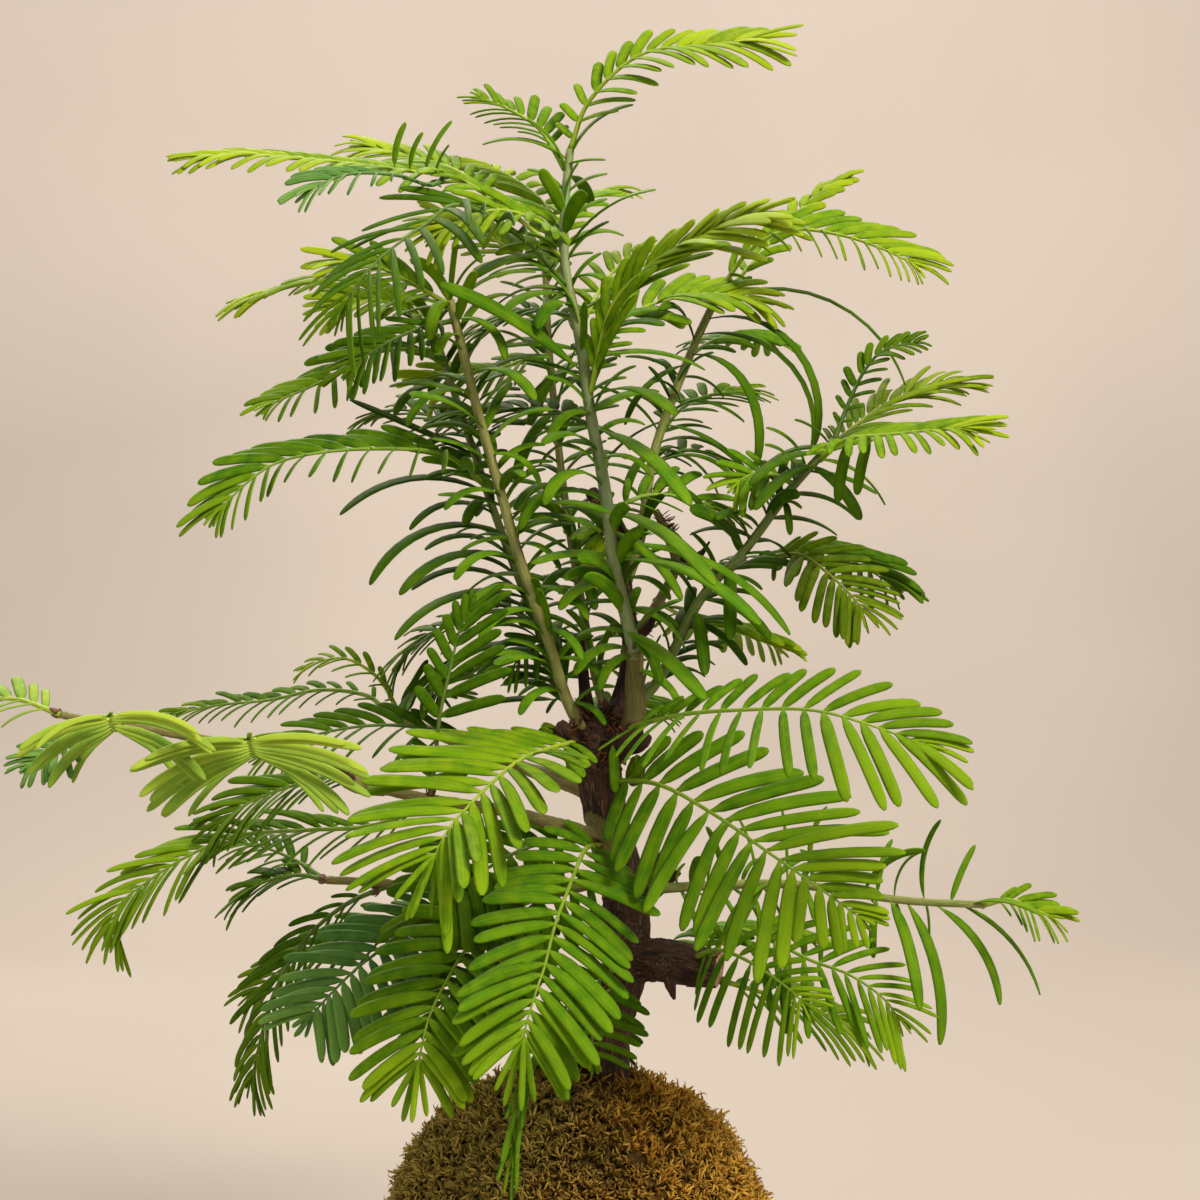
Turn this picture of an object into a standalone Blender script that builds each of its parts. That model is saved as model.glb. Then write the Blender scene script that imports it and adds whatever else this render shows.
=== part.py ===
"""Dawn redwood bonsai in a round stoneware bowl. Metres, +Z up.

The origin is the middle of the bowl's flat base, and the front of the tree faces -Y. A bowl holds
a ball of soil under a coat of moss. The trunk stands in a plain hole through both. Leafy stems
grow from the knob on the trunk, and fronds of leaflets grow from the trunk and from the stems.
"""

import math
import random
from dataclasses import dataclass

import bmesh
import bpy
from mathutils import Matrix, Vector
from mathutils.bvhtree import BVHTree

MM = 0.001
GAP = 0.3 * MM

# Bowl
BOWL_RADIUS = 46.5 * MM
BOWL_HEIGHT = 40.0 * MM
BOWL_WALL = 4.5 * MM
BOWL_FLOOR = 5.0 * MM
FOOT_RADIUS = 31.0 * MM
DRAIN_RADIUS = 3.0 * MM
DRAIN_CIRCLE = 16.0 * MM
DRAIN_COUNT = 3
DRAIN_SIDES = 12
BOWL_SEGMENTS = 26
BOWL_BEVEL = 1.0 * MM
RIM_BAND = 5.0 * MM
RIM_STEP = 1.8 * MM

# Where the bowl's wall bends: its radius and height as shares of the bowl's own
HEEL = (0.87, 0.27)
INNER_HEEL = (0.87, 0.30)
BELLY = (0.96, 0.60)
SHOULDER_AT_SOIL = 0.973

# Soil and moss
SOIL_LEVEL = BOWL_HEIGHT - 4.0 * MM
MOUND_CENTRE = SOIL_LEVEL - 1.0 * MM
MOUND_RADIUS = 39.6 * MM
MOSS_THICKNESS = 6.5 * MM
MOSS_RELIEF = 0.7 * MM
MOSS_HEM = 2.0 * MM
MOSS_RINGS = 8
HEAP_RINGS = 4
MOUND_SEGMENTS = 26

# The moss's tufts are waves across, in depth and on the slant, in radians per millimetre
TUFT_ACROSS = 0.42
TUFT_IN_DEPTH = 0.37
TUFT_BEND = ((0.9, 0.21), (0.6, 0.3))
TUFT_SLANT = Vector((0.8, -0.7, 0.5))

# Trunk foot, upright in its hole
FOOT_X = 6.0 * MM
TRUNK_FOOT_RADIUS = 4.9 * MM
TRUNK_FOOT_BOTTOM = 50.0 * MM
MOUND_TOP = MOUND_CENTRE + MOUND_RADIUS
HOLE_RADIUS = TRUNK_FOOT_RADIUS + 1.4 * GAP
HOLE_SIDES = 16
SMOOTH_UP_TO = MOUND_TOP + 3.0 * MM

# Roughness of the wood: a share of its radius, and how much of that changes along it
TRUNK_ROUGHNESS = 0.07
LIMB_ROUGHNESS = 0.06
ROUGHNESS_CHANGE = 0.6
THICK_LIMB = 3.0

# Stone half buried beside the trunk
STONE_PLACE = Vector((-1.9, -5.6, 75.2)) * MM
STONE_SIZE = Vector((2.5, 2.2, 3.4)) * MM
STONE_LUMP = 0.07
SOCKET_GROWTH = 1.25 * GAP

# Leaflets
LEAF_THICKNESS = 0.66 * MM
LEAF_WIDTH = 2.6 * MM
NARROWEST = 0.26
STRAP_WIDTH = 3.0 * MM
STRAP_THICKNESS = 1.2 * LEAF_THICKNESS
STRAP_OUTLINE = ((0.0, 0.35), (0.36, 1.0), (0.72, 0.85))
STRAP_FACING = Vector((0.1, -0.6, 0.8))
RIB_RADIUS = 0.5 * MM
RIB_TAPER = (1.15, 0.35)
RIB_DEPTH = 0.75
PAIR_SHARE = 0.67
SHOULDER = 0.7
LEAF_RISE = math.radians(12)
LEAF_DROOP = 26
SPLAY_AT_ROOT = 62
SPLAY_LOST_AT_TIP = 22
BARE_RIB = 2.2 * MM
RIB_POINT = 1.6 * MM
LEAF_ROOT = 1.7 * MM
FILL_PITCH = 14.0 * MM
FILL_TURN = 137.5
FILL_LENGTH = (13.0, 19.0)
FILL_LEAN = 0.35
FILL_ARCH = (0.1, 0.25)
FILL_CLEARANCE = 2.5 * MM

# Lengths of the leaflets along a frond, and how unlike each other they are
SHORTEST_AT_ROOT = 0.45
LENGTHENING = 2.2
LONGEST_AT = 0.45
SHORTENING = 0.55
LENGTH_CHANGE = (0.93, 1.05)
DROOP_CHANGE = (-6, 8)
SPLAY_CHANGE = (-3, 3)

# Ways to clear a leaf: share of its length, with extra turns in degrees, the plainest first
STRAP_TRIES = [
    (length, turn, pitch)
    for length in (1.0, 0.8, 0.6)
    for pitch in (0, 12, -12, 24)
    for turn in (0, 12, -12, 25, -25)
]
LEAFLET_TRIES = [
    (length, droop, splay)
    for length in (1.0, 0.82, 0.64)
    for droop, splay in ((0, 0), (14, 0), (-14, 0), (0, -9), (0, 9), (28, 0), (-28, 0), (40, -6),
                         (-40, -6))
]

# Places along stems and fronds are readings in millimetres: across and up in the plane of the
# trunk, as seen from this point in front of it, and depth behind that plane. The second value of
# each reading is the depth.
EYE_X = 5.0
EYE_DISTANCE = 450.0
EYE_Z = 168.0

# Woody shoots, each a list of readings with the wood's radius in millimetres there.
TRUNK = [
    (6, 0, 50, 4.9), (6, 0, 77, 4.9), (7, 0, 83, 4.2), (10, 1, 95, 4.5), (10, 2, 108, 4.6),
    (7, 1, 121, 4.3), (5, 0, 132, 4.4), (4, 0, 140, 5.4), (9, 3, 147, 2.2), (11, 4, 158, 1.6),
    (10, 5, 170, 1.6), (8, 6, 182, 1.8), (3, 8, 190, 1.4),
]
BRANCHES = {
    "thick_branch": [(11, 1, 96, 3.8), (17, -2, 96, 4.3), (23, -4, 95, 4.2), (29, -6, 94, 3.4)],
    "sawn_stub": [(9, 2, 110, 3.2), (14, 7, 111, 3.6), (19, 7, 116, 3.5)],
    "leader_foot": [
        (5, -1, 136, 3.2), (10, -4, 140, 2.8), (12, -5, 145, 2.1), (12, -6, 151, 1.8), (12, -8, 158, 1.7),
    ],
    "dead_twig": [(3, 2, 142, 1.7), (2, 3, 150, 1.2), (1, 5, 161, 0.9)],
    "wood_fork": [
        (10, 4, 157, 1.3), (15, 9, 165, 1.0), (20, 12, 174, 1.0), (19, 13, 180, 1.1), (16, 14, 186, 0.8),
    ],
    "long_left_branch": [
        (6, 0, 120, 2.2), (-3, -8, 123, 1.8), (-15, -14, 126, 1.6), (-29, -20, 128, 1.5),
        (-45, -28, 132, 1.3), (-64, -36, 138, 1.2), (-85, -44, 142, 1.1), (-103, -50, 145, 1.0),
    ],
    "low_left_twig": [
        (7, 2, 113, 2.0), (-3, 0, 110, 1.6), (-19, -2, 108, 1.3), (-35, 0, 111, 1.1),
        (-50, 4, 112, 1.0),
    ],
    "back_left_branch": [
        (6, 2, 128, 2.2), (-3, 12, 132, 1.8), (-15, 22, 136, 1.5), (-27, 30, 141, 1.3),
        (-38, 36, 146, 1.0),
    ],
}


@dataclass(frozen=True)
class Stem:
    """A green stem: the readings of its route and its radius in millimetres at root and tip."""

    readings: tuple
    root_radius: float
    tip_radius: float
    straps: tuple


@dataclass(frozen=True)
class Frond:
    """A frond: what carries it, its rib's readings, the way its upper side faces, and its leaves."""

    carrier: str
    readings: tuple
    face: tuple
    leaf_length: float
    pairs: int
    tone: str


# A strap leaf is a root reading, a tip reading and its arch as a share of its length.
STEMS = {
    "stem_leader": Stem(
        (
            (12, -8, 156), (11, -8, 162), (8, -10, 174), (6, -10, 190), (3, -8, 206),
            (1, -6, 220), (-2, -4, 235), (-2, -2, 247), (-1, 0, 258),
        ),
        1.6, 1.0,
        (
            ((1, -7, 214), (-27, -34, 231), 0.05), ((3, -8, 208), (20, -28, 205), 0.15),
            ((5, -9, 202), (23, -32, 187), 0.08), ((7, -10, 186), (28, -34, 171), 0.08),
            ((9, -10, 176), (37, -36, 163), 0.1), ((10, -8, 162), (26, -30, 148), 0.05),
            ((-1, -3, 239), (16, -14, 250), 0.12), ((-2, -2, 245), (-7, -12, 254), 0.05),
            ((-3, -4, 236), (-21, -14, 232), 0.12), ((-2, 0, 255), (6, -6, 256), 0.05),
        ),
    ),
    "stem_left_front": Stem(
        (
            (0, -4, 144), (-2, -6, 149), (-6, -8, 162), (-11, -8, 176), (-15, -8, 190),
            (-19, -10, 204), (-22, -12, 216), (-25, -14, 228),
        ),
        1.35, 1.0,
        (
            ((-13, -8, 185), (7, -22, 180), 0.1), ((-5, -7, 155), (-16, -22, 155), 0.1),
            ((-21, -12, 213), (-8, -24, 208), 0.2), ((-18, -10, 202), (-33, -26, 209), 0.1),
        ),
    ),
    "stem_left_back": Stem(
        (
            (0, 3, 145), (-3, 4, 150), (-8, 6, 164), (-13, 7, 177), (-17, 8, 188),
            (-21, 10, 200), (-25, 12, 212), (-29, 14, 224),
        ),
        1.1, 0.8,
        (
            ((-14, 7, 181), (-41, -4, 171), 0.25), ((-11, 7, 175), (-35, -10, 169), 0.2),
            ((-9, 6, 168), (-36, -2, 160), 0.2), ((-17, 8, 189), (-47, 0, 185), 0.2),
            ((-20, 9, 197), (-45, -8, 208), 0.0), ((-5, 5, 156), (-20, -6, 147), 0.2),
        ),
    ),
    "stem_right": Stem(
        (
            (9, 4, 146), (16, 3, 151), (25, -2, 168), (34, -4, 178), (43, -8, 190),
            (52, -10, 200),
        ),
        1.25, 0.95,
        (
            ((47, -9, 195), (57, -20, 184), 0.1), ((49, -9, 196), (62, -2, 187), 0.15),
            ((34, -4, 178), (23, -20, 186), 0.1), ((25, -2, 168), (39, -12, 160), 0.15),
        ),
    ),
    "stem_upper_right": Stem(
        ((8, 5, 168), (13, 6, 180), (16, 7, 198), (23, 8, 217), (29, 8, 230)),
        1.25, 0.95,
        (
            ((26, 8, 224), (48, -4, 199), 0.42), ((25, 8, 221), (47, 6, 197), 0.42),
            ((23, 8, 217), (36, -4, 194), 0.38), ((27, 8, 227), (66, 12, 211), 0.3),
            ((19, 7, 204), (5, 20, 194), 0.1), ((16, 7, 198), (29, 14, 188), 0.2),
        ),
    ),
    "stem_back": Stem(
        ((6, 6, 145), (3, 12, 158), (-2, 20, 188), (-5, 24, 216), (-6, 26, 236)),
        1.1, 0.8,
        (
            ((-2, 20, 188), (-15, 36, 184), 0.2), ((-3, 22, 200), (11, 40, 198), 0.2),
            ((-5, 24, 216), (-15, 40, 218), 0.2),
        ),
    ),
    "stem_right_twig": Stem(
        ((13, 5, 110), (29, 2, 111), (45, -4, 111), (65, -10, 108), (82, -14, 107)),
        1.2, 0.8,
        (
            ((66, -10, 108), (73, -18, 79), 0.15), ((63, -10, 108), (69, -28, 86), 0.12),
            ((72, -12, 107), (85, -18, 87), 0.15), ((77, -13, 107), (93, -8, 89), 0.12),
            ((75, -12, 107), (80, -6, 119), 0.05), ((55, -7, 109), (45, -2, 118), 0.1),
        ),
    ),
}

FRONDS = {
    "frond_crown_right": Frond(
        "stem_leader", ((-1, 0, 258), (3, -2, 268), (13, -6, 277), (26, -10, 279), (38, -14, 280)),
        (0, -0.6, 0.8), 13, 13, "fresh"),
    "frond_crown_left": Frond(
        "stem_leader", ((-3, 0, 254), (-7, 3, 262), (-13, 6, 266), (-20, 9, 269)),
        (0, -0.6, 0.8), 9, 8, "mid"),
    "frond_upper_left_long": Frond(
        "stem_leader",
        ((-2, -4, 236), (-11, -2, 244), (-23, -4, 252), (-35, -8, 254), (-51, -12, 256),
         (-67, -16, 257), (-77, -20, 256)),
        (0, -0.3, 1), 13, 18, "fresh"),
    "frond_upper_left_blue": Frond(
        "frond_upper_left_long",
        ((-26, -5, 252), (-29, -18, 251), (-36, -30, 253), (-46, -38, 253), (-55, -44, 249)),
        (0, -0.5, 0.85), 11, 10, "blue"),
    "frond_arch_left": Frond(
        "stem_leader",
        ((-2, -5, 231), (-11, -14, 241), (-23, -24, 247), (-30, -32, 243), (-37, -38, 238),
         (-43, -42, 232), (-48, -44, 223)),
        (-0.3, -0.5, 0.8), 18, 13, "dark"),
    "frond_left_light": Frond(
        "stem_left_back",
        ((-29, 14, 224), (-35, 18, 230), (-45, 22, 232), (-55, 24, 231), (-65, 26, 228)),
        (0, -0.2, 1), 13, 10, "fresh"),
    "frond_left_middle": Frond(
        "stem_left_back",
        ((-27, 12, 215), (-32, 2, 218), (-42, -6, 217), (-50, -12, 212), (-59, -16, 208),
         (-63, -18, 206)),
        (0, -0.45, 0.9), 13, 13, "mid"),
    "frond_left_drooping": Frond(
        "stem_left_back",
        ((-17, 8, 190), (-24, -8, 196), (-31, -14, 198), (-46, -22, 198), (-58, -28, 196),
         (-65, -32, 192), (-73, -34, 184)),
        (0, -0.45, 0.9), 14, 15, "mid"),
    "frond_crown_back_left": Frond(
        "stem_leader", ((-2, -3, 240), (-6, 8, 247), (-12, 18, 252), (-19, 26, 255), (-29, 32, 256)),
        (0.1, -0.2, 1), 12, 9, "fresh"),
    "frond_crown_inner": Frond(
        "stem_leader", ((1, -6, 222), (5, 4, 230), (10, 12, 236), (16, 20, 239)),
        (0, -0.4, 0.9), 10, 7, "fresh"),
    "frond_right_top_front": Frond(
        "stem_leader",
        ((3, -8, 209), (7, -14, 226), (15, -20, 235), (23, -28, 240), (32, -36, 244), (39, -42, 245)),
        (-0.3, -0.9, 0.4), 15, 12, "fresh"),
    "frond_right_top_outer": Frond(
        "stem_upper_right",
        ((29, 8, 230), (35, 4, 238), (43, 0, 242), (53, -4, 241), (62, -8, 238), (70, -12, 234)),
        (0, -0.5, 0.85), 12, 13, "fresh"),
    "frond_right_top_back": Frond(
        "stem_upper_right", ((29, 8, 228), (36, 16, 236), (44, 22, 245), (50, 26, 250), (55, 28, 253)),
        (-0.3, -0.4, 0.85), 9, 8, "fresh"),
    "frond_right_upright": Frond(
        "stem_right", ((52, -10, 200), (55, -11, 208), (58, -12, 214), (62, -14, 218), (70, -16, 220)),
        (-0.3, -0.6, 0.7), 8, 9, "dark"),
    "frond_right_olive": Frond(
        "stem_right", ((50, -9, 198), (55, 0, 202), (62, 8, 207), (70, 14, 210), (78, 20, 211)),
        (0, -0.35, 0.95), 13, 9, "olive"),
    "frond_right_bright": Frond(
        "stem_right", ((49, -9, 196), (54, -20, 200), (62, -28, 201), (73, -36, 202), (85, -44, 202)),
        (0, -0.4, 0.9), 12, 11, "fresh"),
    "frond_right_dark": Frond(
        "stem_right", ((29, -3, 173), (36, 10, 176), (45, 22, 178), (55, 34, 176), (65, 44, 170)),
        (0.2, 0.35, 0.9), 16, 11, "dark"),
    "frond_right_behind": Frond(
        "trunk", ((16, 10, 168), (23, 22, 164), (31, 32, 162), (42, 42, 158)),
        (0, 0.1, 1), 13, 9, "fresh"),
    "frond_big_right_upper": Frond(
        "trunk",
        ((9, -3, 142), (21, -26, 145), (33, -40, 146), (47, -52, 146), (59, -60, 143),
         (72, -66, 138), (82, -70, 132)),
        (0, -0.77, 0.64), 18, 16, "mid"),
    "frond_big_right_lower": Frond(
        "trunk",
        ((7, -3, 132), (17, -14, 131), (28, -24, 125), (38, -34, 118), (48, -42, 111), (59, -48, 103)),
        (0.1, -0.9, 0.4), 23, 14, "mid"),
    "frond_right_twig_tip": Frond(
        "stem_right_twig", ((82, -14, 107), (87, -16, 108), (92, -18, 106), (97, -20, 104)),
        (0, -0.6, 0.8), 8, 8, "fresh"),
    "frond_low_right_front": Frond(
        "trunk",
        ((27, -8, 97), (32, -6, 102), (39, -8, 100), (47, -12, 96), (55, -16, 93), (62, -20, 88),
         (66, -22, 82)),
        (0, -0.75, 0.65), 15, 12, "mid"),
    "frond_low_right_back": Frond(
        "trunk", ((29, -5, 92), (39, 0, 89), (45, 4, 87), (53, 8, 84), (57, 10, 81)),
        (0, -0.5, 0.85), 14, 9, "mid"),
    "frond_front_big": Frond(
        "trunk",
        ((5, -3, 118), (2, -14, 118), (-1, -26, 111), (-4, -36, 103), (-6, -42, 95), (-8, -46, 89),
         (-10, -48, 82), (-11, -50, 75)),
        (0.1, -0.85, 0.5), 18, 15, "mid"),
    "frond_front_left_upper": Frond(
        "trunk",
        ((1, -3, 140), (-6, -18, 138), (-11, -30, 136), (-16, -40, 132), (-22, -48, 126),
         (-26, -54, 121), (-30, -58, 112)),
        (-0.2, -0.8, 0.55), 18, 12, "fresh"),
    "frond_front_left_lower": Frond(
        "trunk",
        ((5, -3, 111), (-3, -8, 110), (-14, -16, 105), (-21, -24, 99), (-25, -30, 93),
         (-29, -36, 85), (-31, -40, 77), (-32, -42, 71)),
        (-0.1, -0.85, 0.5), 16, 13, "fresh"),
    "frond_left_blue": Frond(
        "trunk",
        ((-21, -1, 109), (-27, -6, 107), (-32, -10, 104), (-39, -16, 98), (-44, -20, 94),
         (-50, -24, 88), (-55, -28, 82)),
        (-0.1, -0.8, 0.6), 15, 14, "blue"),
    "frond_left_under": Frond(
        "trunk", ((-19, -2, 108), (-28, 8, 106), (-42, 14, 102), (-56, 18, 96), (-66, 20, 88)),
        (-0.1, -0.6, 0.8), 14, 12, "dark"),
    "frond_left_inner": Frond(
        "trunk", ((-15, 22, 136), (-25, 14, 141), (-38, 10, 143), (-52, 8, 141), (-64, 6, 136)),
        (0, -0.5, 0.85), 13, 12, "dark"),
    "frond_left_hanging": Frond(
        "trunk",
        ((-37, 1, 111), (-46, 2, 107), (-54, 2, 100), (-60, 2, 90), (-63, 4, 80), (-65, 6, 70)),
        (-0.4, -0.6, 0.7), 13, 15, "dark"),
    "frond_left_far": Frond(
        "trunk",
        ((-27, -19, 128), (-40, -14, 123), (-53, -14, 122), (-67, -16, 121), (-77, -20, 117),
         (-85, -22, 112), (-91, -24, 107), (-93, -24, 100)),
        (0, -0.45, 0.9), 13, 20, "mid"),
    "frond_low_left_tip": Frond(
        "trunk", ((-50, 4, 112), (-55, 6, 113), (-61, 8, 112), (-67, 10, 109)),
        (0, -0.4, 0.9), 12, 7, "dark"),
    "frond_back_left_tip": Frond(
        "trunk",
        ((-38, 36, 146), (-42, 38, 149), (-51, 40, 150), (-61, 42, 148), (-71, 44, 147),
         (-82, 46, 145)),
        (0, -0.4, 0.9), 9, 14, "mid"),
    "frond_back_left_light": Frond(
        "trunk", ((-35, 34, 145), (-39, 30, 152), (-45, 30, 156), (-50, 32, 156), (-55, 34, 154)),
        (0, -0.5, 0.85), 7, 8, "fresh"),
    "frond_long_left_inner": Frond(
        "trunk", ((-63, -36, 138), (-64, -44, 137), (-65, -56, 139), (-66, -66, 142)),
        (0, -0.35, 0.94), 22, 9, "fresh"),
    "frond_long_left_outer": Frond(
        "trunk", ((-91, -46, 143), (-92, -54, 142), (-93, -64, 144), (-93, -72, 146)),
        (0, -0.35, 0.94), 16, 8, "fresh"),
    "frond_long_left_blue": Frond(
        "trunk",
        ((-98, -48, 144), (-101, -51, 140), (-106, -54, 137), (-111, -56, 133), (-113, -58, 127)),
        (-0.3, -0.7, 0.6), 10, 8, "blue"),
    "frond_long_left_tip": Frond(
        "trunk", ((-103, -50, 145), (-111, -44, 148), (-119, -40, 148), (-127, -38, 146)),
        (0, -0.5, 0.85), 11, 8, "fresh"),
    "frond_young_upright": Frond(
        "trunk",
        ((-29, -20, 128), (-28, -24, 136), (-27, -27, 145), (-25, -28, 154), (-23, -28, 162),
         (-20, -26, 168)),
        (-0.1, -1, 0.1), 9, 9, "dark"),
    "frond_centre_left_dark": Frond(
        "stem_left_back",
        ((-19, 9, 194), (-20, 18, 199), (-27, 26, 204), (-35, 32, 206), (-41, 38, 204)),
        (0, -0.4, 0.9), 13, 9, "dark"),
    "frond_centre_low_left": Frond(
        "stem_left_back",
        ((-8, 6, 164), (-15, 14, 166), (-23, 22, 164), (-31, 28, 160), (-35, 32, 155)),
        (0, -0.5, 0.85), 15, 10, "dark"),
    "frond_low_behind": Frond(
        "trunk", ((8, 4, 86), (6, 16, 85), (6, 24, 81), (7, 30, 76)),
        (0, -0.7, 0.7), 10, 6, "dark"),
    "frond_low_hanging": Frond(
        "trunk",
        ((6, -5, 90), (-1, -18, 86), (-7, -30, 79), (-10, -38, 71), (-12, -43, 61), (-13, -46, 50)),
        (-0.2, -0.9, 0.3), 12, 8, "mid"),
    "frond_back_high": Frond(
        "stem_back", ((-6, 26, 236), (-3, 36, 245), (3, 46, 249), (10, 54, 250)),
        (0, -0.2, 1), 12, 9, "fresh"),
    "frond_back_right": Frond(
        "stem_upper_right", ((23, 8, 217), (28, 22, 220), (34, 36, 221), (40, 48, 219)),
        (0, 0, 1), 13, 8, "mid"),
    "frond_back_low_right": Frond(
        "trunk", ((23, 0, 98), (29, 16, 102), (38, 30, 103), (48, 42, 100)),
        (0, 0, 1), 14, 9, "mid"),
    "frond_back_low_left": Frond(
        "trunk", ((9, 5, 107), (3, 18, 105), (-5, 30, 101), (-15, 42, 96)),
        (0, -0.2, 1), 15, 10, "dark"),
    "frond_back_middle": Frond(
        "trunk", ((5, 5, 141), (7, 18, 145), (9, 32, 148), (13, 46, 147), (16, 56, 144)),
        (0, 0, 1), 15, 10, "mid"),
}

# Colours as linear red, green and blue, with roughness
FINISHES = {
    "stoneware": ((0.085, 0.052, 0.035), 0.75),
    "soil": ((0.030, 0.020, 0.013), 0.95),
    "moss": ((0.110, 0.066, 0.012), 0.95),
    "stone": ((0.120, 0.140, 0.140), 0.80),
    "bark": ((0.055, 0.028, 0.014), 0.90),
    "green_stem": ((0.160, 0.190, 0.060), 0.60),
    "fresh": ((0.300, 0.440, 0.050), 0.50),
    "mid": ((0.130, 0.270, 0.030), 0.50),
    "dark": ((0.060, 0.150, 0.022), 0.50),
    "blue": ((0.060, 0.180, 0.090), 0.50),
    "olive": ((0.220, 0.300, 0.030), 0.50),
}


def place(reading):
    """The point in space of a reading of across, depth and up."""
    across, depth, up = reading[:3]
    reach = 1.0 + depth / EYE_DISTANCE
    return Vector((EYE_X + (across - EYE_X) * reach, depth, EYE_Z + (up - EYE_Z) * reach)) * MM


class Route:
    """A smooth line through its places, read by the distance along it."""

    STEPS = 12

    def __init__(self, places):
        ends = [2 * places[0] - places[1]] + places + [2 * places[-1] - places[-2]]
        self.points = [places[0]]
        for a, b, c, d in zip(ends, ends[1:], ends[2:], ends[3:]):
            for step in range(1, self.STEPS + 1):
                self.points.append(self.between(a, b, c, d, step / self.STEPS))
        self.distances = [0.0]
        for before, after in zip(self.points, self.points[1:]):
            self.distances.append(self.distances[-1] + (after - before).length)
        self.stops = self.distances[:: self.STEPS]
        self.length = self.distances[-1]

    @staticmethod
    def between(a, b, c, d, t):
        """The point at share t of the smooth line from b to c."""
        return 0.5 * (
            2 * b + (c - a) * t + (2 * a - 5 * b + 4 * c - d) * t**2 + (3 * b - a - 3 * c + d) * t**3
        )

    def at(self, distance):
        """The point this far along, straight on past either end."""
        for i, reached in enumerate(self.distances[1:]):
            if distance <= reached or i == len(self.points) - 2:
                span = reached - self.distances[i]
                return self.points[i].lerp(self.points[i + 1], (distance - self.distances[i]) / span)

    def along(self, distance):
        """The direction of the line there."""
        step = 0.5 * MM
        return (self.at(distance + step) - self.at(distance - step)).normalized()


def object_of(name, points, faces, finish):
    """An object from points and faces, its normals outwards, in its own finish."""
    mesh = bpy.data.meshes.new(name)
    mesh.from_pydata(points, [], faces)
    shape = bmesh.new()
    shape.from_mesh(mesh)
    bmesh.ops.recalc_face_normals(shape, faces=shape.faces)
    shape.to_mesh(mesh)
    shape.free()
    mesh.materials.append(material_of(finish))
    made = bpy.data.objects.new(name, mesh)
    bpy.context.scene.collection.objects.link(made)
    return made


def material_of(finish):
    """The plain material of a finish, made once."""
    material = bpy.data.materials.get(finish)
    if material is None:
        colour, roughness = FINISHES[finish]
        material = bpy.data.materials.new(finish)
        material.use_nodes = True
        shader = material.node_tree.nodes["Principled BSDF"]
        shader.inputs["Base Color"].default_value = (*colour, 1.0)
        shader.inputs["Roughness"].default_value = roughness
        shader.inputs["Metallic"].default_value = 0.0
        material.diffuse_color = (*colour, 1.0)
    return material


def smooth(made, angle=40.0):
    """Shades it smooth, and leaves edges sharper than the angle."""
    made.data.shade_smooth()
    made.data.set_sharp_from_angle(angle=math.radians(angle))


def combine(target, others, operation, solver):
    """Joins the others to the target, or cuts them from it, and removes them."""
    group = bpy.data.collections.new(target.name + "_repeats")
    bpy.context.scene.collection.children.link(group)
    for other in others:
        bpy.context.scene.collection.objects.unlink(other)
        group.objects.link(other)
    modifier = target.modifiers.new("Joined", "BOOLEAN")
    modifier.operation = operation
    modifier.operand_type = "COLLECTION"
    modifier.collection = group
    modifier.solver = solver
    bpy.context.view_layer.update()
    graph = bpy.context.evaluated_depsgraph_get()
    mesh = bpy.data.meshes.new_from_object(target.evaluated_get(graph))
    target.modifiers.clear()
    target.data = mesh
    for other in others:
        bpy.data.objects.remove(other)
    bpy.data.collections.remove(group)


def turned(name, profile, segments, finish, relief=None):
    """A body turned about the Z axis. The profile starts and ends on the axis."""
    points = [Vector((0, 0, profile[0][1]))]
    for radius, height in profile[1:-1]:
        for i in range(segments):
            angle = math.tau * i / segments
            point = Vector((radius * math.cos(angle), radius * math.sin(angle), height))
            points.append(relief(point) if relief else point)
    points.append(Vector((0, 0, profile[-1][1])))
    rings = len(profile) - 2
    faces = []
    for i in range(segments):
        j = (i + 1) % segments
        faces.append((0, 1 + i, 1 + j))
        last = 1 + (rings - 1) * segments
        faces.append((last + j, last + i, len(points) - 1))
        for ring in range(rings - 1):
            base = 1 + ring * segments
            faces.append((base + i, base + segments + i, base + segments + j, base + j))
    return object_of(name, points, faces, finish)


def peg(name, centre, radius, bottom, top, sides):
    """An upright round cutter."""
    points = []
    for height in (bottom, top):
        for i in range(sides):
            angle = math.tau * (i + 0.5) / sides
            points.append(Vector((centre.x + radius * math.cos(angle),
                                  centre.y + radius * math.sin(angle), height)))
    faces = [tuple(range(sides)), tuple(range(sides, 2 * sides))]
    for i in range(sides):
        j = (i + 1) % sides
        faces.append((i, j, sides + j, sides + i))
    return object_of(name, points, faces, "bark")


def bowl_bend(bend, inset=0.0):
    """Radius and height of a bend in the wall, given as shares of the bowl's own."""
    return BOWL_RADIUS * bend[0] - inset, BOWL_HEIGHT * bend[1]


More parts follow.
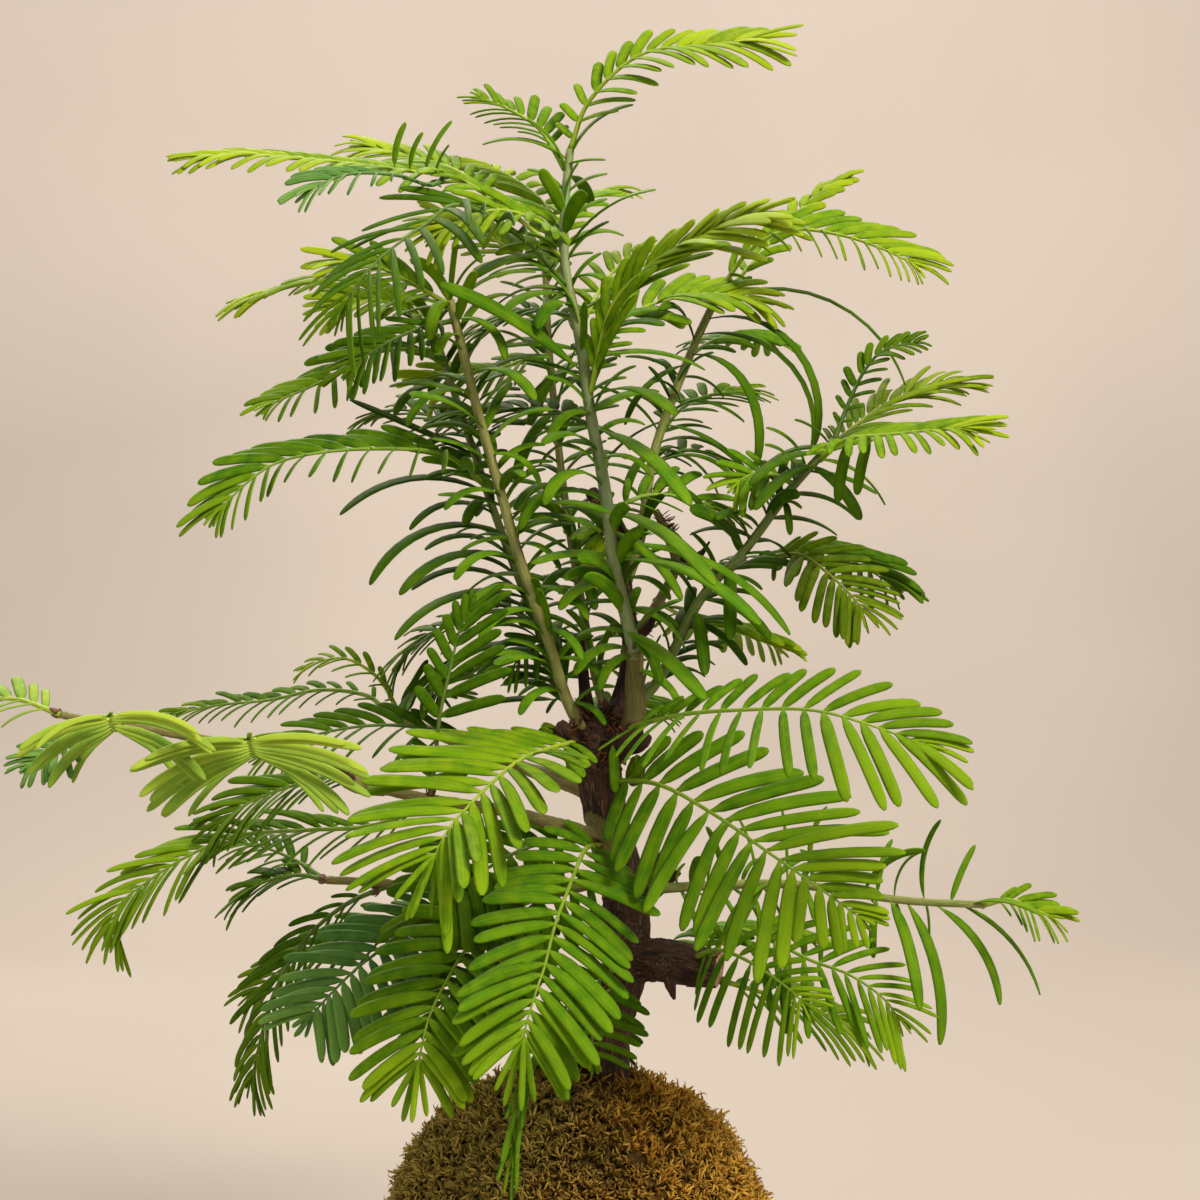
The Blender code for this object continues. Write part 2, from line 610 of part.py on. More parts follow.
def make_bowl():
    """The bowl: a foot, a bellied wall, a rim band and a floor with drain holes."""
    inner = BOWL_RADIUS - BOWL_WALL
    under_rim = BOWL_HEIGHT - RIM_BAND
    below_edge = BOWL_HEIGHT - BOWL_BEVEL
    profile = [
        (0, 0), (FOOT_RADIUS - BOWL_BEVEL, 0), (FOOT_RADIUS, BOWL_BEVEL), bowl_bend(HEEL),
        bowl_bend(BELLY), (BOWL_RADIUS - RIM_STEP, under_rim - BOWL_BEVEL), (BOWL_RADIUS, under_rim),
        (BOWL_RADIUS, below_edge), (BOWL_RADIUS - BOWL_BEVEL, BOWL_HEIGHT),
        (inner + BOWL_BEVEL, BOWL_HEIGHT), (inner, below_edge), bowl_bend(BELLY, BOWL_WALL),
        bowl_bend(INNER_HEEL, BOWL_WALL), (FOOT_RADIUS - 3 * BOWL_BEVEL, BOWL_FLOOR), (0, BOWL_FLOOR),
    ]
    bowl = turned("bowl", profile, BOWL_SEGMENTS, "stoneware")
    drains = []
    for i in range(DRAIN_COUNT):
        angle = math.tau * (i + 0.25) / DRAIN_COUNT
        centre = Vector((math.cos(angle), math.sin(angle), 0)) * DRAIN_CIRCLE
        ends = (-BOWL_FLOOR, 2 * BOWL_FLOOR)
        drains.append(peg(f"drain_{i}", centre, DRAIN_RADIUS, *ends, DRAIN_SIDES))
    combine(bowl, drains, "DIFFERENCE", "EXACT")
    smooth(bowl)


def dome(radius, rings):
    """Radius and height of a dome's rings, from its top down to the level of the soil."""
    lowest = math.acos((SOIL_LEVEL + GAP - MOUND_CENTRE) / radius)
    turns = [lowest * ring / rings for ring in range(rings + 1)]
    return [(radius * math.sin(a), MOUND_CENTRE + radius * math.cos(a)) for a in turns]


def moss_relief(point):
    """Raises the outer skin of the moss in soft tufts."""
    centre = Vector((0, 0, MOUND_CENTRE))
    away = point - centre
    if away.length < MOUND_RADIUS - GAP or point.z < SOIL_LEVEL + MOSS_HEM:
        return point
    x, y, z = away / MM
    (bend, bend_wave), (dip, dip_wave) = TUFT_BEND
    across = math.sin(TUFT_ACROSS * x + bend * math.sin(bend_wave * y))
    in_depth = math.sin(TUFT_IN_DEPTH * y + dip * math.sin(dip_wave * z))
    slant = math.sin(TUFT_SLANT.dot(away) / MM)
    return point + away.normalized() * MOSS_RELIEF * (across * in_depth + slant / 2)


def make_soil():
    """The ball of soil: it fills the bowl, is heaped up under the moss, and holds the trunk's foot."""
    wall = BOWL_WALL + GAP
    heel_radius, heel_height = bowl_bend(INNER_HEEL, wall)
    heap = [(radius - GAP if radius else 0, height_there - GAP)
            for radius, height_there in dome(MOUND_RADIUS - MOSS_THICKNESS, HEAP_RINGS)]
    profile = heap + [
        (BOWL_RADIUS * SHOULDER_AT_SOIL - wall, SOIL_LEVEL), bowl_bend(BELLY, wall),
        (heel_radius, heel_height + GAP), (FOOT_RADIUS - 3 * BOWL_BEVEL - GAP, BOWL_FLOOR + GAP),
        (0, BOWL_FLOOR + GAP),
    ]
    soil = turned("soil", profile, BOWL_SEGMENTS, "soil")
    foot = Vector((FOOT_X, 0, 0))
    hole = peg("hole", foot, HOLE_RADIUS, TRUNK_FOOT_BOTTOM - GAP, MOUND_TOP, HOLE_SIDES)
    combine(soil, [hole], "DIFFERENCE", "EXACT")
    smooth(soil)


def make_moss():
    """The coat of moss over the soil, with the trunk's hole and the stone's socket in it."""
    profile = dome(MOUND_RADIUS, MOSS_RINGS) + dome(MOUND_RADIUS - MOSS_THICKNESS, HEAP_RINGS)[::-1]
    moss = turned("moss", profile, MOUND_SEGMENTS, "moss", moss_relief)
    foot = Vector((FOOT_X, 0, 0))
    hole = peg("hole", foot, HOLE_RADIUS, SOIL_LEVEL, MOUND_TOP + MOSS_THICKNESS, HOLE_SIDES)
    socket = make_stone("socket", SOCKET_GROWTH)
    combine(moss, [hole, socket], "DIFFERENCE", "EXACT")
    smooth(moss)


def make_stone(name="stone", growth=0.0):
    """The pebble, or its socket when it is grown a little."""
    size = STONE_SIZE + Vector((growth, growth, growth))
    shape = bmesh.new()
    bmesh.ops.create_icosphere(shape, subdivisions=2, radius=1.0)
    for vertex in shape.verts:
        x, y, z = vertex.co
        lump = 1.0 + STONE_LUMP * math.sin(2.3 * x + 1.1) * math.cos(1.9 * y - 0.4)
        vertex.co = STONE_PLACE + Vector((x * size.x, y * size.y, z * size.z)) * lump
    mesh = bpy.data.meshes.new(name)
    shape.to_mesh(mesh)
    shape.free()
    mesh.materials.append(material_of("stone"))
    stone = bpy.data.objects.new(name, mesh)
    bpy.context.scene.collection.objects.link(stone)
    smooth(stone)
    return stone


def ring_places(route, spans, start):
    """Distances of a tube's rings: the route's own places, with others evenly between them."""
    places = []
    for a, b in zip(route.stops, route.stops[1:]):
        places += [a + (b - a) * step / spans for step in range(spans)]
    return [start] + [place for place in places if place > start + 0.5 * MM] + [route.length]


def tube(name, route, radii, sides, finish, roughen=0.0, spans=2, start=0.0):
    """A closed tube along a route. Radii are given at the route's own places."""
    distances = ring_places(route, spans, start)
    noise = random.Random(name)
    lumps = [noise.uniform(-1, 1) for _ in range(sides)]
    side = route.along(start).orthogonal().normalized()
    points = []
    for distance in distances:
        centre, ahead = route.at(distance), route.along(distance)
        side = (side - ahead * side.dot(ahead)).normalized()
        other = ahead.cross(side)
        radius = radius_at(route, radii, distance)
        buried = centre.z < SMOOTH_UP_TO
        for i in range(sides):
            angle = math.tau * i / sides
            change = noise.uniform(-ROUGHNESS_CHANGE, ROUGHNESS_CHANGE)
            rough = 0.0 if buried else roughen * (lumps[i] + change)
            way = side * math.cos(angle) + other * math.sin(angle)
            points.append(centre + way * radius * (1.0 + rough))
    rings = len(distances)
    faces = [tuple(range(sides)), tuple(range((rings - 1) * sides, rings * sides))]
    for ring in range(rings - 1):
        for i in range(sides):
            a, b = ring * sides + i, ring * sides + (i + 1) % sides
            faces.append((a, b, b + sides))
            faces.append((a, b + sides, a + sides))
    return object_of(name, points, faces, finish)


def radius_at(route, radii, distance):
    """The radius there, between those given at the route's own places."""
    for i, reached in enumerate(route.stops[1:]):
        if distance <= reached + 1e-9 or i == len(radii) - 2:
            share = (distance - route.stops[i]) / (reached - route.stops[i])
            return (radii[i] + (radii[i + 1] - radii[i]) * min(share, 1.0)) * MM


def make_trunk():
    """The wood, from the foot in the soil to the branch ends, grown together."""
    route = Route([place(reading) for reading in TRUNK])
    girth = [reading[3] for reading in TRUNK]
    trunk = tube("trunk", route, girth, 10, "bark", TRUNK_ROUGHNESS, 2)
    limbs = []
    for name, readings in BRANCHES.items():
        limb = Route([place(reading) for reading in readings])
        radii = [reading[3] for reading in readings]
        sides = 8 if radii[0] > THICK_LIMB else 6
        limbs.append(tube(name, limb, radii, sides, "bark", LIMB_ROUGHNESS, 1))
    combine(trunk, limbs, "UNION", "MANIFOLD")
    smooth(trunk, 60.0)
    return trunk


class Surfaces:
    """What a leaf has to stay clear of, as one search tree for each piece."""

    def __init__(self):
        self.trees = {}

    def add(self, name, points, faces):
        """Adds a shape to what stands under this name."""
        self.trees.setdefault(name, []).append(BVHTree.FromPolygons(points, faces))

    def add_object(self, name, made):
        """Takes this object as all that stands under this name."""
        points = [vertex.co for vertex in made.data.vertices]
        self.trees[name] = [BVHTree.FromPolygons(points, [p.vertices for p in made.data.polygons])]

    def clear(self, points, faces, leave_out=()):
        """Whether this shape crosses none of the pieces, apart from those left out."""
        probe = BVHTree.FromPolygons(points, faces)
        for name, trees in self.trees.items():
            if name not in leave_out and any(tree.overlap(probe) for tree in trees):
                return False
        return True


def seat(route, radius, carrier):
    """How far along its route a stem or rib starts, to stand just clear of what carries it."""
    tree = carrier[0]
    distance = 0.0
    while distance < 0.8 * route.length:
        ahead = route.along(distance)
        side = ahead.orthogonal().normalized()
        other = ahead.cross(side)
        centre = route.at(distance)
        ring = [centre + (side * math.cos(a) + other * math.sin(a)) * radius
                for a in (math.tau * i / 8 for i in range(8))]
        if all(outside(tree, point, GAP) for point in ring + [centre]):
            return distance
        distance += 0.05 * MM
    raise ValueError(f"a route never leaves its carrier near {route.points[0]}")


def outside(tree, point, gap):
    """Whether the point is outside the surface and at least the gap away from it."""
    nearest, normal, _, away = tree.find_nearest(point)
    return away >= gap and (point - nearest).dot(normal) > 0


def rooted_route(readings, carrier):
    """A route whose first place lies inside what carries it."""
    places = [place(reading) for reading in readings]
    tree = carrier[0]
    nearest, normal, _, away = tree.find_nearest(places[0])
    if (places[0] - nearest).dot(normal) > 0:
        places[0] = nearest - normal * 0.4 * MM
    return Route(places)


def strap_shape(root, tip, arch, width, thickness):
    """Points and faces of one long leaf, arched over its length, its tip a point."""
    ahead = (tip - root).normalized()
    lift = (Vector((0, 0, 1)) - ahead * ahead.z).normalized()
    length = (tip - root).length
    across = ahead.cross(STRAP_FACING).normalized()
    points = []
    for share, breadth in STRAP_OUTLINE:
        centre = root.lerp(tip, share) + lift * 4 * arch * length * share * (1 - share)
        slope = (ahead + lift * 4 * arch * (1 - 2 * share)).normalized()
        normal = across.cross(slope).normalized()
        for side, face in ((-1, -1), (1, -1), (1, 1), (-1, 1)):
            points.append(centre + across * side * breadth * width / 2 + normal * face * thickness / 2)
    points.append(tip.copy())
    faces = [(0, 1, 2), (0, 2, 3)]
    for base in (0, 4):
        for i in range(4):
            a, b = base + i, base + (i + 1) % 4
            faces.append((a, a + 4, b + 4))
            faces.append((a, b + 4, b))
    for i in range(4):
        faces.append((8 + i, 12, 8 + (i + 1) % 4))
    return points, faces


def filling_leaves(name, stem, route, start):
    """Roots, tips and arches of the leaves that stand round a stem between the longest ones."""
    noise = random.Random(name)
    taken = [place(root) for root, _, _ in stem.straps]
    leaves = []
    distance = start + 0.6 * FILL_PITCH
    while distance < route.length - FILL_CLEARANCE:
        root, ahead = route.at(distance), route.along(distance)
        side = ahead.orthogonal().normalized()
        turn = Matrix.Rotation(math.radians(FILL_TURN * len(leaves) + noise.uniform(-20, 20)), 3, ahead)
        out = (turn @ side + ahead * FILL_LEAN).normalized() * noise.uniform(*FILL_LENGTH) * MM
        distance += FILL_PITCH
        if min((root - other).length for other in taken) > FILL_CLEARANCE:
            leaves.append((root, root + out, noise.uniform(*FILL_ARCH)))
    return leaves


def add_straps(name, stem, made, route, start, surfaces):
    """Fuses a stem's long leaves to it, each turned aside or shortened where it would cross."""
    leaves, own = [], Surfaces()
    wanted = [(place(root), place(tip), arch) for root, tip, arch in stem.straps]
    for number, (root, tip, arch) in enumerate(wanted + filling_leaves(name, stem, route, start)):
        for length, turn, pitch in STRAP_TRIES:
            reach = Matrix.Rotation(math.radians(turn), 3, "Z") @ (tip - root) * length
            reach.z += math.sin(math.radians(pitch)) * reach.length
            probe = strap_shape(root.lerp(root + reach, 0.12), root + reach * 1.02, arch,
                                STRAP_WIDTH + 2 * GAP, LEAF_THICKNESS + 2 * GAP)
            if surfaces.clear(*probe, leave_out=(name,)):
                leaf = strap_shape(root, root + reach, arch, STRAP_WIDTH, STRAP_THICKNESS)
                if own.clear(*probe):
                    leaves.append(object_of(f"{name}_leaf_{number}", *leaf, "green_stem"))
                    own.add("leaves", *leaf)
                    break
    combine(made, leaves, "UNION", "MANIFOLD")
    surfaces.add_object(name, made)


class FrondShape:
    """The rib of a frond and the leaflets along it."""

    def __init__(self, name, frond, carrier):
        self.name = name
        self.frond = frond
        self.route = rooted_route(frond.readings, carrier)
        self.start = seat(self.route, RIB_RADIUS * 1.2, carrier)
        self.face = Vector(frond.face).normalized()
        self.pairs = max(4, round(frond.pairs * PAIR_SHARE))

    def frame(self, distance):
        """Centre, direction, right side and upper side of the rib there."""
        ahead = self.route.along(distance)
        upper = (self.face - ahead * self.face.dot(ahead)).normalized()
        return self.route.at(distance), ahead, ahead.cross(upper), upper

    def section(self, distance):
        """The rib's three corners there: ridge, right heel and left heel."""
        centre, _, right, upper = self.frame(distance)
        share = distance / self.route.length
        radius = RIB_RADIUS * (RIB_TAPER[0] - RIB_TAPER[1] * share)
        low = centre - upper * radius * RIB_DEPTH
        return [centre + upper * radius, low + right * radius, low - right * radius]

    def stations(self):
        """Where each pair of leaflets starts and ends along the rib."""
        first = self.start + BARE_RIB
        pitch = (self.route.length - RIB_POINT - first) / self.pairs
        root = min(LEAF_ROOT, 0.55 * pitch)
        return [(first + i * pitch, first + i * pitch + root) for i in range(self.pairs)]

    def rib(self):
        """Points and faces of the bare rib, for its neighbours to stay clear of."""
        distances = [self.start] + [d for pair in self.stations() for d in pair]
        points = [corner for distance in distances for corner in self.section(distance)]
        points.append(self.route.at(self.route.length))
        faces = [(0, 1, 2)]
        for i in range(len(distances) - 1):
            for a, b in ((0, 1), (1, 2), (2, 0)):
                faces.append((3 * i + a, 3 * i + b, 3 * i + 3 + b))
                faces.append((3 * i + a, 3 * i + 3 + b, 3 * i + 3 + a))
        last = 3 * len(distances) - 3
        faces += [(last + a, last + b, last + 3) for a, b in ((0, 1), (1, 2), (2, 0))]
        return points, faces

    def leaf_length(self, share):
        """Short leaflets near the stem, the longest before the middle, short ones at the tip."""
        rise = min(1.0, SHORTEST_AT_ROOT + LENGTHENING * share)
        fall = 1.0 - SHORTENING * max(0.0, (share - LONGEST_AT) / (1.0 - LONGEST_AT)) ** 1.6
        return self.frond.leaf_length * MM * rise * fall

    def leaf(self, pair, sign, length, width, thickness, droop, splay, root_share=0.0):
        """Shoulder and tip points of a leaflet: two above, two below, and the tip."""
        middle = (pair[0] + pair[1]) / 2
        centre, ahead, right, upper = self.frame(middle)
        out = ahead * math.cos(splay) + right * sign * math.sin(splay)
        across = ahead * math.sin(splay) - right * sign * math.cos(splay)
        inner = out * math.cos(LEAF_RISE) + upper * math.sin(LEAF_RISE)
        outer = out * math.cos(LEAF_RISE - droop) + upper * math.sin(LEAF_RISE - droop)
        shoulder = centre + inner * length * SHOULDER
        tip = shoulder + outer * length * (1 - SHOULDER)
        slope = LEAF_RISE - droop / 2
        normal = upper * math.cos(slope) - out * math.sin(slope)
        half = across * width / 2
        lift = normal * thickness / 2
        points = [shoulder - half + lift, shoulder + half + lift, shoulder - half - lift,
                  shoulder + half - lift, tip]
        if root_share:
            root = centre.lerp(shoulder, root_share)
            narrow = across * width / 3
            points += [root - narrow + lift, root + narrow + lift, root - narrow - lift,
                       root + narrow - lift]
        return points

    PROBE_FACES = [
        (0, 1, 4), (2, 4, 3), (0, 4, 2), (1, 3, 4), (5, 6, 1), (5, 1, 0), (7, 3, 8), (7, 2, 3),
        (5, 0, 2), (5, 2, 7), (6, 3, 1), (6, 8, 3), (5, 8, 6), (5, 7, 8),
    ]

    def choose_leaves(self, surfaces):
        """Picks a clear way to grow for every leaflet, and leaves out one that has none."""
        noise = random.Random(self.name)
        own = Surfaces()
        own.add("rib", *self.rib())
        chosen = {}
        for number, pair in enumerate(self.stations()):
            share = (number + 0.5) / self.pairs
            spacing = (self.route.length - self.start) / self.pairs
            for sign in (-1, 1):
                length = self.leaf_length(share) * noise.uniform(*LENGTH_CHANGE)
                droop = math.radians(LEAF_DROOP + noise.uniform(*DROOP_CHANGE))
                splay = SPLAY_AT_ROOT - SPLAY_LOST_AT_TIP * share + noise.uniform(*SPLAY_CHANGE)
                width = min(LEAF_WIDTH, NARROWEST * length, spacing * 0.9)
                for shorter, more_droop, more_splay in LEAFLET_TRIES:
                    shape = (length * shorter, width, LEAF_THICKNESS,
                             droop + math.radians(more_droop), math.radians(splay + more_splay))
                    far = (shape[0] + GAP, width + 2 * GAP, LEAF_THICKNESS + 2 * GAP, *shape[3:])
                    probe = self.leaf(pair, sign, *far, root_share=0.08)
                    near = self.leaf(pair, sign, *shape, root_share=0.30)
                    if (surfaces.clear(probe, self.PROBE_FACES, (self.name,))
                            and own.clear(near, self.PROBE_FACES)):
                        chosen[number, sign] = shape
                        own.add("leaves", near, self.PROBE_FACES)
                        break
        return chosen

    def build(self, surfaces):
        """Makes the frond: a slim rib, and leaflets cut to the rib in one thin blade."""
        chosen = self.choose_leaves(surfaces)
        points, faces = self.rib()
        pairs = self.stations()
        for (number, sign), shape in chosen.items():
            heel = 3 * (1 + 2 * number)
            toe = heel + 3
            low = 1 if sign > 0 else 2
            a, b = (0, 1) if sign > 0 else (2, 0)
            faces.remove((heel + a, heel + b, heel + 3 + b))
            faces.remove((heel + a, heel + 3 + b, heel + 3 + a))
            first = len(points)
            points += self.leaf(pairs[number], sign, *shape)
            near_up, far_up, near_low, far_low, tip = range(first, first + 5)
            faces += [
                (heel, near_up, far_up), (heel, far_up, toe), (near_up, tip, far_up),
                (heel + low, far_low, near_low), (heel + low, toe + low, far_low),
                (near_low, far_low, tip),
                (heel, heel + low, near_low), (heel, near_low, near_up), (near_up, near_low, tip),
                (toe, far_up, far_low), (toe, far_low, toe + low), (far_up, tip, far_low),
            ]
        made = object_of(self.name, points, faces, self.frond.tone)
        surfaces.add_object(self.name, made)
        return made


def main():
    """Builds the bowl, the soil, the moss, the stone, the wood, the stems and the fronds."""
    for leftover in list(bpy.data.objects):
        bpy.data.objects.remove(leftover)
    make_bowl()
    make_soil()
    make_moss()
    make_stone()

    surfaces = Surfaces()
    for name in ("moss", "stone", "bowl"):
        surfaces.add_object(name, bpy.data.objects[name])
    surfaces.add_object("trunk", make_trunk())

    stems, seats = {}, {}
    for name, stem in STEMS.items():
        route = rooted_route(stem.readings, surfaces.trees["trunk"])
        start = seat(route, stem.root_radius * MM, surfaces.trees["trunk"])
        seats[name] = (route, start)
        steps = len(stem.readings) - 1
        radii = [stem.root_radius + (stem.tip_radius - stem.root_radius) * i / steps
                 for i in range(steps + 1)]
        stems[name] = tube(name, route, radii, 6, "green_stem", 0.0, 1, start)
        surfaces.add_object(name, stems[name])

    shapes = []
    for name, frond in FRONDS.items():
        shape = FrondShape(name, frond, surfaces.trees[frond.carrier])
        surfaces.add(name, *shape.rib())
        shapes.append(shape)
    for name, stem in STEMS.items():
        add_straps(name, stem, stems[name], *seats[name], surfaces)
    for shape in shapes:
        shape.build(surfaces)


main()
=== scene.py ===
"""Looks of a dawn redwood bonsai in a round stoneware bowl. Metres, +Z up.

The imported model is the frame. Each frond, each leafy stem, the wood, the moss, the stone and the
bowl get a finer piece in the place of their solid. Geometry Nodes grow the leaves, the moss and
the grains of soil, each from a skeleton that follows the same readings as the solids.
"""

import logging
import math
import random
from collections.abc import Callable
from dataclasses import dataclass, field
from enum import Enum

import bmesh
import bpy
from mathutils import Matrix, Vector, noise
from mathutils.bvhtree import BVHTree
from mathutils.kdtree import KDTree


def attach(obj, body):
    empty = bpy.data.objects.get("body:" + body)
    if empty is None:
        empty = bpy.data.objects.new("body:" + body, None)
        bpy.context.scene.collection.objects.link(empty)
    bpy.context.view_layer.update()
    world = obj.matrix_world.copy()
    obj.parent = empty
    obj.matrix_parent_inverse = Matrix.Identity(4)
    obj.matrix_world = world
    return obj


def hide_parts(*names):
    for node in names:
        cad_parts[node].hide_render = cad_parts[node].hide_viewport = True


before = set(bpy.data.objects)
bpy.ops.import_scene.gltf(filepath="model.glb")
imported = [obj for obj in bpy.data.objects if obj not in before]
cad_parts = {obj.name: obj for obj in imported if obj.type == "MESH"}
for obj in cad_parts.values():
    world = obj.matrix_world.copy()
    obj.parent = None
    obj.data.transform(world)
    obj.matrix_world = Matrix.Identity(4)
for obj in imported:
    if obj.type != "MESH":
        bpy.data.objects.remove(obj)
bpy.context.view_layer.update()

logging.basicConfig(level=logging.INFO, format="%(message)s")
log = logging.getLogger("bonsai")

MM = 0.001
BODY = "root"

# Eye that the readings below are seen from, in millimetres
EYE_X = 5.0
EYE_DISTANCE = 450.0
EYE_Z = 168.0
# Depth of a shoot's foot in what carries it, in millimetres too
FOOT_DEPTH = 0.4

# Mound, foot of the trunk, and stone
SOIL_LEVEL = 36.0 * MM
MOUND_CENTRE = Vector((0, 0, 35.0)) * MM
MOUND_RADIUS = 39.6 * MM
FOOT_X = 6.0 * MM
FOOT_RADIUS = 4.9 * MM
STONE_PLACE = Vector((-1.9, -5.6, 75.2)) * MM
STONE_SIZE = Vector((2.5, 2.2, 3.4)) * MM


class Tone(Enum):
    """Age and light of a frond's leaves."""

    FRESH = "fresh"
    MID = "mid"
    DARK = "dark"
    BLUE = "blue"
    OLIVE = "olive"


class StemColour(Enum):
    """Colour of a green stem."""

    TAN = "tan"
    BLUISH = "bluish"
    OLIVE = "olive"


@dataclass(frozen=True)
class Stem:
    """A green stem: the readings of its route, its radii in millimetres, and its long leaves."""

    readings: tuple
    root_radius: float
    tip_radius: float
    straps: tuple


@dataclass(frozen=True)
class Frond:
    """A frond: what carries it, its rib's readings, the way its upper side faces, its leaves.

    Its looks are the fields of FrondShape that it has of its own.
    """

    carrier: str
    readings: tuple
    face: tuple
    leaf_length: float
    pairs: int
    tone: Tone
    looks: dict = field(default_factory=dict)


# Each reading is across, depth and up in millimetres. Across and up are read in the plane of the
# trunk, as seen from the eye, and depth is behind that plane. Woody shoots add their radius there.
TRUNK = [
    (6, 0, 50, 4.9), (6, 0, 77, 4.9), (7, 0, 83, 4.2), (10, 1, 95, 4.5), (10, 2, 108, 4.6),
    (7, 1, 121, 4.3), (5, 0, 132, 4.4), (4, 0, 140, 5.4), (9, 3, 147, 2.2), (11, 4, 158, 1.6),
    (10, 5, 170, 1.6), (8, 6, 182, 1.8), (3, 8, 190, 1.4),
]
BRANCHES = {
    "thick_branch": [(11, 1, 96, 3.8), (17, -2, 96, 4.3), (23, -4, 95, 4.2), (29, -6, 94, 3.4)],
    "sawn_stub": [(9, 2, 110, 3.2), (14, 7, 111, 3.6), (19, 7, 116, 3.5)],
    "leader_foot": [(5, -1, 136, 3.2), (10, -4, 140, 2.8), (12, -5, 145, 2.1), (12, -6, 151, 1.8),
        (12, -8, 158, 1.7)],
    "dead_twig": [(3, 2, 142, 1.7), (2, 3, 150, 1.2), (1, 5, 161, 0.9)],
    "wood_fork": [(10, 4, 157, 1.3), (15, 9, 165, 1.0), (20, 12, 174, 1.0), (19, 13, 180, 1.1),
        (16, 14, 186, 0.8)],
    "long_left_branch": [(6, 0, 120, 2.2), (-3, -8, 123, 1.8), (-15, -14, 126, 1.6),
        (-29, -20, 128, 1.5), (-45, -28, 132, 1.3), (-64, -36, 138, 1.2), (-85, -44, 142, 1.1),
        (-103, -50, 145, 1.0)],
    "low_left_twig": [(7, 2, 113, 2.0), (-3, 0, 110, 1.6), (-19, -2, 108, 1.3), (-35, 0, 111, 1.1),
        (-50, 4, 112, 1.0)],
    "back_left_branch": [(6, 2, 128, 2.2), (-3, 12, 132, 1.8), (-15, 22, 136, 1.5), (-27, 30, 141, 1.3),
        (-38, 36, 146, 1.0)],
}

# A strap leaf is a root reading, a tip reading and its arch as a share of its length.
STEMS = {
    "stem_leader": Stem(((12, -8, 156), (11, -8, 162), (8, -10, 174), (6, -10, 190), (3, -8, 206),
        (1, -6, 220), (-2, -4, 235), (-2, -2, 247), (-1, 0, 258)), 1.6, 1.0,
        (((1, -7, 214), (-27, -34, 231), 0.05), ((3, -8, 208), (20, -28, 205), 0.15),
        ((5, -9, 202), (23, -32, 187), 0.08), ((7, -10, 186), (28, -34, 171), 0.08),
        ((9, -10, 176), (37, -36, 163), 0.1), ((10, -8, 162), (26, -30, 148), 0.05),
        ((-1, -3, 239), (16, -14, 250), 0.12), ((-2, -2, 245), (-7, -12, 254), 0.05),
        ((-3, -4, 236), (-21, -14, 232), 0.12), ((-2, 0, 255), (6, -6, 256), 0.05))),
    "stem_left_front": Stem(((0, -4, 144), (-2, -6, 149), (-6, -8, 162), (-11, -8, 176), (-15, -8, 190),
        (-19, -10, 204), (-22, -12, 216), (-25, -14, 228)), 1.35, 1.0,
        (((-13, -8, 185), (7, -22, 180), 0.1), ((-5, -7, 155), (-16, -22, 155), 0.1),
        ((-21, -12, 213), (-8, -24, 208), 0.2), ((-18, -10, 202), (-33, -26, 209), 0.1))),
    "stem_left_back": Stem(((0, 3, 145), (-3, 4, 150), (-8, 6, 164), (-13, 7, 177), (-17, 8, 188),
        (-21, 10, 200), (-25, 12, 212), (-29, 14, 224)), 1.1, 0.8,
        (((-14, 7, 181), (-41, -4, 171), 0.25), ((-11, 7, 175), (-35, -10, 169), 0.2),
        ((-9, 6, 168), (-36, -2, 160), 0.2), ((-17, 8, 189), (-47, 0, 185), 0.2),
        ((-20, 9, 197), (-45, -8, 208), 0.0), ((-5, 5, 156), (-20, -6, 147), 0.2))),
    "stem_right": Stem(((9, 4, 146), (16, 3, 151), (25, -2, 168), (34, -4, 178), (43, -8, 190),
        (52, -10, 200)), 1.25, 0.95, (((47, -9, 195), (57, -20, 184), 0.1),
        ((49, -9, 196), (62, -2, 187), 0.15), ((34, -4, 178), (23, -20, 186), 0.1),
        ((25, -2, 168), (39, -12, 160), 0.15))),
    "stem_upper_right": Stem(((8, 5, 168), (13, 6, 180), (16, 7, 198), (23, 8, 217), (29, 8, 230)),
        1.25, 0.95, (((26, 8, 224), (48, -4, 199), 0.42), ((25, 8, 221), (47, 6, 197), 0.42),
        ((23, 8, 217), (36, -4, 194), 0.38), ((27, 8, 227), (66, 12, 211), 0.3),
        ((19, 7, 204), (5, 20, 194), 0.1), ((16, 7, 198), (29, 14, 188), 0.2))),
    "stem_back": Stem(((6, 6, 145), (3, 12, 158), (-2, 20, 188), (-5, 24, 216), (-6, 26, 236)), 1.1,
        0.8, (((-2, 20, 188), (-15, 36, 184), 0.2), ((-3, 22, 200), (11, 40, 198), 0.2),
        ((-5, 24, 216), (-15, 40, 218), 0.2))),
    "stem_right_twig": Stem(((13, 5, 110), (29, 2, 111), (45, -4, 111), (65, -10, 108), (82, -14, 107)),
        1.2, 0.8, (((66, -10, 108), (73, -18, 79), 0.15), ((63, -10, 108), (69, -28, 86), 0.12),
        ((72, -12, 107), (85, -18, 87), 0.15), ((77, -13, 107), (93, -8, 89), 0.12),
        ((75, -12, 107), (80, -6, 119), 0.05), ((55, -7, 109), (45, -2, 118), 0.1))),
}

# Lengths along a rib, and looks that several fronds share
FLAT_PROFILE = ((0.0, 0.7), (0.3, 1.0), (0.8, 1.0), (1.0, 0.75))
BUSHY_TIP = ((0.0, 0.5), (0.3, 0.8), (0.6, 0.8), (0.8, 1.05), (1.0, 0.85))
LONG_LEFT = dict(turning=(1.0, 1.0), splay=(84.0, 14.0), droop=(18.0, 0.0), pale=True, pair_share=1.05,
    tuft_size=0.3, stoop=34.0, profile=FLAT_PROFILE)
DENSE_INNER = dict(youth=0.3, pair_share=1.4, lower_row=(8.0, 0.35, 10.0), profile=FLAT_PROFILE,
    narrowness=0.2)

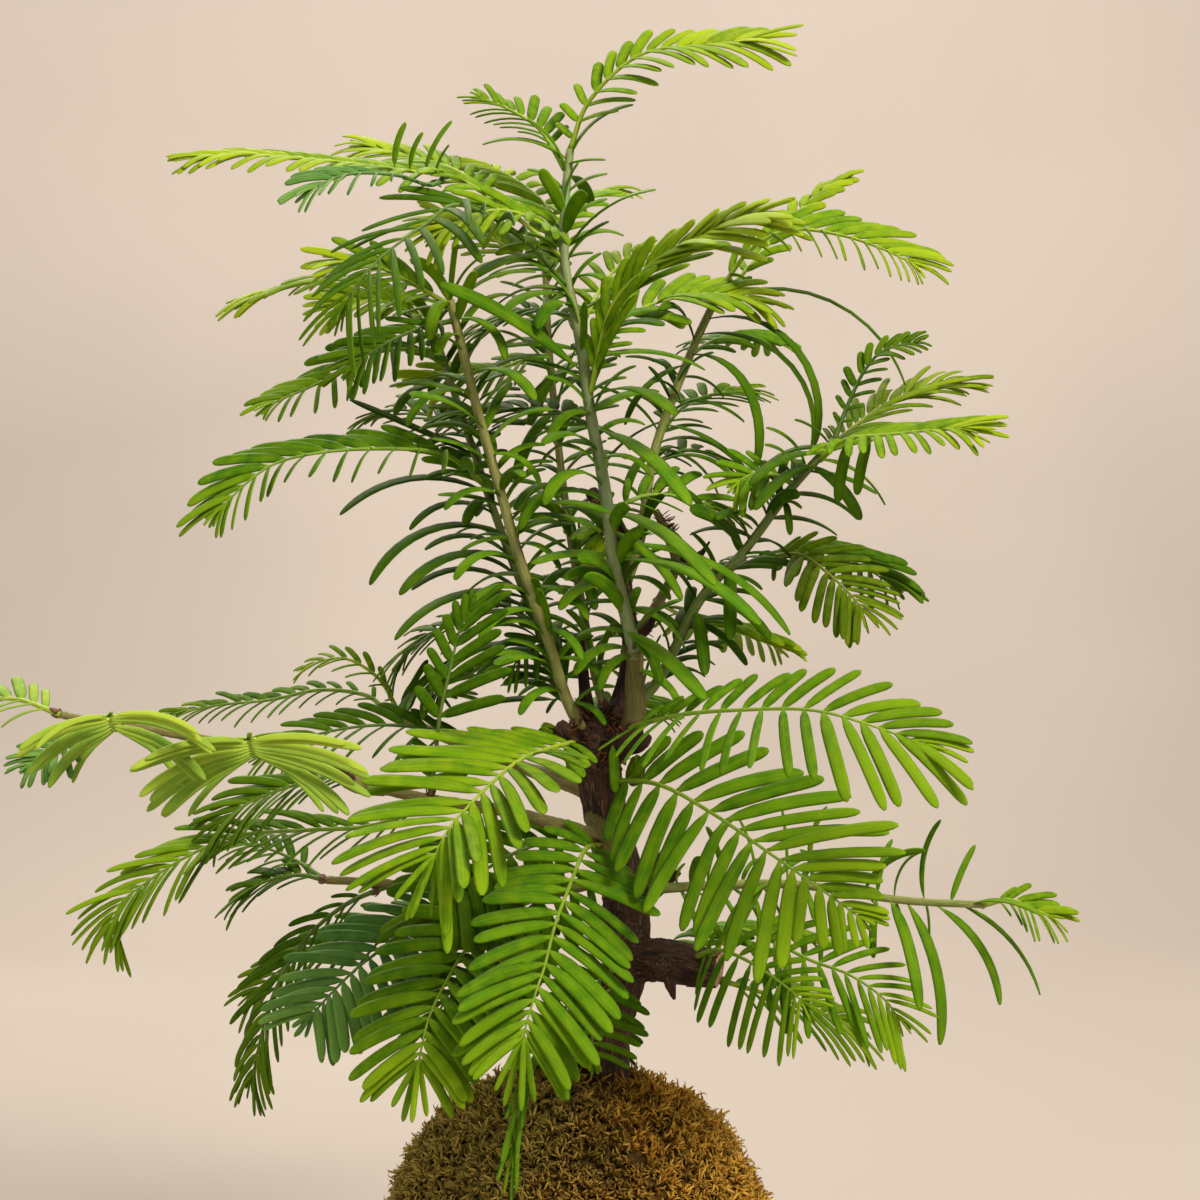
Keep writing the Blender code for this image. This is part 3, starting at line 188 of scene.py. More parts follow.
# Each frond by its name
FRONDS = {
    "frond_crown_right": Frond("stem_leader", ((-1, 0, 258), (3, -2, 268), (13, -6, 277),
        (26, -10, 279), (38, -14, 280)), (0, -0.6, 0.8), 13, 13, Tone.FRESH, dict(pair_share=1.1,
        sides=(0.92, 1.35), upper_row=(-14.0, 0.9), lower_row=(8.0, 0.25, 12.0), narrowness=0.225,
        youth=0.15, profile=BUSHY_TIP, tuft_size=1.2, bare_rib=0.3 * MM, crowding=1.1)),
    "frond_crown_left": Frond("stem_leader", ((-3, 0, 254), (-7, 3, 262), (-13, 6, 266), (-20, 9, 269)),
        (0, -0.6, 0.8), 9, 8, Tone.MID, dict(youth=0.2, sides=(1.1, 1.1), narrowness=0.24,
        pair_share=1.3, upper_row=(-8.0, 0.9), crowding=1.1)),
    "frond_upper_left_long": Frond("stem_leader", ((-2, -4, 236), (-11, -2, 244), (-23, -4, 252),
        (-35, -8, 254), (-51, -12, 256), (-67, -16, 257), (-77, -20, 256)), (0, -0.3, 1), 13, 18,
        Tone.FRESH, dict(pair_share=1.3, upper_row=(4.0, 0.9), youth=0.15, lower_row=(6.0, 0.2, 10.0),
        narrowness=0.19, profile=((0.0, 1.0), (0.35, 1.05), (0.6, 0.9), (1.0, 0.7)), tuft_size=1.0)),
    "frond_upper_left_blue": Frond("frond_upper_left_long", ((-26, -5, 252), (-29, -18, 251),
        (-36, -30, 253), (-46, -38, 253), (-55, -44, 249)), (0, -0.5, 0.85), 11, 10, Tone.BLUE,
        dict(profile=((0.0, 0.15), (0.42, 0.3), (0.65, 0.95), (1.0, 0.7)))),
    "frond_arch_left": Frond("stem_leader", ((-2, -5, 231), (-11, -14, 241), (-23, -24, 247),
        (-30, -32, 243), (-37, -38, 238), (-43, -42, 232), (-48, -44, 223)), (-0.3, -0.5, 0.8), 18, 13,
        Tone.DARK, dict(youth=-0.3, sides=(1.4, 0.9), lower_row=(2.0, 0.92, 14.0), narrowness=0.105,
        pair_share=1.25)),
    "frond_left_light": Frond("stem_left_back", ((-29, 14, 224), (-35, 18, 230), (-45, 22, 232),
        (-55, 24, 231), (-65, 26, 228)), (0, -0.2, 1), 13, 10, Tone.FRESH, dict(youth=0.3,
        pair_share=0.95, sides=(1.2, 1.2), lower_row=(4.0, 0.2, 6.0), narrowness=0.18,
        profile=FLAT_PROFILE, tuft_size=1.0)),
    "frond_left_middle": Frond("stem_left_back", ((-27, 12, 215), (-32, 2, 218), (-42, -6, 217),
        (-50, -12, 212), (-59, -16, 208), (-63, -18, 206)), (0, -0.45, 0.9), 13, 13, Tone.MID,
        dict(pair_share=1.0, sides=(0.72, 0.85), upper_row=(2.0, 0.9), lower_row=(4.0, 0.75, 12.0))),
    "frond_left_drooping": Frond("stem_left_back", ((-17, 8, 190), (-24, -8, 196), (-31, -14, 198),
        (-46, -22, 198), (-58, -28, 196), (-65, -32, 192), (-73, -34, 184)), (0, -0.45, 0.9), 14, 15,
        Tone.MID, dict(youth=-0.2, pair_share=1.05, sides=(0.8, 1.1), lower_row=(6.0, 0.75, 16.0))),
    "frond_crown_back_left": Frond("stem_leader", ((-2, -3, 240), (-6, 8, 247), (-12, 18, 252),
        (-19, 26, 255), (-29, 32, 256)), (0.1, -0.2, 1), 12, 9, Tone.FRESH, dict(DENSE_INNER,
        sides=(1.2, 1.2))),
    "frond_crown_inner": Frond("stem_leader", ((1, -6, 222), (5, 4, 230), (10, 12, 236), (16, 20, 239)),
        (0, -0.4, 0.9), 10, 7, Tone.FRESH, DENSE_INNER),
    "frond_right_top_front": Frond("stem_leader", ((3, -8, 209), (7, -14, 226), (15, -20, 235),
        (23, -28, 240), (32, -36, 244), (39, -42, 245)), (-0.3, -0.9, 0.4), 15, 12, Tone.FRESH,
        dict(sides=(0.75, 1.45), narrowness=0.15, pair_share=1.7, splay=(22.0, 8.0), lean=0.0,
        youth=0.2, profile=FLAT_PROFILE, tuft_size=1.1, facing=(0.1, -0.8, 0.6), turning=(0.8, 1.0))),
    "frond_right_top_outer": Frond("stem_upper_right", ((29, 8, 230), (35, 4, 238), (43, 0, 242),
        (53, -4, 241), (62, -8, 238), (70, -12, 234)), (0, -0.5, 0.85), 12, 13, Tone.FRESH,
        dict(lower_row=(4.0, 0.7, 16.0), pair_share=1.12, sides=(1.15, 0.8), upper_row=(3.0, 0.9))),
    "frond_right_top_back": Frond("stem_upper_right", ((29, 8, 228), (36, 16, 236), (44, 22, 245),
        (50, 26, 250), (55, 28, 253)), (-0.3, -0.4, 0.85), 9, 8, Tone.FRESH, dict(narrowness=0.27,
        pair_share=1.4, splay=(52.0, 22.0), lower_row=(4.0, 0.1, 0.0), youth=0.2)),
    "frond_right_upright": Frond("stem_right", ((52, -10, 200), (55, -11, 208), (58, -12, 214),
        (62, -14, 218), (70, -16, 220)), (-0.3, -0.6, 0.7), 8, 9, Tone.DARK, dict(sides=(0.8, 0.8),
        narrowness=0.2, pair_share=1.35, youth=0.25, upper_row=(-6.0, 0.8), lower_row=(4.0, 0.3, 6.0))),
    "frond_right_olive": Frond("stem_right", ((50, -9, 198), (55, 0, 202), (62, 8, 207), (70, 14, 210),
        (78, 20, 211)), (0, -0.35, 0.95), 13, 9, Tone.OLIVE, dict(splay=(34.0, 16.0), narrowness=0.135,
        sides=(1.15, 1.1), pair_share=2.1, lean=0.0, facing=(0.1, -0.7, 0.7), turning=(1.0, 1.0),
        reach=0.95, upper_row=(0.0, 0.35), lower_row=(0.0, 0.2, 0.0), youth=0.25,
        profile=FLAT_PROFILE)),
    "frond_right_bright": Frond("stem_right", ((49, -9, 196), (54, -20, 200), (62, -28, 201),
        (73, -36, 202), (85, -44, 202)), (0, -0.4, 0.9), 12, 11, Tone.FRESH, dict(upper_row=(4.0, 0.9),
        lower_row=(6.0, 0.15, 20.0), sides=(1.1, 0.9), narrowness=0.15, youth=-0.1, pair_share=1.3,
        profile=FLAT_PROFILE, tuft_size=1.0, reach=0.89)),
    "frond_right_dark": Frond("stem_right", ((29, -3, 173), (36, 10, 176), (45, 22, 178), (55, 34, 176),
        (65, 44, 170)), (0.2, 0.35, 0.9), 16, 11, Tone.DARK, dict(youth=-0.3)),
    "frond_right_behind": Frond("trunk", ((16, 10, 168), (23, 22, 164), (31, 32, 162), (42, 42, 158)),
        (0, 0.1, 1), 13, 9, Tone.FRESH),
    "frond_big_right_upper": Frond("trunk", ((9, -3, 142), (21, -26, 145), (33, -40, 146),
        (47, -52, 146), (59, -60, 143), (72, -66, 138), (82, -70, 132)), (0, -0.77, 0.64), 18, 16,
        Tone.MID, dict(pair_share=1.08, lean=0.0, splay=(80.0, 68.0), narrowness=0.128,
        sides=(0.74, 1.08), reach=0.92, tuft_size=0.45, profile=((0.0, 0.5), (0.15, 0.72), (0.4, 0.92),
        (0.65, 1.14), (0.85, 0.95), (1.0, 0.55)))),
    "frond_big_right_lower": Frond("trunk", ((7, -3, 132), (17, -14, 131), (28, -24, 125),
        (38, -34, 118), (48, -42, 111), (59, -48, 103)), (0.1, -0.9, 0.4), 23, 14, Tone.MID,
        dict(pair_share=1.25, lean=14.0, droop=(24.0, 16.0), sag=0.1, youth=0.15, profile=((0.0, 0.55),
        (0.12, 0.9), (0.3, 1.05), (0.58, 1.12), (0.68, 0.6), (0.85, 0.4), (1.0, 0.24)))),
    "frond_right_twig_tip": Frond("stem_right_twig", ((82, -14, 107), (87, -16, 108), (92, -18, 106),
        (97, -20, 104)), (0, -0.6, 0.8), 8, 8, Tone.FRESH),
    "frond_low_right_front": Frond("trunk", ((27, -8, 97), (32, -6, 102), (39, -8, 100), (47, -12, 96),
        (55, -16, 93), (62, -20, 88), (66, -22, 82)), (0, -0.75, 0.65), 15, 12, Tone.MID,
        dict(narrowness=0.115, sides=(0.9, 1.2), pair_share=1.25, lean=0.0, profile=((0.0, 0.8),
        (0.3, 1.0), (0.6, 0.9), (0.85, 0.7), (1.0, 0.45)))),
    "frond_low_right_back": Frond("trunk", ((29, -5, 92), (39, 0, 89), (45, 4, 87), (53, 8, 84),
        (57, 10, 81)), (0, -0.5, 0.85), 14, 9, Tone.MID, dict(lower_row=(4.0, 0.2, 8.0), youth=0.25,
        pair_share=1.3, narrowness=0.15)),
    "frond_front_big": Frond("trunk", ((5, -3, 118), (2, -14, 118), (-1, -26, 111), (-4, -36, 103),
        (-6, -42, 95), (-8, -46, 89), (-10, -48, 82), (-11, -50, 75)), (0.1, -0.85, 0.5), 18, 15,
        Tone.MID, dict(youth=-0.25, pair_share=1.34, narrowness=0.188, splay=(62.0, 24.0),
        tuft_size=1.3)),
    "frond_front_left_upper": Frond("trunk", ((1, -3, 140), (-6, -18, 138), (-11, -30, 136),
        (-16, -40, 132), (-22, -48, 126), (-26, -54, 121), (-30, -58, 112)), (-0.2, -0.8, 0.55), 18, 12,
        Tone.FRESH, dict(youth=-0.75, pair_share=1.5, narrowness=0.18, sides=(1.42, 1.35),
        droop=(30.0, 22.0), widest=3.5 * MM, splay=(62.0, 24.0), tuft_size=1.3, swept=(20.0, -4.0))),
    "frond_front_left_lower": Frond("trunk", ((5, -3, 111), (-3, -8, 110), (-14, -16, 105),
        (-21, -24, 99), (-25, -30, 93), (-29, -36, 85), (-31, -40, 77), (-32, -42, 71)),
        (-0.1, -0.85, 0.5), 16, 13, Tone.MID, dict(pair_share=1.45, narrowness=0.215,
        splay=(62.0, 24.0), youth=-0.1, tuft_size=1.3, widest=3.5 * MM, sides=(1.1, 1.1))),
    "frond_left_blue": Frond("trunk", ((-21, -1, 109), (-27, -6, 107), (-32, -10, 104), (-39, -16, 98),
        (-44, -20, 94), (-50, -24, 88), (-55, -28, 82)), (-0.1, -0.8, 0.6), 15, 14, Tone.BLUE,
        dict(narrowness=0.18, pair_share=1.15, youth=0.1, splay=(62.0, 28.0))),
    "frond_left_under": Frond("trunk", ((-19, -2, 108), (-28, 8, 106), (-42, 14, 102), (-56, 18, 96),
        (-66, 20, 88)), (-0.1, -0.6, 0.8), 14, 12, Tone.DARK, dict(narrowness=0.15, splay=(50.0, 22.0),
        lower_row=(4.0, 0.5, 6.0), youth=0.3)),
    "frond_left_inner": Frond("trunk", ((-15, 22, 136), (-25, 14, 141), (-38, 10, 143), (-52, 8, 141),
        (-64, 6, 136)), (0, -0.5, 0.85), 13, 12, Tone.DARK, dict(narrowness=0.17, youth=0.15)),
    "frond_left_hanging": Frond("trunk", ((-37, 1, 111), (-46, 2, 107), (-54, 2, 100), (-60, 2, 90),
        (-63, 4, 80), (-65, 6, 70)), (-0.4, -0.6, 0.7), 13, 15, Tone.DARK, dict(narrowness=0.14,
        splay=(44.0, 20.0), lower_row=(6.0, 0.5, 4.0), youth=0.15)),
    "frond_left_far": Frond("trunk", ((-27, -19, 128), (-40, -14, 123), (-53, -14, 122),
        (-67, -16, 121), (-77, -20, 117), (-85, -22, 112), (-91, -24, 107), (-93, -24, 100)),
        (0, -0.45, 0.9), 13, 20, Tone.MID, dict(sides=(1.15, 1.15), narrowness=0.15, splay=(44.0, 22.0),
        lower_row=(4.0, 0.5, 4.0), upper_row=(4.0, 0.4), youth=0.2, pair_share=1.35)),
    "frond_low_left_tip": Frond("trunk", ((-50, 4, 112), (-55, 6, 113), (-61, 8, 112), (-67, 10, 109)),
        (0, -0.4, 0.9), 12, 7, Tone.DARK),
    "frond_back_left_tip": Frond("trunk", ((-38, 36, 146), (-42, 38, 149), (-51, 40, 150),
        (-61, 42, 148), (-71, 44, 147), (-82, 46, 145)), (0, -0.4, 0.9), 9, 14, Tone.MID),
    "frond_back_left_light": Frond("trunk", ((-35, 34, 145), (-39, 30, 152), (-45, 30, 156),
        (-50, 32, 156), (-55, 34, 154)), (0, -0.5, 0.85), 7, 8, Tone.FRESH),
    "frond_long_left_inner": Frond("trunk", ((-63, -36, 138), (-64, -44, 137), (-65, -56, 139),
        (-66, -66, 142)), (0, -0.35, 0.94), 22, 9, Tone.FRESH, dict(LONG_LEFT, narrowness=0.092,
        droop=(34.0, 0.0))),
    "frond_long_left_outer": Frond("trunk", ((-91, -46, 143), (-92, -54, 142), (-93, -64, 144),
        (-93, -72, 146)), (0, -0.35, 0.94), 16, 8, Tone.FRESH, dict(LONG_LEFT, narrowness=0.105,
        sides=(1.25, 1.05), droop=(44.0, 0.0))),
    "frond_long_left_blue": Frond("trunk", ((-98, -48, 144), (-101, -51, 140), (-106, -54, 137),
        (-111, -56, 133), (-113, -58, 127)), (-0.3, -0.7, 0.6), 10, 8, Tone.BLUE, dict(sides=(0.7, 0.7),
        narrowness=0.14, youth=0.55, tuft_size=0.5, reach=0.74)),
    "frond_long_left_tip": Frond("trunk", ((-103, -50, 145), (-111, -44, 148), (-119, -40, 148),
        (-127, -38, 146)), (0, -0.5, 0.85), 11, 8, Tone.FRESH, dict(pale=True, profile=FLAT_PROFILE,
        upper_row=(12.0, 0.6))),
    "frond_young_upright": Frond("trunk", ((-29, -20, 128), (-28, -24, 136), (-27, -27, 145),
        (-25, -28, 154), (-23, -28, 162), (-20, -26, 168)), (-0.1, -1, 0.1), 9, 9, Tone.DARK,
        dict(narrowness=0.24, splay=(62.0, 34.0), rise=12.0, pair_share=1.2, sides=(0.95, 1.65),
        youth=-0.3)),
    "frond_centre_left_dark": Frond("stem_left_back", ((-19, 9, 194), (-20, 18, 199), (-27, 26, 204),
        (-35, 32, 206), (-41, 38, 204)), (0, -0.4, 0.9), 13, 9, Tone.DARK),
    "frond_centre_low_left": Frond("stem_left_back", ((-8, 6, 164), (-15, 14, 166), (-23, 22, 164),
        (-31, 28, 160), (-35, 32, 155)), (0, -0.5, 0.85), 15, 10, Tone.DARK),
    "frond_low_behind": Frond("trunk", ((8, 4, 86), (6, 16, 85), (6, 24, 81), (7, 30, 76)),
        (0, -0.7, 0.7), 10, 6, Tone.DARK),
    "frond_low_hanging": Frond("trunk", ((6, -5, 90), (-1, -18, 86), (-7, -30, 79), (-10, -38, 71),
        (-12, -43, 61), (-13, -46, 50)), (-0.2, -0.9, 0.3), 12, 8, Tone.MID, dict(splay=(11.0, 5.0),
        narrowness=0.085, sag=0.05, turning=(0.0, 0.4), lean=0.0, pair_share=1.0, droop=(12.0, 0.0),
        sides=(1.3, 1.2), youth=-0.5, reach=0.92)),
    "frond_back_high": Frond("stem_back", ((-6, 26, 236), (-3, 36, 245), (3, 46, 249), (10, 54, 250)),
        (0, -0.2, 1), 12, 9, Tone.FRESH, dict(tuft_size=0.4)),
    "frond_back_right": Frond("stem_upper_right", ((23, 8, 217), (28, 22, 220), (34, 36, 221),
        (40, 48, 219)), (0, 0, 1), 13, 8, Tone.MID),
    "frond_back_low_right": Frond("trunk", ((23, 0, 98), (29, 16, 102), (38, 30, 103), (48, 42, 100)),
        (0, 0, 1), 14, 9, Tone.MID),
    "frond_back_low_left": Frond("trunk", ((9, 5, 107), (3, 18, 105), (-5, 30, 101), (-15, 42, 96)),
        (0, -0.2, 1), 15, 10, Tone.DARK),
    "frond_back_middle": Frond("trunk", ((5, 5, 141), (7, 18, 145), (9, 32, 148), (13, 46, 147),
        (16, 56, 144)), (0, 0, 1), 15, 10, Tone.MID, dict(tuft_size=0.4, sides=(0.9, 0.9))),
}


def place(reading: tuple) -> Vector:
    """Gives the point in space of a reading.

    Args:
        reading: Across, depth and up in millimetres, with or without a radius after them.

    Returns:
        The point in metres.
    """
    across, depth, up = reading[:3]
    reach = 1.0 + depth / EYE_DISTANCE
    return Vector((EYE_X + (across - EYE_X) * reach, depth, EYE_Z + (up - EYE_Z) * reach)) * MM


class Route:
    """A smooth line through its places, read by the distance along it."""

    STEPS = 12

    def __init__(self, places: list[Vector]) -> None:
        """Lays the line.

        Args:
            places: The points that it passes through, in metres.
        """
        ends = [2 * places[0] - places[1]] + places + [2 * places[-1] - places[-2]]
        self.points = [places[0]]
        for a, b, c, d in zip(ends, ends[1:], ends[2:], ends[3:]):
            for step in range(1, self.STEPS + 1):
                self.points.append(self.between(a, b, c, d, step / self.STEPS))
        self.distances = [0.0]
        for before, after in zip(self.points, self.points[1:]):
            self.distances.append(self.distances[-1] + (after - before).length)
        self.stops = self.distances[:: self.STEPS]
        self.length = self.distances[-1]

    @staticmethod
    def between(a: Vector, b: Vector, c: Vector, d: Vector, t: float) -> Vector:
        """Gives a point of the curve from b to c, at t from 0 to 1."""
        cubic = (3 * b - a - 3 * c + d) * t**3
        return 0.5 * (2 * b + (c - a) * t + (2 * a - 5 * b + 4 * c - d) * t**2 + cubic)

    def at(self, distance: float) -> Vector:
        """Gives the point this far along, straight on past either end."""
        for i, reached in enumerate(self.distances[1:]):
            if distance <= reached or i == len(self.points) - 2:
                span = reached - self.distances[i]
                return self.points[i].lerp(self.points[i + 1], (distance - self.distances[i]) / span)
        return self.points[-1]

    def along(self, distance: float) -> Vector:
        """Gives the direction of the line there."""
        step = 0.5 * MM
        return (self.at(distance + step) - self.at(distance - step)).normalized()

    def value(self, values: list[float], distance: float) -> float:
        """Reads a value that is given at each of the line's own places.

        Args:
            values: One value for each place.
            distance: How far along the line to read it.

        Returns:
            The value there, between those of the two places round it.
        """
        for i, reached in enumerate(self.stops[1:]):
            if distance <= reached or i == len(values) - 2:
                share = (distance - self.stops[i]) / (reached - self.stops[i])
                return values[i] + (values[i + 1] - values[i]) * min(share, 1.0)
        return values[-1]


def shoot_route(readings: tuple, carrier: BVHTree) -> Route:
    """Lays the line of a shoot.

    Args:
        readings: The readings of its line.
        carrier: The search tree of what carries it.

    Returns:
        The line, its foot a little inside the carrier.
    """
    places = [place(reading) for reading in readings]
    nearest, normal, _, _ = carrier.find_nearest(places[0])
    if (places[0] - nearest).dot(normal) > 0:
        places[0] = nearest - normal * FOOT_DEPTH * MM
    return Route(places)


def search_tree(made: bpy.types.Object) -> BVHTree:
    """Gives a search tree of an object's faces."""
    mesh = made.data
    return BVHTree.FromPolygons([v.co for v in mesh.vertices], [p.vertices for p in mesh.polygons])


def smoothstep(low: float, high: float, value: float) -> float:
    """Rises from 0 at low to 1 at high, level at both ends."""
    share = min(max((value - low) / (high - low), 0.0), 1.0)
    return share * share * (3 - 2 * share)


class Surfaces:
    """What a leaf has to stay clear of, as search trees by the name of the piece."""

    def __init__(self) -> None:
        """Starts with nothing in the way."""
        self.trees: dict[str, list[BVHTree]] = {}

    def add(self, name: str, points: list[Vector], faces: list[tuple]) -> None:
        """Adds a shape to the piece of that name."""
        self.trees.setdefault(name, []).append(BVHTree.FromPolygons(points, faces))

    def clear(self, points: list[Vector], faces: list[tuple], leave_out: tuple = ()) -> bool:
        """Tells whether a shape crosses none of the pieces.

        Args:
            points: The shape's points.
            faces: The shape's faces.
            leave_out: Names of pieces that it may cross.

        Returns:
            True if nothing is crossed.
        """
        probe = BVHTree.FromPolygons(points, faces)
        for name, trees in self.trees.items():
            if name not in leave_out and any(tree.overlap(probe) for tree in trees):
                return False
        return True


class Quantity:
    """A number or a vector in a node tree, which takes part in sums."""

    def __init__(self, graph: "Graph", socket: bpy.types.NodeSocket) -> None:
        """Wraps an output socket of the graph."""
        self.graph = graph
        self.socket = socket

    def __add__(self, other: object) -> "Quantity":
        """Adds."""
        return self.graph.combine("ADD", self, other)

    def __sub__(self, other: object) -> "Quantity":
        """Subtracts."""
        return self.graph.combine("SUBTRACT", self, other)

    def __mul__(self, other: object) -> "Quantity":
        """Multiplies, or scales where one of the two is a vector."""
        return self.graph.combine("MULTIPLY", self, other)

    def __truediv__(self, other: object) -> "Quantity":
        """Divides."""
        return self.graph.combine("DIVIDE", self, other)

    def cross(self, other: "Quantity") -> "Quantity":
        """Gives the cross product."""
        return self.graph.combine("CROSS_PRODUCT", self, other)

    def apply(self, operation: str) -> "Quantity":
        """Gives a function of the number, such as SINE or ABSOLUTE."""
        node = self.graph.add("ShaderNodeMath", {0: self}, operation=operation)
        return Quantity(self.graph, node.outputs[0])

    def parts(self) -> tuple["Quantity", "Quantity", "Quantity"]:
        """Splits a vector into its three numbers."""
        node = self.graph.add("ShaderNodeSeparateXYZ", {0: self})
        return tuple(Quantity(self.graph, output) for output in node.outputs)


class Graph:
    """A node tree with short ways to add nodes, link them and write formulas."""

    SPACING = 170

    def __init__(self, tree: bpy.types.NodeTree) -> None:
        """Wraps an empty or a started tree."""
        self.tree = tree

    def add(self, kind: str, inputs: dict | None = None, **settings: object) -> bpy.types.Node:
        """Adds a node.

        Args:
            kind: The node's type name.
            inputs: What feeds each input, by its name or number: a value, a socket or a Quantity.
            **settings: The node's own properties.

        Returns:
            The node.
        """
        node = self.tree.nodes.new(kind)
        node.location = (len(self.tree.nodes) * self.SPACING, 0)
        for name, value in settings.items():
            setattr(node, name, value)
        for key, value in (inputs or {}).items():
            self.feed(node.inputs[key], value)
        return node

    def feed(self, socket: bpy.types.NodeSocket, value: object) -> None:
        """Links a socket or a Quantity to an input, or sets its plain value."""
        if isinstance(value, Quantity):
            value = value.socket
        if isinstance(value, bpy.types.NodeSocket):
            self.tree.links.new(value, socket)
        else:
            socket.default_value = value

    def quantity(self, socket: bpy.types.NodeSocket) -> Quantity:
        """Wraps a socket for use in formulas."""
        return Quantity(self, socket)

    def combine(self, operation: str, first: object, second: object) -> Quantity:
        """Adds the math node for two operands, of which either may be a vector."""
        vectors = [isinstance(one, Quantity) and one.socket.type == "VECTOR" for one in (first, second)]
        if not any(vectors):
            node = self.add("ShaderNodeMath", {0: first, 1: second}, operation=operation)
        elif operation == "MULTIPLY" and not all(vectors):
            vector, scale = (first, second) if vectors[0] else (second, first)
            node = self.add("ShaderNodeVectorMath", {0: vector, "Scale": scale}, operation="SCALE")
        else:
            node = self.add("ShaderNodeVectorMath", {0: first, 1: second}, operation=operation)
        return Quantity(self, node.outputs[0])

    def vector(self, x: object, y: object, z: object) -> Quantity:
        """Makes a vector of three numbers."""
        node = self.add("ShaderNodeCombineXYZ", {0: x, 1: y, 2: z})
        return Quantity(self, node.outputs[0])

    def ramp(self, value: object, low: float, high: float, to: tuple = (0.0, 1.0)) -> Quantity:
        """Maps a number smoothly from low and high to the two values of to, and no further."""
        node = self.add("ShaderNodeMapRange", {"Value": value, "From Min": low, "From Max": high,
                                               "To Min": to[0], "To Max": to[1]},
                        interpolation_type="SMOOTHSTEP")
        return Quantity(self, node.outputs[0])

    def mix(self, share: object, first: object, second: object) -> bpy.types.NodeSocket:
        """Mixes two colours, each a colour socket or a red, green and blue."""
        node = self.add("ShaderNodeMix", {"Factor": share}, data_type="RGBA")
        for number, colour in ((6, first), (7, second)):
            self.feed(node.inputs[number], (*colour, 1.0) if isinstance(colour, tuple) else colour)
        return node.outputs[2]

    def read(self, name: str, kind: str) -> Quantity:
        """Reads a named attribute in a geometry tree, of a data type such as FLOAT."""
        node = self.add("GeometryNodeInputNamedAttribute", {"Name": name}, data_type=kind)
        return Quantity(self, node.outputs["Attribute"])

    def store(self, shape: object, name: str, kind: str, value: object) -> bpy.types.NodeSocket:
        """Stores a value on the points of a shape in a geometry tree, and gives the shape."""
        node = self.add("GeometryNodeStoreNamedAttribute", data_type=kind, domain="POINT")
        for key, fed in {"Geometry": shape, "Name": name, "Value": value}.items():
            self.feed(node.inputs[key], fed)
        return node.outputs[0]


def new_tree(name: str, kind: str, inputs: dict[str, str], outputs: dict[str, str]) -> Graph:
    """Starts a node group with its sockets.

    Args:
        name: The group's name.
        kind: GeometryNodeTree or ShaderNodeTree.
        inputs: Type of socket, such as Float, by input name.
        outputs: The same by output name.

    Returns:
        The graph, with a node each for the inputs and the outputs.
    """
    graph = Graph(bpy.data.node_groups.new(name, kind))
    for way, sockets in (("INPUT", inputs), ("OUTPUT", outputs)):
        for socket, socket_type in sockets.items():
            graph.tree.interface.new_socket(socket, in_out=way, socket_type="NodeSocket" + socket_type)
    graph.given = graph.add("NodeGroupInput").outputs
    graph.result = graph.add("NodeGroupOutput").inputs
    return graph


def object_of(name: str, mesh: bpy.types.Mesh) -> bpy.types.Object:
    """Puts a mesh in the scene as an object at the origin."""
    made = bpy.data.objects.new(name, mesh)
    bpy.context.scene.collection.objects.link(made)
    return made


def template(name: str, mesh: bpy.types.Mesh) -> bpy.types.Object:
    """Hides a small shape that a geometry tree copies."""
    made = object_of(name + "_template", mesh)
    made.hide_render = True
    return made


def formed(mesh: bpy.types.Mesh) -> bpy.types.Mesh:
    """Smooths a small shape and stores its points as the attribute form."""
    mesh.shade_smooth()
    set_attribute(mesh, "form", "FLOAT_VECTOR", [tuple(vertex.co) for vertex in mesh.vertices])
    return mesh


def dress(mesh: bpy.types.Mesh, finish: bpy.types.Material) -> bpy.types.Mesh:
    """Gives a mesh its one material."""
    mesh.materials.clear()
    mesh.materials.append(finish)
    return mesh


def bridge(rings: int, sides: int, first: int = 0) -> list[tuple]:
    """Gives the faces between closed rings of points.

    Args:
        rings: How many rings there are.
        sides: How many points each has.
        first: The index of the first ring's first point.

    Returns:
        The faces, ring by ring.
    """
    faces = []
    for ring in range(rings - 1):
        for i in range(sides):
            a, b = first + ring * sides + i, first + ring * sides + (i + 1) % sides
            faces.append((a, b, b + sides, a + sides))
    return faces


def ends_of(count: int, sides: int) -> list[tuple]:
    """Gives the faces that close the first and the last ring of that many points."""
    return [tuple(range(sides)), tuple(range(count - sides, count))]


def circle(radius: float, height: float, segments: int) -> list[Vector]:
    """Gives the points of a level circle about the Z axis."""
    turns = [math.tau * i / segments for i in range(segments)]
    return [Vector((radius * math.cos(turn), radius * math.sin(turn), height)) for turn in turns]


def ball(name: str, subdivisions: int, moved: Callable) -> bpy.types.Mesh:
    """Makes a round ball of unit radius and moves its points.

    Args:
        name: The mesh's name.
        subdivisions: How fine it is.
        moved: A function from a point of the ball to its new place.

    Returns:
        The mesh.
    """
    shape = bmesh.new()
    bmesh.ops.create_icosphere(shape, subdivisions=subdivisions, radius=1.0)
    for vertex in shape.verts:
        vertex.co = moved(vertex.co)
    mesh = bpy.data.meshes.new(name)
    shape.to_mesh(mesh)
    shape.free()
    return mesh


def plain_mesh(name: str, points: list, faces: list, edges: tuple = ()) -> bpy.types.Mesh:
    """Makes a mesh from points and faces, its normals outwards."""
    mesh = bpy.data.meshes.new(name)
    mesh.from_pydata(points, edges, faces)
    if faces:
        shape = bmesh.new()
        shape.from_mesh(mesh)
        bmesh.ops.recalc_face_normals(shape, faces=shape.faces)
        shape.to_mesh(mesh)
        shape.free()
    return mesh


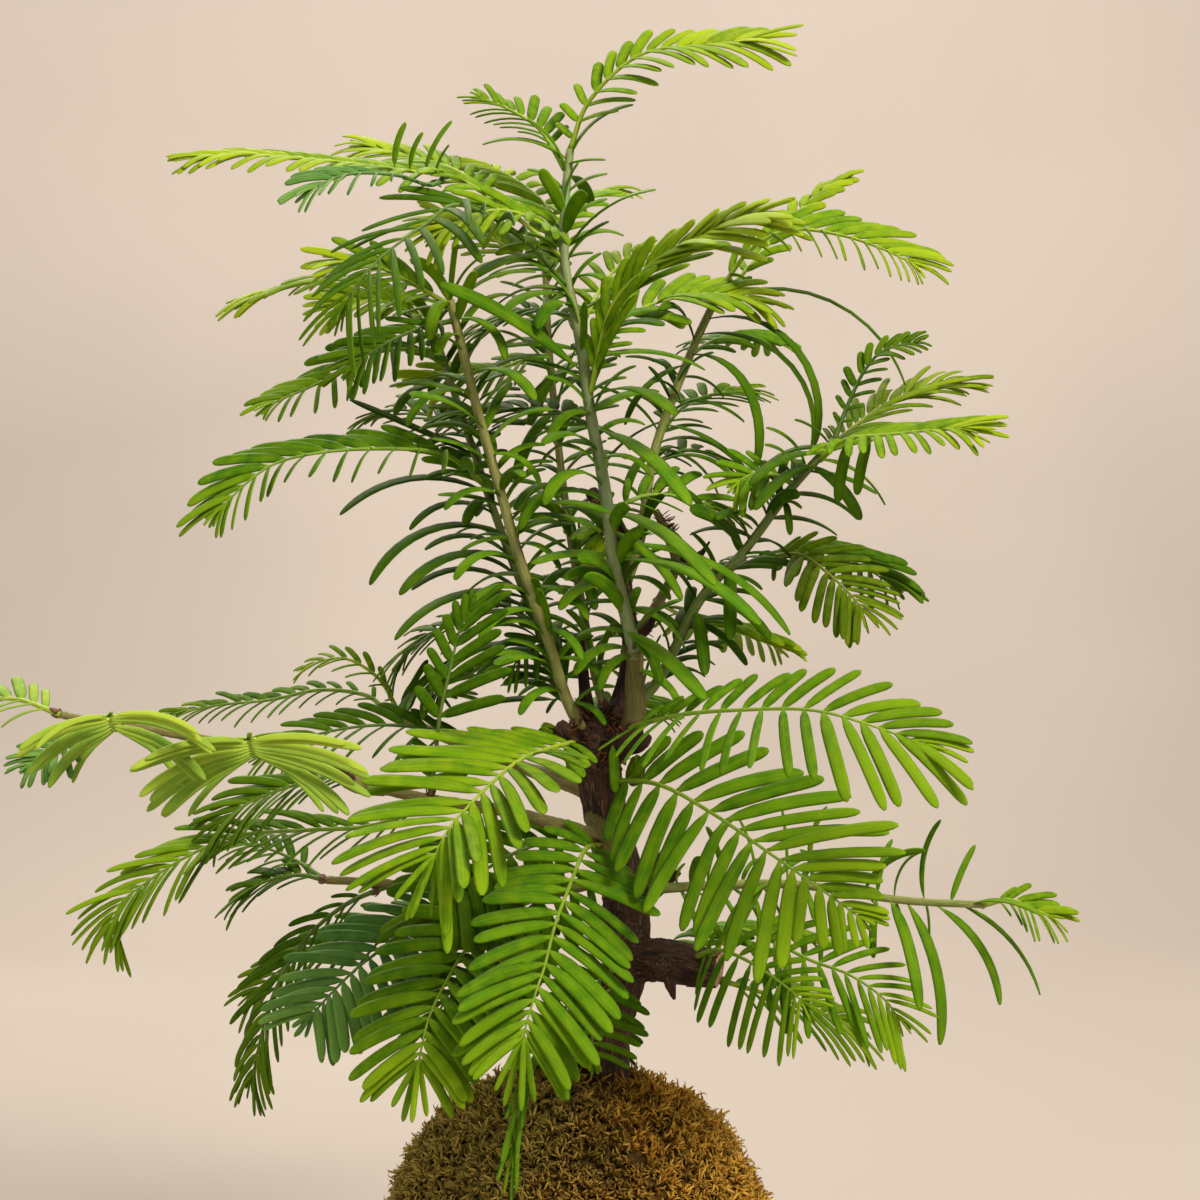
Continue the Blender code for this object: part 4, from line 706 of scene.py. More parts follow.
def set_attribute(mesh: bpy.types.Mesh, name: str, kind: str, values: list) -> None:
    """Stores one value a point under a name, of a type such as FLOAT_VECTOR."""
    attribute = mesh.attributes.new(name, kind, "POINT")
    if kind == "FLOAT_VECTOR":
        attribute.data.foreach_set("vector", [number for value in values for number in value])
    else:
        attribute.data.foreach_set("value", values)


def applied(made: bpy.types.Object) -> bpy.types.Mesh:
    """Gives the mesh of an object with its modifiers worked in, and clears them."""
    graph = bpy.context.evaluated_depsgraph_get()
    mesh = bpy.data.meshes.new_from_object(made.evaluated_get(graph))
    made.modifiers.clear()
    return mesh


# Attributes that a grown piece keeps, for its finish
KEPT = ("form", "share", "tint", "grain", "material_index", "sharp_face")


def run_tree(name: str, mesh: bpy.types.Mesh, tree: bpy.types.NodeTree,
             inputs: dict) -> bpy.types.Object:
    """Runs a geometry tree on a mesh and gives the result as a plain object.

    Args:
        name: The new object's name.
        mesh: The mesh that the tree starts from.
        tree: The geometry tree.
        inputs: Value by input name.

    Returns:
        The object, with no modifier on it.
    """
    start = object_of(name + "_start", mesh)
    modifier = start.modifiers.new("Grow", "NODES")
    modifier.node_group = tree
    for item in tree.interface.items_tree:
        if item.in_out == "INPUT" and item.name in inputs:
            modifier[item.identifier] = inputs[item.name]
    result = applied(start)
    result.name = name
    own = [item.name for item in result.attributes if not item.is_internal and not item.is_required]
    for spent in (key for key in own if key not in KEPT):
        result.attributes.remove(result.attributes[spent])
    bpy.data.objects.remove(start)
    return object_of(name, result)


def hand_over(piece: bpy.types.Object, slot: str, *nodes: str) -> None:
    """Rides a finished piece on the plant's body, hides the solids that it replaces and logs its
    triangles.

    Args:
        piece: The piece.
        slot: The record's material slot. It is not used.
        *nodes: The solids that it replaces.
    """
    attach(piece, BODY)
    if nodes:
        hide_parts(*nodes)
    piece.data.calc_loop_triangles()
    log.info("%s: %d triangles", piece.name, len(piece.data.loop_triangles))


class Patterns:
    """Shader groups that several finishes share."""

    def __init__(self) -> None:
        """Builds each group once."""
        self.mottle = self.build_mottle()
        self.streak = self.build_streak()

    @staticmethod
    def build_mottle() -> bpy.types.NodeTree:
        """Builds soft uneven patches, as a value from 0 to 1."""
        graph = new_tree("Mottle", "ShaderNodeTree",
                         {"Vector": "Vector", "Scale": "Float", "Detail": "Float", "Low": "Float",
                          "High": "Float"}, {"Value": "Float"})
        given = graph.given
        cloud = graph.add("ShaderNodeTexNoise", {key: given[key]
                                                 for key in ("Vector", "Scale", "Detail")})
        spread = graph.add("ShaderNodeMapRange", {"Value": cloud.outputs[0], "From Min": given["Low"],
                                                  "From Max": given["High"]})
        graph.feed(graph.result["Value"], spread.outputs[0])
        return graph.tree

    @staticmethod
    def build_streak() -> bpy.types.NodeTree:
        """Builds streaks that run along Z of the vector, as a value from 0 to 1."""
        graph = new_tree("Streak", "ShaderNodeTree",
                         {"Vector": "Vector", "Across": "Float", "Along": "Float", "Detail": "Float"},
                         {"Value": "Float"})
        given = graph.given
        x, y, z = graph.quantity(given["Vector"]).parts()
        across, along = graph.quantity(given["Across"]), graph.quantity(given["Along"])
        stretched = graph.vector(x * across, y * across, z * along)
        cloud = graph.add("ShaderNodeTexNoise", {"Vector": stretched, "Scale": 1.0,
                                                 "Detail": given["Detail"]})
        graph.feed(graph.result["Value"], graph.ramp(cloud.outputs[0], 0.3, 0.7))
        return graph.tree


PATTERNS = Patterns()


class Paint:
    """A material in the making: its Principled shader and a graph to colour it."""

    def __init__(self, name: str, roughness: float, specular: float = 0.4) -> None:
        """Starts the material.

        Args:
            name: The material's name.
            roughness: The shader's plain roughness.
            specular: The shader's specular level.
        """
        self.material = bpy.data.materials.new(name)
        self.material.use_nodes = True
        self.graph = Graph(self.material.node_tree)
        self.shader = self.material.node_tree.nodes["Principled BSDF"]
        self.shader.inputs["Roughness"].default_value = roughness
        self.shader.inputs["Specular IOR Level"].default_value = specular

    def attribute(self, name: str) -> bpy.types.Node:
        """Adds a node that reads one of the mesh's attributes."""
        return self.graph.add("ShaderNodeAttribute", attribute_name=name, attribute_type="GEOMETRY")

    def number(self, name: str) -> Quantity:
        """Reads an attribute of one number."""
        return self.graph.quantity(self.attribute(name).outputs["Fac"])

    def vector(self, name: str) -> Quantity:
        """Reads a vector attribute."""
        return self.graph.quantity(self.attribute(name).outputs["Vector"])

    def place(self) -> Quantity:
        """Reads the object coordinates."""
        return self.graph.quantity(self.graph.add("ShaderNodeTexCoord").outputs["Object"])

    def pattern(self, tree: bpy.types.NodeTree, **inputs: object) -> Quantity:
        """Places one of the shared groups with this material's own values."""
        node = self.graph.add("ShaderNodeGroup", node_tree=tree)
        for name, value in inputs.items():
            self.graph.feed(node.inputs[name], value)
        return self.graph.quantity(node.outputs[0])

    def mottle(self, vector: Quantity, scale: float, detail: float = 3.0,
               low: float = 0.35, high: float = 0.65) -> Quantity:
        """Gives uneven patches from 0 to 1."""
        return self.pattern(PATTERNS.mottle, Vector=vector, Scale=scale, Detail=detail, Low=low,
                            High=high)

    def streak(self, vector: Quantity, across: float, along: float, detail: float = 3.0) -> Quantity:
        """Gives lengthwise streaks from 0 to 1."""
        return self.pattern(PATTERNS.streak, Vector=vector, Across=across, Along=along, Detail=detail)

    def finish(self, colour: object, roughness: object = None, height: object = None,
               depth: float = 0.1 * MM, strength: float = 0.5) -> bpy.types.Material:
        """Feeds the shader.

        Args:
            colour: The colour socket.
            roughness: What feeds the roughness, or None to keep the plain one.
            height: What feeds the bump, or None for none.
            depth: The bump's distance in metres.
            strength: The bump's strength.

        Returns:
            The material.
        """
        self.graph.feed(self.shader.inputs["Base Color"], colour)
        if roughness is not None:
            self.graph.feed(self.shader.inputs["Roughness"], roughness)
        if height is not None:
            bump = self.graph.add("ShaderNodeBump", {"Strength": strength, "Distance": depth,
                                                     "Height": height})
            self.graph.feed(self.shader.inputs["Normal"], bump.outputs[0])
        return self.material


Colour = tuple[float, float, float]


@dataclass(frozen=True)
class LeafFinish:
    """Skin of leaflets: a satin blade, paler along its middle and beneath, brighter when young, with a
    painted highlight along its edges.
    """

    name: str
    blade: Colour
    young: Colour
    shade: Colour
    # Pale colour of the midrib and the leaf base, also used for the painted highlight along the edges
    line: Colour
    under: Colour

    def material(self) -> bpy.types.Material:
        """Builds the leaflet's material.

        Returns:
            The material, which reads the attributes form, share and tint.
        """
        paint = Paint(self.name, 0.5, 0.06)
        graph = paint.graph
        x, y, z = paint.vector("form").parts()
        tint, share = paint.number("tint"), paint.number("share")
        skin = graph.vector(x * 1.3, tint * 60.0, y * 14.0)
        streak = paint.streak(skin, 2.4, 0.35, 4.0)
        cloud = paint.mottle(graph.vector(x * 1.3 + tint * 90.0, y * 14.0, share * 31.0), 0.35)
        young = graph.ramp(share + y * 0.12 + tint * 0.16 - 0.08, 0.45, 1.05)
        colour = graph.mix(young, self.blade, self.young)
        colour = graph.mix(graph.ramp(tint, 0.0, 1.0, (0.6, 0.0)), colour, self.shade)
        colour = graph.mix(cloud * 0.38, colour, self.young)
        colour = graph.mix(streak * 0.15, colour, self.shade)
        line = graph.ramp(x.apply("ABSOLUTE"), 0.03, 0.22, (0.14, 0.0)) * graph.ramp(z, 0.0, 0.2)
        colour = graph.mix(line, colour, self.line)
        colour = graph.mix(graph.ramp(y, 0.0, 0.14, (0.40, 0.0)), colour, self.line)
        colour = graph.mix(graph.ramp(z, -0.25, 0.0, (0.45, 0.0)), colour, self.under)
        # Painted highlight: the edges of each blade lightened towards the line colour
        rim = graph.ramp(x.apply("ABSOLUTE"), 0.72, 1.0, (0.0, 0.24))
        colour = graph.mix(rim, colour, self.line)
        paint.shader.inputs["Specular Tint"].default_value = (0.80, 1.0, 0.35, 1.0)
        paint.shader.inputs["Subsurface Weight"].default_value = 0.12
        paint.shader.inputs["Subsurface Radius"].default_value = (0.6, 1.0, 0.15)
        paint.shader.inputs["Subsurface Scale"].default_value = 0.6 * MM
        return paint.finish(colour, graph.ramp(streak, 0.0, 1.0, (0.50, 0.62)), streak, 0.05 * MM, 0.22)


@dataclass(frozen=True)
class StalkFinish:
    """Skin of ribs and green stems: smooth, with lengthwise streaks of two colours."""

    name: str
    light: Colour
    dark: Colour
    fleck: Colour
    two_sided: float = 0.0

    def material(self) -> bpy.types.Material:
        """Builds the stalk's material.

        Returns:
            The material, which reads the attribute grain.
        """
        paint = Paint(self.name, 0.5, 0.35)
        graph = paint.graph
        grain = paint.vector("grain") * (1 / MM)
        streak = paint.streak(grain, 1.3, 0.09, 3.0)
        fine = paint.streak(grain, 4.0, 0.5, 3.0)
        patch = paint.mottle(paint.place(), 70.0)
        side = graph.ramp(grain.parts()[0] + streak - 0.5, -0.4, 0.4)
        colour = graph.mix(side * self.two_sided + streak * (1.0 - self.two_sided), self.light,
                           self.dark)
        colour = graph.mix(patch * 0.45, colour, self.dark)
        colour = graph.mix(graph.ramp(fine, 0.75, 1.0, (0.0, 0.5)), colour, self.fleck)
        return paint.finish(colour, graph.ramp(fine, 0.0, 1.0, (0.42, 0.6)), fine, 0.08 * MM, 0.4)


@dataclass(frozen=True)
class BarkFinish:
    """Bark: dark red-brown fibres with paler flakes, and pale wood where it was sawn."""

    name: str
    deep: Colour
    red: Colour
    flake: Colour
    wood: Colour
    heart: Colour
    young: Colour
    green: Colour

    def material(self) -> bpy.types.Material:
        """Builds the bark's material.

        Returns:
            The material, which reads the attributes grain, cut and young.
        """
        paint = Paint(self.name, 0.8, 0.3)
        graph = paint.graph
        grain = paint.vector("grain") * (1 / MM)
        fibre = paint.streak(grain, 1.1, 0.12, 4.0)
        fine = paint.streak(grain, 3.5, 0.5, 4.0)
        patch = paint.mottle(paint.place(), 160.0, 4.0)
        cut = paint.number("cut")
        colour = graph.mix(fibre, self.deep, self.red)
        colour = graph.mix(graph.ramp(fine, 0.62, 0.95, (0.0, 0.75)) * patch, colour, self.flake)
        colour = graph.mix(graph.ramp(patch, 0.0, 0.4, (0.5, 0.0)), colour, self.deep)
        twig = graph.mix(fibre * 0.6 + patch * 0.3, self.young, self.green)
        colour = graph.mix(paint.number("young") * graph.ramp(fine, 0.2, 0.9, (0.95, 0.6)), colour,
                           twig)
        ring = graph.ramp(paint.mottle(paint.place(), 420.0, 2.0), 0.2, 0.8)
        sawn = graph.mix(ring, self.wood, self.heart)
        colour = graph.mix(graph.ramp(cut, 0.45, 0.55), colour, sawn)
        relief = fibre * 0.6 + fine * 0.4
        return paint.finish(colour, graph.ramp(fine, 0.0, 1.0, (0.62, 0.9)), relief, 0.25 * MM, 0.7)


@dataclass(frozen=True)
class MossFinish:
    """Moss: dark among its roots, golden at its tips, in patches from olive to orange, with painted warm
    light that lightens its right side and a painted shadow of the plant that darkens its middle.
    """

    name: str
    root: Colour
    middle: Colour
    tip: Colour
    olive: Colour
    orange: Colour

    def material(self) -> bpy.types.Material:
        """Builds the moss's material.

        Returns:
            The material, which reads the attributes form and tint.
        """
        paint = Paint(self.name, 0.85, 0.2)
        graph = paint.graph
        height = paint.vector("form").parts()[2]
        tint = paint.number("tint")
        where = paint.place()
        side = where.parts()[0]
        patch = paint.mottle(where, 75.0, 3.0)
        # Rises from left to right: olive on the left and orange on the right, partly the moss's own
        # colour and partly painted warm light from the right
        warm = graph.ramp(side + (patch - 0.5) * (22 * MM), -14 * MM, 30 * MM)
        colour = graph.mix(graph.ramp(height, 0.15, 0.65), self.root, self.middle)
        colour = graph.mix(graph.ramp(height + tint * 0.35 - 0.17, 0.6, 1.05), colour, self.tip)
        green = graph.ramp(warm, 0.0, 0.45, (0.6, 0.0)) * graph.ramp(height, 0.1, 0.5)
        colour = graph.mix(green, colour, self.olive)
        colour = graph.mix(graph.ramp(tint * warm, 0.3, 0.8, (0.0, 0.55)), colour, self.orange)
        # Painted light: the upper sprigs on the right side lightened towards the tip colour
        painted_light_right = graph.ramp(side, 6 * MM, 32 * MM) * graph.ramp(height, 0.3, 0.9, (0.0, 0.6))
        colour = graph.mix(painted_light_right, colour, self.tip)
        # Painted shadow of the plant above: the middle of the mound darkened towards the root colour
        middle = graph.ramp((side - 2 * MM).apply("ABSOLUTE"), 3 * MM, 20 * MM, (0.35, 0.0))
        colour = graph.mix(middle, colour, self.root)
        return paint.finish(colour, None, paint.mottle(where, 1800.0, 2.0), 0.2 * MM, 0.4)


@dataclass(frozen=True)
class EarthFinish:
    """Stone, soil or fired clay: a base colour with patches and fine specks of two others."""

    name: str
    base: Colour
    patch: Colour
    speck: Colour
    patch_scale: float
    speck_scale: float
    roughness: float
    depth: float

    def material(self) -> bpy.types.Material:
        """Builds the material on object coordinates.

        Returns:
            The material.
        """
        paint = Paint(self.name, self.roughness, 0.35)
        graph = paint.graph
        where = paint.place()
        tint = paint.number("tint")
        patches = paint.mottle(where, self.patch_scale, 5.0)
        specks = paint.mottle(where, self.speck_scale, 2.0, 0.62, 0.7)
        grit = paint.mottle(where, self.speck_scale * 0.6, 4.0, 0.3, 0.7)
        colour = graph.mix(patches, self.base, self.patch)
        colour = graph.mix(tint * 0.5, colour, self.patch)
        colour = graph.mix(specks * 0.8, colour, self.speck)
        shine = graph.ramp(patches, 0.0, 1.0, (self.roughness - 0.1, min(self.roughness + 0.08, 1.0)))
        return paint.finish(colour, shine, grit - specks * 0.5, self.depth, 0.55)


LEAF_FINISHES = {
    Tone.FRESH: LeafFinish("leaf_fresh", (0.118, 0.252, 0.004), (0.345, 0.450, 0.010),
        (0.050, 0.145, 0.003), (0.36, 0.47, 0.03), (0.16, 0.25, 0.012)),
    Tone.MID: LeafFinish("leaf_mid", (0.068, 0.186, 0.004), (0.230, 0.365, 0.008),
        (0.026, 0.096, 0.003), (0.25, 0.38, 0.02), (0.10, 0.19, 0.010)),
    Tone.DARK: LeafFinish("leaf_dark", (0.042, 0.118, 0.002), (0.115, 0.210, 0.004),
        (0.017, 0.058, 0.001), (0.13, 0.23, 0.015), (0.06, 0.12, 0.008)),
    Tone.BLUE: LeafFinish("leaf_blue", (0.068, 0.180, 0.036), (0.16, 0.31, 0.055),
        (0.030, 0.100, 0.020), (0.16, 0.31, 0.05), (0.09, 0.19, 0.04)),
    Tone.OLIVE: LeafFinish("leaf_olive", (0.080, 0.148, 0.003), (0.21, 0.30, 0.007),
        (0.034, 0.072, 0.001), (0.22, 0.27, 0.02), (0.11, 0.15, 0.008)),
}
PALE_LEAF = LeafFinish("leaf_pale", (0.250, 0.390, 0.040), (0.42, 0.53, 0.045), (0.120, 0.260, 0.035),
                       (0.42, 0.54, 0.08), (0.20, 0.31, 0.03))
RIB_FINISHES = {
    Tone.FRESH: StalkFinish("rib_fresh", (0.42, 0.52, 0.03), (0.22, 0.36, 0.01), (0.52, 0.58, 0.08)),
    Tone.MID: StalkFinish("rib_mid", (0.30, 0.44, 0.02), (0.14, 0.27, 0.01), (0.42, 0.52, 0.07)),
    Tone.DARK: StalkFinish("rib_dark", (0.12, 0.21, 0.02), (0.06, 0.12, 0.01), (0.22, 0.28, 0.06)),
    Tone.BLUE: StalkFinish("rib_blue", (0.13, 0.26, 0.05), (0.07, 0.16, 0.03), (0.24, 0.36, 0.10)),
    Tone.OLIVE: StalkFinish("rib_olive", (0.24, 0.29, 0.02), (0.12, 0.16, 0.01), (0.34, 0.34, 0.07)),
}
STEM_FINISHES = {
    StemColour.TAN: StalkFinish("stem_tan", (0.40, 0.36, 0.110), (0.17, 0.22, 0.040),
        (0.52, 0.46, 0.20), 0.4),
    StemColour.BLUISH: StalkFinish("stem_bluish", (0.17, 0.26, 0.120), (0.33, 0.33, 0.085),
        (0.42, 0.44, 0.22), 0.75),
    StemColour.OLIVE: StalkFinish("stem_olive", (0.19, 0.24, 0.045), (0.09, 0.145, 0.020),
        (0.33, 0.33, 0.10), 0.3),
}
BARK = BarkFinish("bark", (0.012, 0.007, 0.004), (0.070, 0.027, 0.012), (0.24, 0.15, 0.085),
                  (0.52, 0.30, 0.19), (0.36, 0.19, 0.12), (0.30, 0.24, 0.080), (0.14, 0.15, 0.030))
BUD = StalkFinish("bud_scale", (0.26, 0.11, 0.05), (0.10, 0.04, 0.02), (0.40, 0.24, 0.12))
DEAD = LeafFinish("dead_leaf", (0.42, 0.10, 0.025), (0.55, 0.20, 0.04), (0.20, 0.05, 0.015),
                  (0.50, 0.22, 0.08), (0.36, 0.12, 0.05))
MOSS = MossFinish("moss", (0.050, 0.025, 0.005), (0.28, 0.150, 0.014), (0.64, 0.40, 0.065),
                  (0.290, 0.240, 0.048), (0.80, 0.36, 0.030))
SOIL = EarthFinish("soil", (0.035, 0.022, 0.014), (0.075, 0.045, 0.025), (0.16, 0.12, 0.08),
                   260.0, 900.0, 0.92, 0.4 * MM)
STONE = EarthFinish("pebble", (0.10, 0.13, 0.135), (0.19, 0.22, 0.22), (0.34, 0.36, 0.35),
                    300.0, 1500.0, 0.72, 0.12 * MM)
STONEWARE = EarthFinish("stoneware", (0.105, 0.058, 0.036), (0.060, 0.034, 0.024),
                        (0.022, 0.014, 0.011), 42.0, 620.0, 0.72, 0.10 * MM)


@dataclass
class Leaf:
    """One leaflet: a thin blade that leaves its root and bends over along its length."""

    root: Vector
    out: Vector
    upper: Vector
    length: float
    width: float
    rise: float
    droop: float
    sweep: float = 0.0
    roll: float = 0.0
    share: float = 0.0
    thickness: float = 0.42 * MM

    def section(self, along: float) -> tuple[Vector, Vector, Vector]:
        """Gives the blade's middle, its way across and its way up at a share of its length."""
        angle = self.rise - self.droop * along
        forward = self.length * (math.sin(self.rise) - math.sin(angle)) / self.droop
        lift = self.length * (math.cos(angle) - math.cos(self.rise)) / self.droop
        across = self.out.cross(self.upper)
        normal = self.upper * math.cos(angle) - self.out * math.sin(angle)
        middle = self.root + self.out * forward + self.upper * lift
        middle += across * (self.length * self.sweep * along * along)
        turned = across * math.cos(self.roll) + normal * math.sin(self.roll)
        return middle, turned, normal * math.cos(self.roll) - across * math.sin(self.roll)

    def probe(self, start: float, margin: float) -> tuple[list[Vector], list[tuple]]:
        """Gives a plain closed strip round the blade, to test what it would cross.

        Args:
            start: The share of the length that it starts at.
            margin: How much wider and thicker it is than the blade, in metres.

        Returns:
            Its points and faces.
        """
        points = []
        for along, breadth in ((start, 0.7), (0.4, 1.0), (0.72, 1.0), (1.0, 0.4)):
            middle, across, normal = self.section(along)
            half = across * (self.width * breadth / 2 + margin)
            lift = normal * (self.thickness / 2 + margin)
            points += [middle - half - lift, middle + half - lift, middle + half + lift,
                       middle - half + lift]
        return points, STRIP_FACES


def strip_faces(rings: int) -> list[tuple]:
    """Gives the faces of a closed strip of that many rings of four points."""
    last = 4 * rings
    return [(0, 1, 2, 3), (last - 1, last - 2, last - 3, last - 4)] + bridge(rings, 4)


STRIP_FACES = strip_faces(4)


class Skeleton:
    """Stalks and leaf roots, which the growth tree turns into a plant part."""

    STALK_STEP = 1.2 * MM

    def __init__(self) -> None:
        """Starts with no stalk and no leaf."""
        self.stalks: list[list[tuple[Vector, float]]] = []
        self.leaves: list[Leaf] = []

    def add_stalk(self, route: Route, start: float, end: float, radius: object) -> None:
        """Adds a stalk.

        Args:
            route: The line that it follows.
            start: Where it starts along that line.
            end: Where it ends.
            radius: A function from the distance along the line to the radius in metres.
        """
        count = max(4, round((end - start) / self.STALK_STEP))
        stops = [start + (end - start) * i / count for i in range(count + 1)]
        self.stalks.append([(route.at(stop), radius(stop)) for stop in stops])

    def mesh(self, name: str) -> bpy.types.Mesh:
        """Writes the skeleton as a mesh of edges and loose points with attributes.

        Args:
            name: The mesh's name.

        Returns:
            The mesh.
        """
        points, edges, radii = [], [], []
        for stalk in self.stalks:
            first = len(points)
            edges += [(first + i, first + i + 1) for i in range(len(stalk) - 1)]
            points += [point for point, _ in stalk]
            radii += [radius for _, radius in stalk]
        bare, zero = len(points), Vector((0, 0, 0))
        leaves = self.leaves
        points += [leaf.root for leaf in leaves]
        mesh = plain_mesh(name, points, [], edges)
        set_attribute(mesh, "stalk_radius", "FLOAT", radii + [0.0] * len(leaves))
        set_attribute(mesh, "is_leaf", "BOOLEAN", [False] * bare + [True] * len(leaves))
        set_attribute(mesh, "share", "FLOAT", [0.0] * bare + [leaf.share for leaf in leaves])
        set_attribute(mesh, "roll", "FLOAT", [0.0] * bare + [leaf.roll for leaf in leaves])
        vectors = {"root": points, "out": [zero] * bare + [leaf.out for leaf in leaves],
                   "upper": [zero] * bare + [leaf.upper for leaf in leaves],
                   "size": [zero] * bare + [(leaf.length, leaf.width, leaf.thickness)
                                            for leaf in leaves],
                   "bend": [zero] * bare + [(leaf.rise, leaf.droop, leaf.sweep) for leaf in leaves]}
        for key, values in vectors.items():
            set_attribute(mesh, key, "FLOAT_VECTOR", values)
        return mesh


@dataclass
class Blade:
    """The plain leaf that every leaf is bent from: one long, two wide, its form as an attribute."""

    name: str
    # Share of the length and of the half width at each ring
    outline: tuple = ((0.0, 0.24), (0.05, 0.40), (0.12, 0.74), (0.24, 0.95), (0.42, 1.0), (0.62, 1.0),
                      (0.80, 0.98), (0.90, 0.88), (0.96, 0.66), (1.0, 0.26))
    # Across and up round each ring, from the left rim over the top, with a groove in the middle
    ring: tuple = ((-1.0, 0.0), (-0.6, 0.46), (0.0, 0.30), (0.6, 0.46), (1.0, 0.0), (0.0, -0.50))

    def build(self) -> bpy.types.Object:
        """Builds the leaflet and hides it.

        Returns:
            The object that the growth tree copies.
        """
        points, sides = [], len(self.ring)
        for along, breadth in self.outline:
            thick = 0.45 + 0.55 * breadth
            points += [Vector((x * breadth, along, z * thick)) for x, z in self.ring]
        faces = bridge(len(self.outline), sides) + ends_of(len(points), sides)
        return template(self.name, formed(plain_mesh(self.name, points, faces)))


LEAFLET = Blade("leaflet")
LONG_LEAF = Blade("long_leaf", outline=((0.0, 0.14), (0.04, 0.20), (0.09, 0.42), (0.15, 0.70),
                                        (0.23, 0.90), (0.32, 0.98), (0.42, 1.0), (0.52, 1.0),
                                        (0.62, 1.0), (0.71, 0.98), (0.79, 0.95), (0.86, 0.88),
                                        (0.92, 0.76), (0.96, 0.60), (0.985, 0.42), (1.0, 0.18)),
                  ring=((-1.0, 0.0), (-0.6, 0.46), (0.0, 0.26), (0.6, 0.46), (1.0, 0.0), (0.5, -0.34),
                        (0.0, -0.52), (-0.5, -0.34)))


SCALE = Blade("scale", ((0.0, 0.55), (0.35, 1.0), (0.75, 0.75), (1.0, 0.15)),
              ((-1.0, 0.0), (0.0, 0.6), (1.0, 0.0), (0.0, -0.4)))


class GrowthTree:
    """The geometry tree that grows stalks and leaves from a skeleton."""

    def __init__(self) -> None:
        """Builds the tree."""
        graph = new_tree("Grow stalks and leaves", "GeometryNodeTree",
                         {"Skeleton": "Geometry", "Blade": "Object", "Stalk sides": "Int",
                          "Seed": "Int", "Leaf finish": "Material", "Stalk finish": "Material"},
                         {"Plant": "Geometry"})
        self.graph = graph
        self.tree = graph.tree
        is_leaf = graph.read("is_leaf", "BOOLEAN")
        split = graph.add("GeometryNodeSeparateGeometry",
                          {"Geometry": graph.given["Skeleton"], "Selection": is_leaf}, domain="POINT")
        blades = self.grow_blades(split.outputs["Selection"])
        stalks = self.grow_stalks(split.outputs["Inverted"])
        joined = graph.add("GeometryNodeJoinGeometry")
        for part in (blades, stalks):
            graph.feed(joined.inputs[0], part)
        smooth = graph.add("GeometryNodeSetShadeSmooth", {"Geometry": joined.outputs[0]})
        whole = graph.add("GeometryNodeRealizeInstances", {"Geometry": smooth.outputs[0]})
        stalk = graph.add("GeometryNodeSetMaterial",
                          {"Geometry": whole.outputs[0], "Material": graph.given["Stalk finish"]})
        leaf = graph.add("GeometryNodeSetMaterial", {"Geometry": stalk.outputs[0], "Selection": is_leaf,
                                                     "Material": graph.given["Leaf finish"]})
        graph.feed(graph.result["Plant"], leaf.outputs[0])

    def grow_blades(self, roots: bpy.types.NodeSocket) -> bpy.types.NodeSocket:
        """Copies the blade to each root and bends each copy over.

        Args:
            roots: The leaf roots.

        Returns:
            The leaves.
        """
        graph = self.graph
        draw = graph.add("FunctionNodeRandomValue", {"Seed": graph.given["Seed"]}, data_type="FLOAT")
        tinted = graph.store(roots, "tint", "FLOAT", draw.outputs[1])
        source = graph.add("GeometryNodeObjectInfo", {"Object": graph.given["Blade"]})
        copies = graph.add("GeometryNodeInstanceOnPoints",
                           {"Points": tinted, "Instance": source.outputs["Geometry"]})
        loose = graph.add("GeometryNodeRealizeInstances", {"Geometry": copies.outputs[0]})
        x, y, z = graph.read("form", "FLOAT_VECTOR").parts()
        length, width, thickness = graph.read("size", "FLOAT_VECTOR").parts()
        rise, droop, sweep = graph.read("bend", "FLOAT_VECTOR").parts()
        roll = graph.read("roll", "FLOAT")
        root, out, upper = (graph.read(key, "FLOAT_VECTOR") for key in ("root", "out", "upper"))
        angle = rise - droop * y
        forward = length * (rise.apply("SINE") - angle.apply("SINE")) / droop
        lift = length * (angle.apply("COSINE") - rise.apply("COSINE")) / droop
        across = out.cross(upper)
        normal = upper * angle.apply("COSINE") - out * angle.apply("SINE")
        turned = across * roll.apply("COSINE") + normal * roll.apply("SINE")
        facing = normal * roll.apply("COSINE") - across * roll.apply("SINE")
        middle = root + out * forward + upper * lift + across * (length * sweep * y * y)
        spot = middle + turned * (x * width * 0.5) + facing * (z * thickness)
        bent = graph.add("GeometryNodeSetPosition", {"Geometry": loose.outputs[0], "Position": spot})
        return bent.outputs[0]

    def grow_stalks(self, chains: bpy.types.NodeSocket) -> bpy.types.NodeSocket:
        """Sweeps a round section along each chain of edges.

        Args:
            chains: The chains.

        Returns:
            The stalks, with their grain as a vector of two ways across and the distance along.
        """
        graph = self.graph
        line = graph.add("GeometryNodeMeshToCurve", {"Mesh": chains})
        reached = graph.add("GeometryNodeSplineParameter")
        measured = graph.add("GeometryNodeCaptureAttribute", domain="POINT")
        measured.capture_items.new("FLOAT", "Reached")
        graph.feed(measured.inputs[0], line.outputs[0])
        graph.feed(measured.inputs[1], reached.outputs["Length"])
        ring = graph.add("GeometryNodeCurvePrimitiveCircle",
                         {"Resolution": graph.given["Stalk sides"], "Radius": 1.0})
        spot = graph.add("GeometryNodeInputPosition")
        section = graph.add("GeometryNodeCaptureAttribute", domain="POINT")
        section.capture_items.new("VECTOR", "Spot")
        graph.feed(section.inputs[0], ring.outputs[0])
        graph.feed(section.inputs[1], spot.outputs[0])
        radius = graph.read("stalk_radius", "FLOAT")
        swept = graph.add("GeometryNodeCurveToMesh",
                          {"Curve": measured.outputs[0], "Profile Curve": section.outputs[0],
                           "Scale": radius, "Fill Caps": True})
        across = graph.quantity(section.outputs[1]) * radius
        along = graph.quantity(measured.outputs[1])
        return graph.store(swept.outputs[0], "grain", "FLOAT_VECTOR",
                           across + graph.vector(0.0, 0.0, along))


